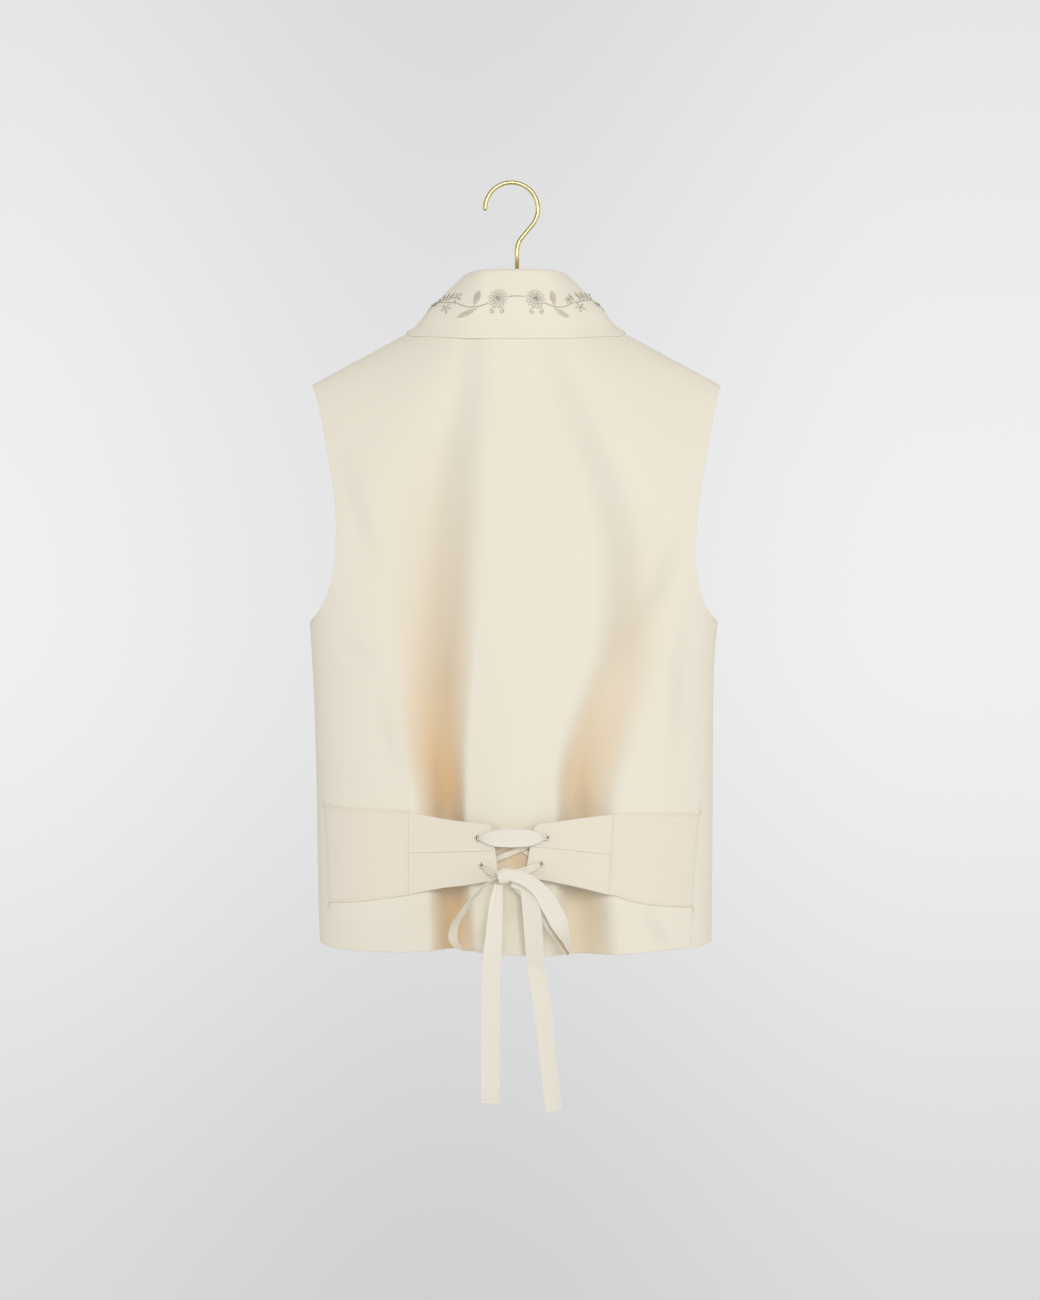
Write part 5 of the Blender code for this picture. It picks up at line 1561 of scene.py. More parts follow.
PATCH = "x top bottom"
TAB = "share top middle bottom"
BELT_HALVES = {
    Hand.LEFT: BeltHalf(
        Table(PATCH, (-188, -619.1, -714), (-150, -620.6, -710.5), (-104.6, -622.3, -703.4)),
        Table(TAB, (0, -622.3, -662.5, -703.4), (0.37, -628.2, -661.3, -696.3),
              (0.65, -631.2, -660.4, -692.8), (0.9, -632.9, -659.3, -688.6),
              (0.96, -633.8, -659.1, -687.6), (1, -637.2, -658.9, -685.4)),
        root_top=-104.3, root_bottom=-104.3, end_top=-22.6, end_bottom=-16.6),
    Hand.RIGHT: BeltHalf(
        Table(PATCH, (94.6, -624.8, -703.4), (117.5, -624.6, -711.2), (145, -625.2, -715.4),
              (183, -627.4, -718)),
        Table(TAB, (0, -624.8, -664.4, -703.4), (0.39, -628.2, -660.2, -695),
              (0.73, -631.4, -656.9, -688.9), (0.9, -632.9, -655.8, -686),
              (0.96, -634.2, -655.3, -685.2), (1, -638.2, -655.1, -683)),
        root_top=94.5, root_bottom=90.0, end_top=16.6, end_bottom=9.0),
}


class EyeletPlace(NamedTuple):
    """Where an eyelet is set in its half tab."""

    hand: Hand
    part: str
    x: float
    z: float


EYELETS = (
    EyeletPlace(Hand.LEFT, "upper", -36.9, -647.2),
    EyeletPlace(Hand.LEFT, "lower", -32.6, -673.9),
    EyeletPlace(Hand.RIGHT, "upper", 29.6, -646.7),
    EyeletPlace(Hand.RIGHT, "lower", 23.6, -672.0),
)


@dataclass
class HalfBelt:
    """The belt across the back: two sewn patches, and two tabs of two halves with metal eyelets."""

    form: BodyForm
    wool: WoolFinish = BELT_IVORY
    metal: MetalFinish = PALE_PLATE
    cloth: float = 1.4
    gap: float = 0.4
    patch_columns: int = 18
    patch_rows: int = 12
    seam_inset: float = 0.6
    tab_shares: tuple[float, ...] = (0.0, 0.16, 0.34, 0.52, 0.68, 0.82, 0.91, 0.96, 1.0)
    tab_rows: int = 10
    tab_end_y: float = -79.5
    hole_radius: float = 2.4
    hole_segments: int = 32
    barrel_radius: float = 2.0
    bore_radius: float = 1.55
    flange_radius: float = 3.1
    flange: float = 0.72
    flange_roll: float = 0.2
    flange_fall: float = 0.1
    flange_clear: float = 0.05
    cutter_reach: float = 4.0
    patch_cut: tuple[float, float] = (0.090, 0.098)
    tab_cut: tuple[float, float] = (0.041, 0.100)
    tab_cut_area: float = 0.0032

    def root_x(self, hand: Hand, z: float) -> float:
        """Where a belt patch meets its tab at a height."""
        half = BELT_HALVES[hand]
        top, bottom = half.tab.read(0.0, "top"), half.tab.read(0.0, "bottom")
        share = (z - top) / (bottom - top)
        return blend(half.root_top, half.root_bottom, min(1.0, max(0.0, share)))

    def patch_grid(self, hand: Hand) -> Grid:
        """A belt patch: the back's unfolded form between the side seam and the tab, moved out."""
        form, lines = self.form, BELT_HALVES[hand].patch
        rows = []
        for i in range(self.patch_rows + 1):
            down = i / self.patch_rows
            level = blend(*(lines.read(lines.keys[0], edge) for edge in ("top", "bottom")), down)
            right, left = form.seam_angles(level)
            seam = right if hand is Hand.RIGHT else left
            seam += hand.value * math.radians(self.seam_inset)
            root = form.angle_at(self.root_x(hand, level) + hand.value * ROOT_GAP, level)
            columns = finer((seam, root), self.patch_columns)
            row = []
            for angle in columns:
                x = form.x_at(angle, level)
                z = blend(lines.read(x, "top"), lines.read(x, "bottom"), down)
                place, out = form.cloth_point(x, z, Side.BACK, Lie.UNFOLDED)
                row.append(ClothPoint(place + out * (self.cloth + self.gap), out))
            rows.append(row)
        return rows

    def root_point(self, hand: Hand, z: float) -> Vector:
        """The outer face's place where a patch meets its tab at a height."""
        place, out = self.form.cloth_point(self.root_x(hand, z), z, Side.BACK, Lie.UNFOLDED)
        return place + out * (self.cloth + self.gap)

    def tab_y(self, hand: Hand, x: float, z: float) -> float:
        """Y of a tab's outer face: stretched straight from its patch over the valley to its end."""
        root = self.root_point(hand, z)
        return blend(root.y, self.tab_end_y, (x - root.x) / (BELT_HALVES[hand].end_bottom - root.x))

    def tab_grid(self, hand: Hand, part: str) -> Grid:
        """One half of a tab, from its upper edge to its lower edge."""
        half, lines = BELT_HALVES[hand], BELT_HALVES[hand].tab
        top, bottom = lines.read(1.0, "top"), lines.read(1.0, "bottom")
        rows = []
        for i in range(self.tab_rows + 1):
            down = i / self.tab_rows
            row = []
            for share in finer(self.tab_shares, COLUMN_PARTS):
                middle = lines.read(share, "middle")
                if part == "upper":
                    z = blend(lines.read(share, "top"), middle + 0.5 * SEAM_GAP, down)
                else:
                    z = blend(middle - 0.5 * SEAM_GAP, lines.read(share, "bottom"), down)
                fall = min(1.0, max(0.0, (z - top) / (bottom - top)))
                x = blend(self.root_point(hand, z).x, blend(half.end_top, half.end_bottom, fall), share)
                row.append(Vector((x, self.tab_y(hand, x, z), z)))
            rows.append(row)
        out = (rows[0][-1] - rows[0][0]).cross(Vector((0.0, 0.0, 1.0))).normalized()
        out = out if out.y < 0.0 else -out
        return [[ClothPoint(place, out) for place in row] for row in rows]

    def eyelet_axis(self, eyelet: EyeletPlace) -> tuple[Vector, Vector]:
        """An eyelet's middle on its tab's outer face, and the way out of the tab."""
        out = self.tab_grid(eyelet.hand, eyelet.part)[0][0].out
        y = self.tab_y(eyelet.hand, eyelet.x, eyelet.z)
        return Vector((eyelet.x, y, eyelet.z)), out

    def _tab_with_hole(self, eyelet: EyeletPlace, wool: Material) -> Piece:
        """Cut the eyelet's hole through its half tab."""
        name = f"belt_tab_{eyelet.hand.column}_{eyelet.part}"
        grid = self.tab_grid(eyelet.hand, eyelet.part)
        seam_row = len(grid) - 1 if eyelet.part == "upper" else 0
        blank = Wall(f"{name}_blank", grid, self.cloth,
                     lambda row, column: column == 0 or row == seam_row).build(wool)
        place, out = self.eyelet_axis(eyelet)
        reach = self.cutter_reach * self.cloth
        rod = ((0.0, -reach), (self.hole_radius, -reach), (self.hole_radius, reach), (0.0, reach))
        cutter = lathe(f"{name}_cutter", rod, self.hole_segments, place, out, wool)
        cut = blank.modifiers.new("hole", "BOOLEAN")
        cut.operation = "DIFFERENCE"
        cut.solver = "EXACT"
        cut.object = cutter
        mesh = evaluated_mesh(blank, f"{name}_cloth")
        for spare in (blank, cutter):
            bpy.data.objects.remove(spare, do_unlink=True)
        return add_piece(f"{name}_cloth", mesh, None)

    def _eyelet(self, eyelet: EyeletPlace) -> Piece:
        """A rolled flange on the tab's face and a barrel down through the hole."""
        name = f"eyelet_{eyelet.hand.column}_{eyelet.part}"
        lip = self.flange - self.flange_fall
        profile = (
            (self.bore_radius, lip),
            (0.5 * (self.bore_radius + self.flange_radius), self.flange + self.flange_roll),
            (self.flange_radius, lip),
            (self.flange_radius, self.flange_clear),
            (self.barrel_radius, self.flange_clear),
            (self.barrel_radius, -self.cloth),
            (self.bore_radius, -self.cloth),
        )
        ring = lathe(f"{name}_ring", round_profile(profile, closed=True), self.hole_segments,
                     *self.eyelet_axis(eyelet), self.metal.material())
        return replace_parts(ring, name)

    def build(self) -> list[Piece]:
        """Make the patches, the tabs and the eyelets."""
        wool = self.wool.material()
        pieces = []
        for hand in Hand:
            name = f"belt_patch_{hand.column}"
            patch = Wall(f"{name}_cloth", self.patch_grid(hand), self.cloth,
                         lambda row, column: column == self.patch_columns).build(wool)
            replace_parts(patch, name)
            pieces.append(patch)
        for eyelet in EYELETS:
            tab = self._tab_with_hole(eyelet, wool)
            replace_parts(tab, f"belt_tab_{eyelet.hand.column}_{eyelet.part}")
            pieces += [tab, self._eyelet(eyelet)]
        return pieces


def evaluated_mesh(obj: Piece, name: str) -> Mesh:
    """A piece's mesh as its modifiers leave it.

    Args:
        obj: The object with its modifiers.
        name: The new mesh's name.

    Returns:
        A plain mesh with the result and its materials.
    """
    held = obj.evaluated_get(bpy.context.evaluated_depsgraph_get())
    mesh = bpy.data.meshes.new_from_object(held)
    mesh.name = name
    return mesh


# ---------------------------------------------------------------- lacing ribbon
class RibbonStop(NamedTuple):
    """The ribbon's middle, its width and depth, and which way its width points.

    Yaw turns the width from +X towards +Y, and pitch raises it towards +Z, both in degrees.
    """

    x: float
    y: float
    z: float
    width: float
    thick: float
    yaw: float
    pitch: float


RIBBON_STRETCHES = {
    "ribbon_top_bar": (
        (-36.9, -72.6, -647.2, 2.7, 1.5, 0, 90), (-36.9, -76.8, -647.2, 2.7, 1.5, 0, 90),
        (-34.2, -79.2, -647.1, 3.6, 1.4, 0, 90), (-26, -81.4, -646.8, 12, 1.1, 0, 90),
        (-18, -82.6, -646.6, 16.2, 1, 0, 90), (-4, -83.2, -646.6, 17.2, 1, 0, 90),
        (10, -82.6, -646.5, 16.2, 1, 0, 90), (19, -81.4, -646.6, 12, 1.1, 0, 90),
        (26.8, -79.4, -646.7, 3.6, 1.4, 0, 90), (29.6, -76.8, -646.7, 2.7, 1.5, 0, 90),
        (29.6, -72.4, -646.7, 2.7, 1.5, 0, 90),
    ),
    "ribbon_cross_back": (
        (-34.6, -71.6, -648.6, 3.6, 1, 0, 90), (-20, -73, -651.4, 4.4, 1, 0, 90),
        (-5, -73.6, -654.4, 4.4, 1, 0, 90), (8, -73.4, -659.4, 4.4, 1, 0, 90),
        (21.4, -72.3, -670.4, 3.6, 1, 0, 90),
    ),
    "ribbon_cross_front": (
        (27.2, -72.6, -648.2, 3.6, 1, 0, 90), (15, -74.4, -653.4, 5, 1, 0, 90),
        (3, -75.4, -658.2, 5, 1, 0, 90), (-9, -75.5, -663.2, 5, 1, 0, 90),
        (-20, -74.6, -667.9, 5, 1, 0, 90), (-30.4, -72.5, -672.4, 3.6, 1, 0, 90),
    ),
    "ribbon_lower_left": (
        (-32.6, -73.2, -673.9, 2.6, 1.5, 0, 90), (-32.6, -77.4, -673.9, 2.6, 1.5, 0, 90),
        (-30.6, -79.8, -675.4, 3.2, 1.4, 0, 90), (-25.4, -82.6, -679.6, 3.8, 1.3, 0, 90),
        (-19.4, -85.4, -681.6, 3.6, 1.3, 0, 90),
    ),
    "ribbon_lower_right": (
        (23.6, -73.6, -672, 2.6, 1.5, 0, 90), (23.6, -77.8, -672, 2.6, 1.5, 0, 90),
        (20.4, -80.8, -673.8, 5.2, 1.2, 0, 90), (13, -82.6, -676.6, 7.2, 1, 0, 90),
        (5, -83.4, -678.6, 7.2, 1, 0, 90), (-1.6, -83.8, -679.8, 5, 1, 0, 90),
    ),
    "bow_loop_left": (
        (-19.6, -89.2, -684.2, 5, 1.2, 74, 0), (-28, -90, -689.6, 9, 1, 70, 0),
        (-40, -90.4, -702, 14, 1, 69, 0), (-52, -90.6, -718.5, 17, 1, 67, 0),
        (-59.2, -90.6, -731, 17, 1, 63, 0), (-60.6, -90.6, -739.5, 17, 1, 62, 0),
        (-57, -90.4, -748, 17, 1, 70, 0), (-49.5, -90, -753, 16, 1, 82, 0),
        (-40.5, -89, -754.2, 15, 1, 88, 0), (-31.5, -87.4, -749.5, 14, 1, 80, 0),
        (-25, -85.2, -736, 13, 1, 40, 0), (-21, -84.2, -716, 13, 1, 14, 0),
        (-17, -84.2, -699, 9, 1, 8, 0), (-14.6, -84.8, -690.6, 5, 1.2, 6, 0),
    ),
    "bow_loop_right": (
        (-9, -90, -680.8, 9, 1.2, 0, 84), (-1, -91.4, -681.8, 12, 1, 0, 82),
        (8, -92, -684.8, 13, 1, 0, 72), (16.5, -92.4, -690, 13.6, 1, 0, 58),
        (25, -91.8, -698.4, 15.2, 1, 0, 38), (32.7, -91.8, -710.4, 17.5, 1, 0, 22),
        (39.5, -92, -723, 17.5, 1, 8, 15), (45, -91.6, -735, 17, 1, 40, 6),
        (50.4, -90.6, -746.5, 17, 1, 68, 0), (52.4, -89.6, -753.5, 16.5, 1, 82, 0),
        (50.8, -88.6, -756.8, 16, 1, 86, 0), (47.4, -87.8, -754, 16, 1, 82, 0),
        (42.6, -86.6, -745.5, 16, 1, 70, 0), (35, -84.6, -732, 15, 1, 40, 0),
        (25, -84.2, -717, 13.5, 1, 20, 0), (13, -84, -703, 11, 1, 8, 0), (3, -84, -694.8, 8, 1, 0, 10),
        (-3.6, -84.6, -690.4, 5, 1.2, 0, 20),
    ),
    "bow_tail_left": (
        (-16.6, -88.6, -690.6, 8, 1.2, -8, 0), (-18.6, -91.6, -705, 12.4, 1, -6, 0),
        (-19.8, -94.4, -720, 14.4, 1, -4, 0), (-21.2, -96.6, -741.8, 16.4, 1, 0, 0),
        (-22.8, -96.8, -756, 17.2, 1, 2, 0), (-24.2, -93.4, -795, 17.6, 1, 4, 0),
        (-24.5, -89.8, -833, 18, 1, 2, 0), (-24.6, -86.6, -870, 18, 1, -4, 0),
        (-24.7, -84.6, -902, 18, 1, -6, 0),
    ),
    "bow_tail_right": (
        (-4.4, -87, -690.4, 5, 1.2, 0, 40), (4, -87.2, -691.6, 9, 1, -4, 34),
        (9.8, -87.6, -695.8, 13, 1, -8, 20), (13.2, -88.2, -703.7, 16.4, 1, -10, 6),
        (15.5, -88.6, -718, 18.4, 1, -12, 0), (17.2, -88.4, -742, 18.6, 1, -16, 0),
        (18.9, -88, -765, 18.2, 1, -20, 0), (20.9, -87.6, -780, 17.2, 1, -5, 0),
        (26, -86.2, -813, 16.8, 1, -5, 0), (29.3, -85, -847, 16.2, 1, -7, 0),
        (33.2, -84, -882, 15.6, 1, -8, 0), (36.8, -83.4, -909.4, 15.4, 1, -8, 0),
    ),
}
KNOT_CENTRE = Vector((-10.6, -86.8, -682.2))
KNOT_DEPTH = 4.6
KNOT_HEIGHT = 6.8
KNOT_TURN = (-100.0, 250.0)
KNOT_BAND_THICK = 1.6


class KnotBand(NamedTuple):
    """A band of the knot: its lean in degrees, its width, and its share of the knot's size."""

    lean: float
    width: float
    share: float


KNOT_BANDS = {"knot_wrap": KnotBand(-16.0, 14.0, 1.0), "knot_under": KnotBand(34.0, 9.0, 0.84)}


@dataclass
class LacingRibbon:
    """One ribbon: laced through the eyelets, tied in a bow, with two free tails."""

    finish: RibbonFinish = RIBBON
    full_width: float = 19.0
    cloth: float = 0.45
    steps_per_stop: int = 8
    cells_across: int = 16
    pleats: float = 2.5
    pleat_limit: float = 0.9
    cupping: float = 0.35
    knot_cupping: float = -1.9
    knot_steps: int = 12
    knot_thick: float = 1.55
    cut_slant: float = 3.0
    cut: tuple[float, float] = (0.019, 1.060)

    def _run(self, stops: Sequence[Sequence[float]]) -> list[RibbonStop]:
        """Read a stretch between its stops as one smooth run."""
        names = " ".join(("key", *RibbonStop._fields))
        table = Table(names, *[(i, *stop) for i, stop in enumerate(stops)])
        count = (len(stops) - 1) * self.steps_per_stop
        keys = [i / self.steps_per_stop for i in range(count + 1)]
        return [RibbonStop(*[table.read(key, name) for name in RibbonStop._fields]) for key in keys]

    def _section(self, stop: RibbonStop, tangent: Vector) -> list[ClothPoint]:
        """Points across the ribbon: pleated where it is gathered, and cupped where it is open."""
        yaw, pitch = math.radians(stop.yaw), math.radians(stop.pitch)
        level = math.cos(pitch)
        wide = Vector((math.cos(yaw) * level, math.sin(yaw) * level, math.sin(pitch)))
        wide = (wide - tangent * wide.dot(tangent)).normalized()
        thick = tangent.cross(wide)
        middle = Vector((stop.x, stop.y, stop.z))
        gathered = 1.0 - min(1.0, stop.width / self.full_width)
        rise = min(self.pleat_limit, 0.5 * stop.thick) * gathered
        points = []
        for i in range(self.cells_across + 1):
            share = 2.0 * i / self.cells_across - 1.0
            turn = math.pi * self.pleats * share
            cupping = self.knot_cupping if stop.thick > self.knot_thick else self.cupping
            lift = rise * math.cos(turn) + cupping * (1.0 - gathered) * (share * share - 0.5)
            slope = -rise * math.pi * self.pleats * math.sin(turn)
            slope += 2.0 * cupping * (1.0 - gathered) * share
            out = (thick - wide * slope / (0.5 * stop.width)).normalized()
            place = middle + wide * (0.5 * stop.width * share) + thick * lift
            points.append(ClothPoint(place + out * 0.5 * self.cloth, out))
        return points

    def stretch_grid(self, stops: Sequence[Sequence[float]], slant: float = 0.0) -> Grid:
        """Outer points of one stretch of the ribbon.

        Args:
            stops: The stretch's stops.
            slant: How far the end's left corner lies below its right one, in millimetres.
        """
        run = self._run(stops)
        middles = [Vector((stop.x, stop.y, stop.z)) for stop in run]
        grid = []
        for i, stop in enumerate(run):
            tangent = middles[min(i + 1, len(run) - 1)] - middles[max(i - 1, 0)]
            row = self._section(stop, tangent.normalized())
            near_end = ease(len(run) - self.steps_per_stop, len(run) - 1.0, float(i))
            for j, (place, out) in enumerate(row):
                drop = slant * near_end * (j / self.cells_across - 0.5)
                row[j] = ClothPoint(place + Vector((0.0, 0.0, drop)), out)
            grid.append(row)
        return grid

    def build(self) -> list[Piece]:
        """Make the ribbon as one piece of all its stretches and its knot."""
        ribbon = self.finish.material()
        parts = []
        for name, stops in {**RIBBON_STRETCHES, **self.knot_bands()}.items():
            slant = self.cut_slant if name == "bow_tail_right" else 0.0
            parts.append(RibbonWall(name, self.stretch_grid(stops, slant), self.cloth).mesh())
        piece = add_piece("lacing_ribbon", joined("lacing_ribbon", parts), ribbon)
        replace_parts(piece, *RIBBON_STRETCHES, "bow_knot")
        return [piece]

    def knot_bands(self) -> dict[str, list[RibbonStop]]:
        """The knot: a wide pleated band wrapped over the front, and a narrower one under it."""
        bands = {}
        for name, (lean, width, share) in KNOT_BANDS.items():
            tilt = math.radians(lean)
            stops = []
            for i in range(self.knot_steps + 1):
                turn = math.radians(blend(*KNOT_TURN, i / self.knot_steps))
                across = share * KNOT_HEIGHT * math.cos(turn)
                stops.append(RibbonStop(
                    KNOT_CENTRE.x + across * math.sin(tilt),
                    KNOT_CENTRE.y - share * KNOT_DEPTH * math.sin(turn),
                    KNOT_CENTRE.z + across * math.cos(tilt),
                    width, KNOT_BAND_THICK, 0.0, -lean))
            bands[name] = stops
        return bands


class RibbonWall(Wall):
    """A wall whose flat map runs from the middle of the ribbon, so that its edges can be found."""

    def mesh(self) -> Mesh:
        """Build the wall's mesh, with its flat map centred across the ribbon's full width."""
        mesh = super().mesh()
        flat = mesh.uv_layers[CLOTH_MAP].data
        width = max(loop.uv[0] for loop in flat)
        for loop in flat:
            loop.uv[0] = (2.0 * loop.uv[0] / width - 1.0) * RIBBON_HALF_WIDTH
        return mesh


def joined(name: str, parts: Sequence[Mesh]) -> Mesh:
    """One mesh of several, which are then removed."""
    work = bmesh.new()
    for part in parts:
        work.from_mesh(part)
        bpy.data.meshes.remove(part)
    mesh = bpy.data.meshes.new(name)
    work.to_mesh(mesh)
    work.free()
    return mesh


# ---------------------------------------------------------------- buttons
@dataclass
class CoveredButtons:
    """Four cloth-covered buttons down the lap."""

    form: BodyForm
    cover: WoolFinish = COVERED
    heights: tuple[float, ...] = (-385.0, -475.0, -565.0, -655.0)
    profile: tuple[tuple[float, float], ...] = (
        (0.0, 4.0), (3.75, 3.7), (6.5, 2.8), (7.5, 1.6), (6.9, 0.5), (0.0, 0.5))
    segments: int = 36

    def build(self) -> list[Piece]:
        """Make each button on the right front."""
        pieces = []
        for number, height in enumerate(self.heights, 1):
            axis = self.form.cloth_point(0.0, height, Side.FRONT)
            profile = round_profile(self.profile, closed=False)
            button = lathe(f"covered_button_{number}", profile, self.segments, *axis,
                           self.cover.material())
            wrap_map(button.data)
            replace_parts(button, f"button_{number}")
            pieces.append(button)
        return pieces


def wrap_map(mesh: Mesh) -> None:
    """Lay a flat map over a small piece, straight through from its front."""
    flat = mesh.uv_layers.new(name=CLOTH_MAP)
    for loop in mesh.loops:
        place = mesh.vertices[loop.vertex_index].co
        flat.data[loop.index].uv = (place.x, place.z)


# ---------------------------------------------------------------- hanger
@dataclass
class Hanger:
    """The wire hook, the ferrule below it and the plain arms under the shoulders."""

    form: BodyForm
    brass: MetalFinish = GOLD_BRASS
    wire_radius: float = 2.1
    hook_radius: float = 26.4
    hook_centre_x: float = -4.5
    free_end_degrees: float = 184.0
    last_degrees: float = -36.0
    hook_points: int = 96
    shank_x: float = 1.0
    bend_start: tuple[float, float] = (5.2, -53.4)
    bend_corner_z: float = -58.8
    bend_end_z: float = -66.0
    bend_points: int = 14
    shank_end_z: float = -93.0
    ferrule_radius: float = 4.6
    ferrule_top_radius: float = 3.0
    ferrule_taper: float = 5.0
    arm_radius: float = 3.0
    arm_below_ridge: float = 7.8
    arm_tip_x: float = 194.0
    arm_points: int = 60
    wire_sides: int = 24
    end_dome_steps: int = 5
    least_radius: float = 0.02

    def hook_path(self) -> list[Vector]:
        """Middle of the hook's wire: an arc, a straight run, a bend and the upright shank."""
        centre_z = -math.sqrt((self.hook_radius - self.wire_radius) ** 2 - self.hook_centre_x**2)
        path = []
        for i in range(self.hook_points + 1):
            turn = math.radians(blend(self.free_end_degrees, self.last_degrees, i / self.hook_points))
            x = self.hook_centre_x + self.hook_radius * math.cos(turn)
            path.append(Vector((x, 0.0, centre_z + self.hook_radius * math.sin(turn))))
        start = Vector((self.bend_start[0], 0.0, self.bend_start[1]))
        corner = Vector((self.shank_x, 0.0, self.bend_corner_z))
        end = Vector((self.shank_x, 0.0, self.bend_end_z))
        for i in range(self.bend_points + 1):
            t = i / self.bend_points
            path.append(start.lerp(corner, t).lerp(corner.lerp(end, t), t))
        path.append(Vector((self.shank_x, 0.0, self.shank_end_z)))
        return path

    def _rod(self, name: str, path: Sequence[Vector], radius: float, domed: bool) -> Piece:
        """A round rod along a path in the garment's middle plane.

        Args:
            name: The piece's name.
            path: Points of its middle, in millimetres.
            radius: Its radius.
            domed: Whether its first end is a dome.

        Returns:
            The new object.
        """
        stations = [(point, radius) for point in path]
        if domed:
            first, step = path[0], (path[1] - path[0]).normalized()
            dome = []
            for i in range(self.end_dome_steps):
                turn = 0.5 * math.pi * (1.0 - i / self.end_dome_steps)
                dome.append((first + step * radius * (1.0 - math.sin(turn)), radius * math.cos(turn)))
            past = [pair for pair in stations if (pair[0] - first).length > radius]
            stations = dome + past
        vertices, faces = [], []
        for i, (point, size) in enumerate(stations):
            before, after = stations[max(i - 1, 0)][0], stations[min(i + 1, len(stations) - 1)][0]
            along = (after - before).normalized()
            side = Vector((0.0, 1.0, 0.0))
            up = along.cross(side)
            size = max(size, self.least_radius)
            for k in range(self.wire_sides):
                turn = 2.0 * math.pi * k / self.wire_sides
                vertices.append(point + (side * math.cos(turn) + up * math.sin(turn)) * size)
        n = self.wire_sides
        for i in range(0, len(vertices) - n, n):
            faces += [(i + k, i + (k + 1) % n, i + n + (k + 1) % n, i + n + k) for k in range(n)]
        faces += [tuple(range(n)), tuple(range(len(vertices) - n, len(vertices)))]
        return add_piece(name, mesh_from(name, vertices, faces), self.brass.material())

    def build(self) -> list[Piece]:
        """Make the hook, the ferrule and the arms."""
        hook = self._rod("hook_wire", self.hook_path(), self.wire_radius, True)
        top = self.shank_end_z - SEAM_GAP
        bottom = self.form.ridge_z(0.0) - self.arm_below_ridge + self.arm_radius + SEAM_GAP
        profile = (
            (0.0, top),
            (self.ferrule_top_radius, top),
            (self.ferrule_radius, top - self.ferrule_taper),
            (self.ferrule_radius, bottom),
            (0.0, bottom),
        )
        ferrule = lathe("ferrule_sleeve", round_profile(profile, closed=False), self.wire_sides,
                        Vector((self.shank_x, 0.0, 0.0)), Vector((0.0, 0.0, 1.0)),
                        self.brass.material())
        path = []
        for i in range(self.arm_points + 1):
            x = blend(-self.arm_tip_x, self.arm_tip_x, i / self.arm_points)
            path.append(Vector((x, 0.0, self.form.ridge_z(x) - self.arm_below_ridge)))
        arms = self._rod("shoulder_arms", path, self.arm_radius, False)
        for piece, node in ((hook, "hanger_hook"), (ferrule, "hanger_ferrule"), (arms, "hanger_arms")):
            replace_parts(piece, node)
        return [hook, ferrule, arms]


# ---------------------------------------------------------------- thread and beads
class SewingTree(ABC):
    """A geometry tree that sews along drawn lines, or sets beads on points, with named sizes."""

    name: str
    sizes: dict[str, float] = {}

    def tree(self) -> Tree:
        """The tree, built at its first use."""
        found = bpy.data.node_groups.get(self.name)
        if found is not None:
            return found
        tree = bpy.data.node_groups.new(self.name, "GeometryNodeTree")
        tree.interface.new_socket("Geometry", in_out="INPUT", socket_type="NodeSocketGeometry")
        for name, value in self.sizes.items():
            socket = tree.interface.new_socket(name, in_out="INPUT", socket_type="NodeSocketFloat")
            socket.default_value = value
        tree.interface.new_socket("Finish", in_out="INPUT", socket_type="NodeSocketMaterial")
        tree.interface.new_socket("Geometry", in_out="OUTPUT", socket_type="NodeSocketGeometry")
        desk = NodeDesk(tree)
        given = desk.add("NodeGroupInput").outputs
        made = desk.add("GeometryNodeRealizeInstances", {"Geometry": self.make(desk, given)})
        dressed = desk.add("GeometryNodeSetMaterial", {
            "Geometry": made.outputs[0], "Material": given["Finish"]})
        desk.add("NodeGroupOutput", {"Geometry": dressed.outputs[0]})
        return tree

    @abstractmethod
    def make(self, desk: NodeDesk, given: Sockets) -> Socket:
        """Add the tree's nodes and return the geometry that they make."""

    @staticmethod
    def uneven(desk: NodeDesk, least: float, most: float, seed: int) -> Socket:
        """A size that differs from one stitch or bead to the next."""
        return desk.add("FunctionNodeRandomValue", {2: least, 3: most, "Seed": seed},
                        data_type="FLOAT").outputs[1]

    def sew(self, name: str, lines: Sequence[Sequence[Vector]], finish: Finish,
            **sizes: float) -> Piece:
        """Run the tree over lines, or over the points of lines, and keep the result as a piece.

        Args:
            name: The piece's name.
            lines: Points of each line, in millimetres.
            finish: The thread's or beads' finish.
            sizes: The tree's sizes in millimetres, with a space written as an underscore.

        Returns:
            The new object.
        """
        points, edges = [], []
        for line in lines:
            first = len(points)
            points += [point * MM for point in line]
            edges += [(i, i + 1) for i in range(first, len(points) - 1)]
        drawn = bpy.data.meshes.new(f"{name}_lines")
        drawn.from_pydata(points, edges, [])
        pattern = bpy.data.objects.new(f"{name}_lines", drawn)
        bpy.context.scene.collection.objects.link(pattern)
        sewing = pattern.modifiers.new("sewing", "NODES")
        sewing.node_group = self.tree()
        values = {size.replace("_", " ").capitalize(): value * MM for size, value in sizes.items()}
        values["Finish"] = finish.material()
        for socket in sewing.node_group.interface.items_tree:
            if socket.in_out == "INPUT" and socket.name in values:
                sewing[socket.identifier] = values[socket.name]
        mesh = evaluated_mesh(pattern, name)
        bpy.data.objects.remove(pattern, do_unlink=True)
        mesh.materials.clear()
        for face in mesh.polygons:
            face.material_index = 0
        return add_piece(name, mesh, finish.material())


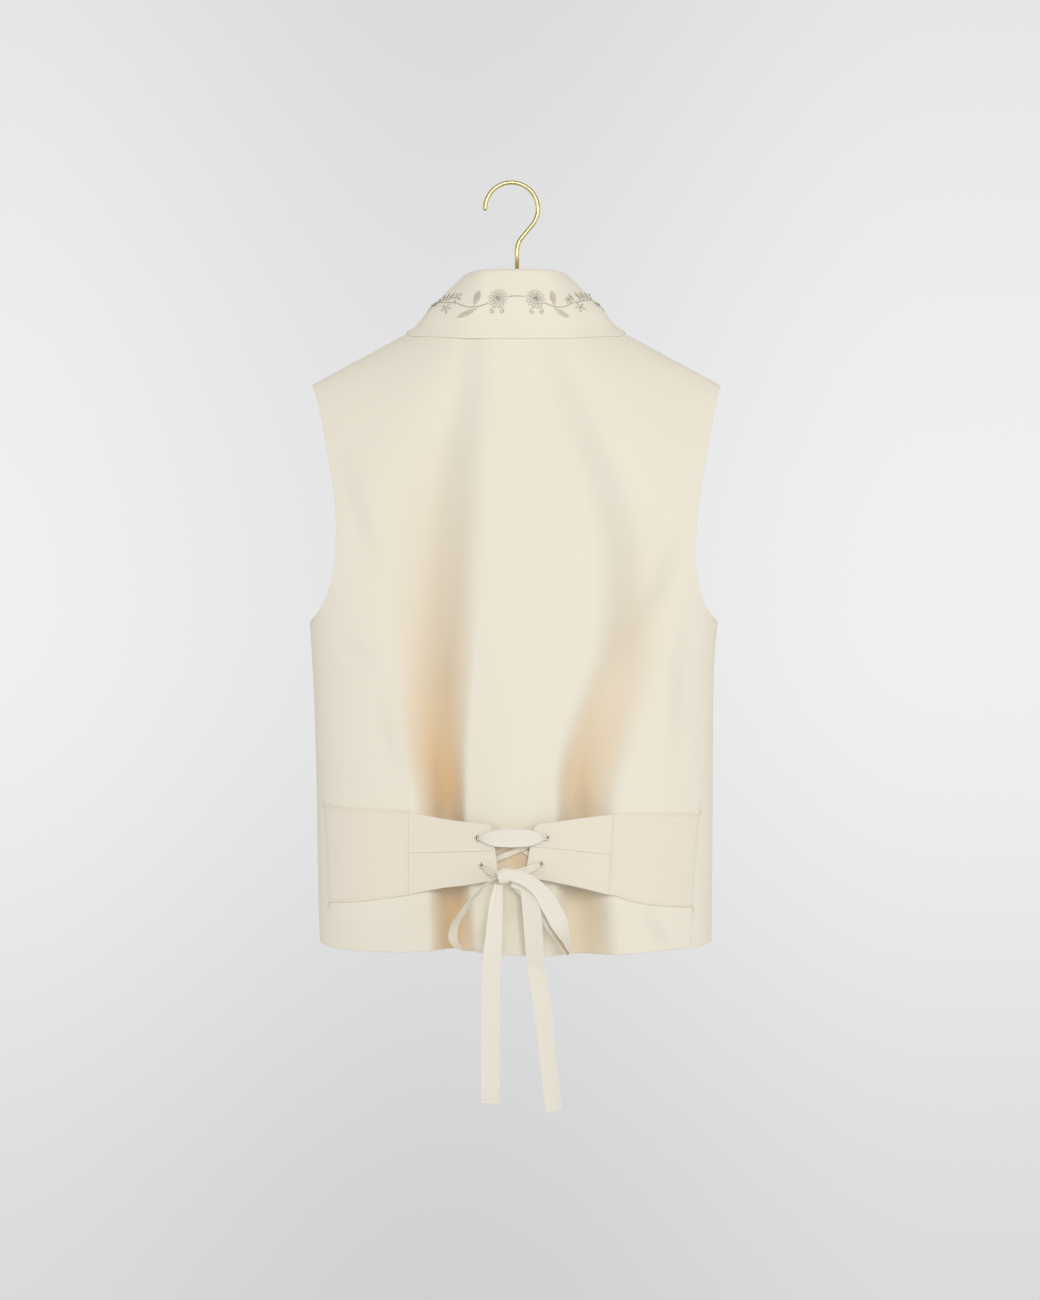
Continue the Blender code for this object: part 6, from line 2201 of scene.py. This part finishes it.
class ThreadTree(SewingTree):
    """Lays a round thread along each line."""

    name = "laid thread"
    sizes = {"Thread radius": 0.0003}
    SIDES = 6

    def make(self, desk: NodeDesk, given: Sockets) -> Socket:
        """A small circle swept along the lines, with closed ends."""
        lines = desk.add("GeometryNodeMeshToCurve", {"Mesh": given["Geometry"]})
        section = desk.add("GeometryNodeCurvePrimitiveCircle", {
            "Resolution": self.SIDES, "Radius": given["Thread radius"]})
        swept = desk.add("GeometryNodeCurveToMesh", {
            "Curve": lines.outputs[0], "Profile Curve": section.outputs[0], "Fill Caps": True})
        return swept.outputs[0]


class StitchTree(SewingTree):
    """Sews short stitches, sunk at their ends, one after another along each line."""

    name = "running stitch"
    sizes = {"Stitch length": 0.0022, "Stitch pitch": 0.003, "Thread radius": 0.0002}
    SEGMENTS = 6
    RINGS = 5
    SEED = 11
    SIZE_LEAST = 0.88
    SIZE_MOST = 1.08

    def make(self, desk: NodeDesk, given: Sockets) -> Socket:
        """A grain-shaped stitch set at each pitch, turned along the line."""
        lines = desk.add("GeometryNodeMeshToCurve", {"Mesh": given["Geometry"]})
        places = desk.add("GeometryNodeCurveToPoints", {
            "Curve": lines.outputs[0], "Length": given["Stitch pitch"]}, mode="LENGTH")
        grain = desk.add("GeometryNodeMeshUVSphere", {
            "Segments": self.SEGMENTS, "Rings": self.RINGS, "Radius": 1.0})
        half = desk.sum("MULTIPLY", given["Stitch length"], 0.5)
        size = desk.add("ShaderNodeCombineXYZ", {
            "X": given["Thread radius"], "Y": given["Thread radius"], "Z": half})
        stitch = desk.add("GeometryNodeTransform", {
            "Geometry": grain.outputs["Mesh"], "Scale": size.outputs[0]})
        uneven = self.uneven(desk, self.SIZE_LEAST, self.SIZE_MOST, self.SEED)
        sewn = desk.add("GeometryNodeInstanceOnPoints", {
            "Points": places.outputs["Points"], "Instance": stitch.outputs[0],
            "Rotation": places.outputs["Rotation"], "Scale": uneven})
        return sewn.outputs[0]


class BeadTree(SewingTree):
    """Sets a small bead on each point."""

    name = "sewn beads"
    sizes = {"Bead radius": 0.001}
    SEGMENTS = 9
    RINGS = 6
    SEED = 5
    SIZE_LEAST = 0.78
    SIZE_MOST = 1.15

    def make(self, desk: NodeDesk, given: Sockets) -> Socket:
        """A round bead of a slightly different size on each point."""
        bead = desk.add("GeometryNodeMeshUVSphere", {
            "Segments": self.SEGMENTS, "Rings": self.RINGS, "Radius": given["Bead radius"]})
        uneven = self.uneven(desk, self.SIZE_LEAST, self.SIZE_MOST, self.SEED)
        sewn = desk.add("GeometryNodeInstanceOnPoints", {
            "Points": given["Geometry"], "Instance": bead.outputs["Mesh"], "Scale": uneven})
        return sewn.outputs[0]


# ---------------------------------------------------------------- embroidery
class Spot(NamedTuple):
    """A place on the collar's fall: along it from the centre back, and down from the roll."""

    along: float
    down: float


class Rosette(NamedTuple):
    """A round many-petalled flower, with two curls below it."""

    at: Spot
    radius: float


class PetalRound(NamedTuple):
    """A round of petals: how many, their turn in steps, and their sizes as shares of the radius."""

    count: int
    turn: float
    root: float
    tip: float
    width: float


class Leaf(NamedTuple):
    """A satin-stitched leaf from its base to its tip."""

    base: Spot
    tip: Spot
    width: float


class Star(NamedTuple):
    """A small flower of a few pointed petals."""

    at: Spot
    radius: float
    petals: int
    turn: float


class Curl(NamedTuple):
    """A tendril: where it starts, the way it leaves in degrees, its length and its turning."""

    start: Spot
    leaves: float
    length: float
    turns: float


def leaves(*rows: Sequence[float]) -> list[Leaf]:
    """Leaves from rows of their base, tip and width."""
    return [Leaf(Spot(*row[:2]), Spot(*row[2:4]), row[4]) for row in rows]


ROSETTES = [Rosette(Spot(*at), radius) for *at, radius in (
    (-17.5, 32, 9.3), (19, 32.5, 9.3), (120, 33, 8.6), (193, 31, 8.4), (262, 29, 7.2), (-117, 34, 8.8),
    (-190, 32, 8.2), (-264, 28, 7.4),
)]
LEAVES = leaves(
    (-39.5, 39.5, -37.5, 22, 7.2), (36, 39.5, 37, 22.5, 6.4), (-35, 41.5, -55.5, 54.5, 5.2),
    (35, 41.5, 49, 53.5, 5), (94, 39.5, 88, 54, 5), (138, 37.5, 146, 22, 5.2), (146, 37, 160, 50, 5),
    (209, 33, 219, 19, 4.8), (216, 33.5, 230, 44, 4.6), (280, 26, 291, 14, 4),
    (-92, 39.5, -86, 54.5, 5), (-135, 38, -142, 22, 5.2), (-143, 37, -158, 49, 5),
    (-207, 33, -216, 19, 4.8), (-214, 33.5, -229, 44, 4.6), (-281, 26, -293, 14, 4),
)
STARS = [Star(Spot(*row[:2]), *row[2:]) for row in (
    (-60.5, 32.5, 6.6, 5, 20), (-66, 46, 6, 5, 60), (52, 34.5, 4.8, 6, 10), (60.5, 43.5, 6.2, 5, 40),
    (68, 33, 5.6, 5, 0), (160, 31, 6, 5, 30), (235, 29, 5.6, 5, 10), (300, 20, 4.6, 5, 45),
    (-158, 31, 6, 5, 15), (-236, 29, 5.6, 5, 50), (-301, 20, 4.6, 5, 5),
)]
SPRAYS = leaves(
    (-70, 38, -66, 26, 2.2), (-73, 38.5, -74, 27, 2.4), (-75, 39, -81, 30, 2.2),
    (-77, 40, -86, 36, 2.4), (-78, 41, -87, 46, 2.6), (58, 35.5, 54, 26.5, 2.2),
    (66, 36, 63, 25.5, 2.4), (73, 36.5, 72, 25, 2.4), (76, 37, 80, 27, 2.4), (78, 38, 87, 32, 2.4),
    (167, 33, 172, 23, 2.4), (171, 33, 180, 26, 2.4), (241, 30, 248, 21, 2.2),
    (-166, 33, -171, 23, 2.4), (-170, 33, -178, 26, 2.4), (-243, 30, -249, 21, 2.2),
)
VINES = [[Spot(*pair) for pair in line] for line in (
    ((-7.6, 30.2), (0, 29.8), (8.2, 30.2)),
    ((-26, 36.5), (-36.5, 40.3), (-45, 41.3), (-60, 38.5), (-76, 40.5), (-92, 39.5), (-109, 35)),
    ((27, 36.3), (36, 40.2), (44, 41.2), (58, 37.6), (76, 37.5), (94, 39.5), (112, 35)),
    ((-125, 35.5), (-136, 38.5), (-150, 35.5), (-166, 33.5), (-182, 33)),
    ((128, 35), (139, 38), (153, 35), (168, 33.5), (185, 32)),
    ((-198, 32.5), (-210, 34), (-226, 31.5), (-243, 30), (-257, 28.5)),
    ((201, 31.5), (213, 34), (228, 31.5), (243, 30), (255, 29.5)),
    ((-271, 27.5), (-284, 25), (-300, 20), (-311, 15.5)),
    ((269, 28.5), (282, 25.5), (298, 20.5), (310, 16)),
)]
TENDRILS = [Curl(Spot(*row[:2]), *row[2:]) for row in (
    (100, 38, 60, 15, 260), (176, 33, 70, 13, -250), (249, 30, 60, 12, 250), (-99, 38.5, 120, 15, -260),
    (-174, 33.5, 110, 13, 250), (-250, 30, 115, 12, -250),
)]
BEAD_SPOTS = [Spot(*pair) for pair in (
    (-17.5, 32), (-18.6, 31), (-16.5, 33), (18.2, 32), (19.8, 33.2), (20, 31.2), (-60.5, 32.5),
    (-66, 46), (60.5, 43.5), (52, 34.5), (68, 33), (-82, 42.5), (-84.2, 43.6), (-83.6, 46), (-81.4, 45),
    (-86.5, 45.4), (81, 42), (83.4, 42.6), (82.2, 44.8), (84.8, 45.4), (86.4, 43.4), (84, 31.5),
    (86, 30.4), (120, 33), (118.8, 32), (193, 31), (194.2, 32), (262, 29), (-117, 34), (-118.2, 33),
    (-190, 32), (-188.8, 31), (-264, 28), (160, 31), (235, 29), (300, 20), (-158, 31), (-236, 29),
    (-301, 20),
)]


class CollarFace:
    """The outer face of the collar's fall, laid out by lengths along and down it."""

    REFERENCE_DOWN = 31.0
    REFERENCE_SHARE = 0.55

    def __init__(self, collar: Collar) -> None:
        """Measure the fall along its middle and down each of its rows."""
        self.rows = [row[collar.stand_cells:] for row in collar.grid()]
        self.downs = [self._lengths([point.place for point in row]) for row in self.rows]
        middle = [self._in_row(i, min(self.REFERENCE_DOWN, self.REFERENCE_SHARE * downs[-1])).place
                  for i, downs in enumerate(self.downs)]
        lengths = self._lengths(middle)
        centre = lengths[len(lengths) // 2]
        self.alongs = [length - centre for length in lengths]

    @staticmethod
    def _lengths(places: Sequence[Vector]) -> list[float]:
        """Distance along a row of points to each of them, in millimetres."""
        return [length / MM for length in running_lengths(places)]

    def _in_row(self, index: int, down: float) -> ClothPoint:
        """A point of one row at a length down it."""
        row, downs = self.rows[index], self.downs[index]
        j = min(len(row) - 2, max(0, bisect_right(downs, down) - 1))
        t = (down - downs[j]) / (downs[j + 1] - downs[j])
        return ClothPoint(row[j].place.lerp(row[j + 1].place, t), row[j].out.lerp(row[j + 1].out, t))

    def point(self, spot: Spot) -> ClothPoint:
        """A point of the fall's face."""
        i = min(len(self.rows) - 2, max(0, bisect_right(self.alongs, spot.along) - 1))
        t = (spot.along - self.alongs[i]) / (self.alongs[i + 1] - self.alongs[i])
        a, b = self._in_row(i, spot.down), self._in_row(i + 1, spot.down)
        return ClothPoint(a.place.lerp(b.place, t), a.out.lerp(b.out, t).normalized())


def toward(start: Spot, degrees: float, length: float) -> Spot:
    """The place a length away from another, in degrees from along to down."""
    turn = math.radians(degrees)
    return Spot(start.along + length * math.cos(turn), start.down + length * math.sin(turn))


@dataclass
class Embroidery:
    """Silver-grey thread flowers, leaves and vines round the collar, with smoky beads."""

    collar: Collar
    silk: ThreadFinish = SILVER_THREAD
    dark_silk: ThreadFinish = STEEL_THREAD
    glass: BeadFinish = SMOKE_BEADS
    thread_radius: float = 0.19
    cord_radius: float = 0.34
    bead_radius: float = 0.85
    lift: float = 0.42
    rest: float = 0.16
    satin_pitch: float = 0.85
    satin_slant: float = 0.55
    petal_steps: int = 10
    petal_lift: float = 0.15
    rounds: tuple[PetalRound, ...] = (
        PetalRound(13, 0.0, 0.5, 1.0, 0.3), PetalRound(8, 0.5, 0.18, 0.52, 0.24))
    curl_steps: int = 18
    curl_apart_degrees: float = 9.0
    curl_start: float = 0.95
    curl_leaves_degrees: float = 82.0
    curl_length: float = 1.75
    curl_turns: float = 420.0
    rib_length: float = 0.92
    leaf_closing: float = 1.06
    leaf_fullness: float = 0.8
    star_root: float = 0.18
    star_petal_width: float = 0.42
    strand_away: float = 0.24
    vine_pitch: float = 1.6

    def __post_init__(self) -> None:
        """Measure the collar's fall, with no thread on it yet."""
        self.face = CollarFace(self.collar)
        self.threads: dict[str, list[list[Vector]]] = {"petal": [], "leaf": [], "vine": [], "spray": []}

    def _lay(self, kind: str, line: Sequence[Spot], lift: float | None = None) -> None:
        """Lay a thread on the collar along a line, raised in its middle."""
        lift = self.lift if lift is None else lift
        laid = []
        for i, spot in enumerate(line):
            place, out = self.face.point(spot)
            laid.append(place + out * (self.rest + lift * math.sin(math.pi * i / (len(line) - 1))))
        self.threads[kind].append(laid)

    def _petal(self, at: Spot, degrees: float, inner: float, outer: float, width: float) -> None:
        """A petal worked as one looped stitch from its root round its tip."""
        line = []
        for k in range(self.petal_steps + 1):
            turn = 2.0 * math.pi * k / self.petal_steps
            reach = blend(inner, outer, 0.5 - 0.5 * math.cos(turn))
            away = 0.5 * width * math.sin(turn) * (reach / outer) ** 0.5
            line.append(toward(toward(at, degrees, reach), degrees + 90.0, away))
        self._lay("petal", line, self.petal_lift)

    def _rosette(self, rosette: Rosette) -> None:
        """Two rounds of petals, and two curls below."""
        at, radius = rosette
        for count, turn, root, tip, width in self.rounds:
            for k in range(count):
                self._petal(at, 360.0 / count * (k + turn), root * radius, tip * radius, width * radius)
        for hand in (-1.0, 1.0):
            start = toward(at, 90.0 - self.curl_apart_degrees * hand, self.curl_start * radius)
            self._curl(Curl(start, 90.0 - self.curl_leaves_degrees * hand, self.curl_length * radius,
                            self.curl_turns * hand))

    def _curl(self, curl: Curl) -> None:
        """A tendril that turns tighter as it goes."""
        spot, heading = curl.start, curl.leaves
        line = [spot]
        step = curl.length / self.curl_steps
        for i in range(self.curl_steps):
            heading += 2.0 * curl.turns * (i + 0.5) / self.curl_steps**2
            spot = toward(spot, heading, step)
            line.append(spot)
        self._lay("vine", line, 0.0)

    def _leaf(self, kind: str, leaf: Leaf) -> None:
        """Slanted satin stitches from a midrib to the leaf's outline, on both sides."""
        base, tip, width = leaf
        degrees = math.degrees(math.atan2(tip.down - base.down, tip.along - base.along))
        length = math.hypot(tip.along - base.along, tip.down - base.down)
        count = max(3, round(length / self.satin_pitch))
        for k in range(count):
            share = (k + 0.5) / count
            rib = toward(base, degrees, length * share * self.rib_length)
            closing = min(1.0, share * self.leaf_closing)
            half = 0.5 * width * math.sin(math.pi * closing) ** self.leaf_fullness
            for hand in (-1.0, 1.0):
                end = toward(toward(rib, degrees, self.satin_slant * half), degrees + 90.0 * hand, half)
                self._lay(kind, [rib, Spot(*blend(Vector(rib), Vector(end), 0.5)), end])

    def _star(self, star: Star) -> None:
        """A few pointed petals round a middle."""
        for k in range(star.petals):
            degrees = star.turn + 360.0 * k / star.petals
            root = toward(star.at, degrees, self.star_root * star.radius)
            tip = toward(star.at, degrees, star.radius)
            self._leaf("leaf", Leaf(root, tip, self.star_petal_width * star.radius))

    def _vine(self, spots: Sequence[Spot]) -> None:
        """Two strands twisted a little round a smooth line through the spots."""
        table = Table("key along down", *[(i, *spot) for i, spot in enumerate(spots)])
        count = max(4, round(sum(math.dist(a, b) for a, b in zip(spots, spots[1:])) / self.vine_pitch))
        for phase in (0.0, math.pi):
            line = []
            for i in range(count + 1):
                key = (len(spots) - 1) * i / count
                away = self.strand_away * math.cos(phase + 0.5 * math.pi * i)
                line.append(Spot(table.read(key, "along"), table.read(key, "down") + away))
            self._lay("vine", line, 0.0)

    def build(self) -> list[Piece]:
        """Work every motif and sew the threads and the beads."""
        for rosette in ROSETTES:
            self._rosette(rosette)
        for kind, motifs in (("leaf", LEAVES), ("spray", SPRAYS)):
            for leaf in motifs:
                self._leaf(kind, leaf)
        for star in STARS:
            self._star(star)
        for spots in VINES:
            self._vine(spots)
        for tendril in TENDRILS:
            self._curl(tendril)
        pieces = []
        for kind, lines in self.threads.items():
            silk = self.silk if kind == "leaf" else self.dark_silk
            radius = self.cord_radius if kind == "vine" else self.thread_radius
            pieces.append(ThreadTree().sew(f"collar_{kind}_threads", lines, silk, thread_radius=radius))
        beads = [place + out * (self.lift + self.bead_radius)
                 for place, out in map(self.face.point, BEAD_SPOTS)]
        pieces.append(BeadTree().sew("collar_beads", [beads], self.glass, bead_radius=self.bead_radius))
        return pieces


# ---------------------------------------------------------------- stitching
@dataclass
class Stitching:
    """Edge stitching on the belt, bar tacks, the ribbon's hem and the worked buttonholes."""

    form: BodyForm
    belt: HalfBelt
    ribbon: LacingRibbon
    cotton: ThreadFinish = SEWING_THREAD
    thread_radius: float = 0.16
    above: float = 0.05
    inset: float = 2.2
    tack_rows: int = 2
    tack_pitch: float = 0.45
    tack_length: float = 5.5
    tack_past_edge: float = 1.2
    hem_row: int = 2
    hole_heights: tuple[float, ...] = CoveredButtons.heights
    hole_ends: tuple[float, float] = (-11.5, 10.0)
    hole_half: float = 1.3
    hole_pitch: float = 0.75
    hole_lip: float = 0.15
    hole_end_gap: float = 0.3

    def _raised(self, points: Sequence[ClothPoint]) -> list[Vector]:
        """Places just above a row of points of a face."""
        return [point.place + point.out * self.above for point in points]

    def _inside(self, grid: Grid, row: int, step: int) -> list[Vector]:
        """A line along a grid's row, moved in from the edge by the stitching's inset."""
        line = []
        for edge, inner in zip(grid[row], grid[row + step]):
            across = (inner.place - edge.place).normalized() * self.inset
            line.append(edge.place + across + edge.out * self.above)
        return line

    def patch_lines(self, hand: Hand) -> list[list[Vector]]:
        """Stitching along a patch's four edges."""
        grid = self.belt.patch_grid(hand)
        turned = [list(column) for column in zip(*grid)]
        return [self._inside(grid, 0, 1), self._inside(grid, -1, -1),
                self._inside(turned, 0, 1), self._inside(turned, -1, -1)]

    def tacks(self, hand: Hand) -> list[list[Vector]]:
        """Dense short bars over a patch's outer corners."""
        grid = self.belt.patch_grid(hand)
        lines = []
        for row, away in ((0, 1.0), (-1, -1.0)):
            corner, inner = grid[row][0], grid[row][1]
            across = (inner.place - corner.place).normalized()
            for k in range(self.tack_rows):
                along = self.tack_pitch * k - self.tack_past_edge
                start = corner.place + across * along + corner.out * self.above
                end = start + Vector((0.0, 0.0, away * self.tack_length))
                lines.append([start, start.lerp(end, 0.5), end])
        return lines

    def hem(self) -> list[list[Vector]]:
        """A line of stitches across the left tail's turned end."""
        grid = self.ribbon.stretch_grid(RIBBON_STRETCHES["bow_tail_left"])
        return [self._raised(grid[-self.hem_row])]

    def buttonholes(self) -> list[list[Vector]]:
        """Short stitches side by side round each hole's two lips and ends."""
        lines = []
        first, last = self.hole_ends
        count = round((last - first) / self.hole_pitch)
        for height in self.hole_heights:
            for k in range(count + 1):
                x = blend(first, last, k / count)
                for hand in (-1.0, 1.0):
                    ends = [self.form.cloth_point(x, height + hand * away, Side.FRONT)
                            for away in (self.hole_lip, 0.5 * self.hole_half, self.hole_half)]
                    lines.append(self._raised(ends))
            for x in (first - self.hole_end_gap, last + self.hole_end_gap):
                ends = [self.form.cloth_point(x, height + away, Side.FRONT)
                        for away in (-self.hole_half, 0.0, self.hole_half)]
                lines.append(self._raised(ends))
        return lines

    def build(self) -> list[Piece]:
        """Sew every line."""
        stitch, thread = StitchTree(), ThreadTree()
        pieces = []
        for hand in Hand:
            pieces.append(self._sewn(stitch, f"belt_stitches_{hand.column}", self.patch_lines(hand)))
            pieces.append(self._sewn(thread, f"bar_tacks_{hand.column}", self.tacks(hand)))
        pieces.append(self._sewn(stitch, "ribbon_hem_stitches", self.hem()))
        pieces.append(self._sewn(thread, "buttonhole_stitches", self.buttonholes(), 2.0))
        return pieces

    def _sewn(self, tree: SewingTree, name: str, lines: list[list[Vector]], size: float = 1.0) -> Piece:
        """Sew lines in cotton of one or more times the usual thickness."""
        return tree.sew(name, lines, self.cotton, thread_radius=size * self.thread_radius)


# ---------------------------------------------------------------- studio
@dataclass(frozen=True)
class SoftBox:
    """A soft rectangular light."""

    name: str
    place: tuple[float, float, float]
    aim: tuple[float, float, float]
    size: tuple[float, float]
    watts: float
    colour: Colour = (1.0, 1.0, 1.0)

    def build(self) -> None:
        """Hang the light and turn it to its aim."""
        light = bpy.data.lights.new(self.name, "AREA")
        light.shape = "RECTANGLE"
        light.size, light.size_y = self.size
        light.energy = self.watts
        light.color = self.colour
        lamp = bpy.data.objects.new(self.name, light)
        lamp.location = self.place
        lamp.rotation_euler = (Vector(self.aim) - lamp.location).to_track_quat("-Z", "Y").to_euler()
        bpy.context.scene.collection.objects.link(lamp)


@dataclass
class Studio:
    """A plain pale sweep, soft lights in front and a camera square to the garment's back."""

    distance: float = 2300.0
    centre_px: tuple[float, float] = (516.0, 650.0)
    image_px: tuple[int, int] = (1040, 1300)
    centre_z: float = -465.0
    px_per_mm: float = 1.0
    sensor: float = 36.0
    sweep_y: float = 900.0
    sweep_half_width: float = 2600.0
    floor_z: float = -1500.0
    wall_top_z: float = 1400.0
    sweep_radius: float = 500.0
    floor_front_y: float = -2600.0
    sweep_steps: int = 24
    ambient: float = 0.34
    ambient_colour: Colour = (1.0, 0.99, 0.97)
    clip_end: float = 100.0
    boxes: tuple[SoftBox, ...] = (
        SoftBox("front_box", (0.35, -2.9, 0.4), (0.0, 0.0, -0.45), (1.8, 1.8), 41.0),
        SoftBox("left_box", (-2.3, -1.5, -0.1), (0.0, 0.0, -0.45), (0.8, 1.6), 11.0),
        SoftBox("right_box", (2.3, -1.3, -0.1), (0.0, 0.0, -0.45), (0.8, 1.6), 11.0),
        SoftBox("back_box", (0.0, 0.85, 1.2), (0.0, 0.0, -0.2), (1.6, 0.5), 4.0),
    )

    def _sweep(self) -> Piece:
        """The wall behind, curved down into the floor."""
        profile = [Vector((0.0, self.sweep_y, self.wall_top_z))]
        middle_y, middle_z = self.sweep_y - self.sweep_radius, self.floor_z + self.sweep_radius
        for i in range(self.sweep_steps + 1):
            turn = 0.5 * math.pi * i / self.sweep_steps
            profile.append(Vector((0.0, middle_y + self.sweep_radius * math.cos(turn),
                                   middle_z - self.sweep_radius * math.sin(turn))))
        profile.append(Vector((0.0, self.floor_front_y, self.floor_z)))
        vertices, faces = [], []
        for point in profile:
            for x in (-self.sweep_half_width, self.sweep_half_width):
                vertices.append(point + Vector((x, 0.0, 0.0)))
        for i in range(len(profile) - 1):
            a = 2 * i
            faces.append((a, a + 1, a + 3, a + 2))
        return add_piece("studio_sweep", mesh_from("studio_sweep", vertices, faces), PAPER.material())

    def build(self) -> None:
        """Set up the sweep, the lights, the world and the camera."""
        self._sweep()
        for box in self.boxes:
            box.build()
        world = bpy.data.worlds.new("studio")
        world.use_nodes = True
        background = world.node_tree.nodes["Background"]
        background.inputs["Color"].default_value = (*self.ambient_colour, 1.0)
        background.inputs["Strength"].default_value = self.ambient
        bpy.context.scene.world = world
        bpy.context.scene.view_settings.view_transform = "Standard"
        self._camera()

    def _camera(self) -> None:
        """Stand the camera behind the garment, square to it."""
        data = bpy.data.cameras.new("camera")
        data.sensor_fit = "VERTICAL"
        data.sensor_height = self.sensor
        data.lens = self.sensor * self.distance * self.px_per_mm / self.image_px[1]
        data.clip_end = self.clip_end
        camera = bpy.data.objects.new("camera", data)
        off_centre = (0.5 * self.image_px[0] - self.centre_px[0]) / self.px_per_mm
        camera.location = Vector((off_centre, -self.distance, self.centre_z)) * MM
        camera.rotation_euler = (math.radians(90.0), 0.0, 0.0)
        bpy.context.scene.collection.objects.link(camera)
        bpy.context.scene.camera = camera


def main() -> None:
    """Make every sub-assembly in order and log each of its pieces with its face count."""
    logging.basicConfig(level=logging.INFO, format="%(name)s: %(message)s")
    form = BodyForm()
    Studio().build()
    collar, belt, ribbon = Collar(form), HalfBelt(form), LacingRibbon()
    assemblies = (Hanger(form), Body(form), collar, belt, CoveredButtons(form), ribbon,
                  Embroidery(collar), Stitching(form, belt, ribbon))
    for assembly in assemblies:
        made = assembly.build()
        for piece in made if isinstance(made, list) else [made]:
            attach(piece, "root")
            log.info("%s: %s, %d faces", type(assembly).__name__, piece.name, len(piece.data.polygons))


if __name__ == "__main__":
    main()
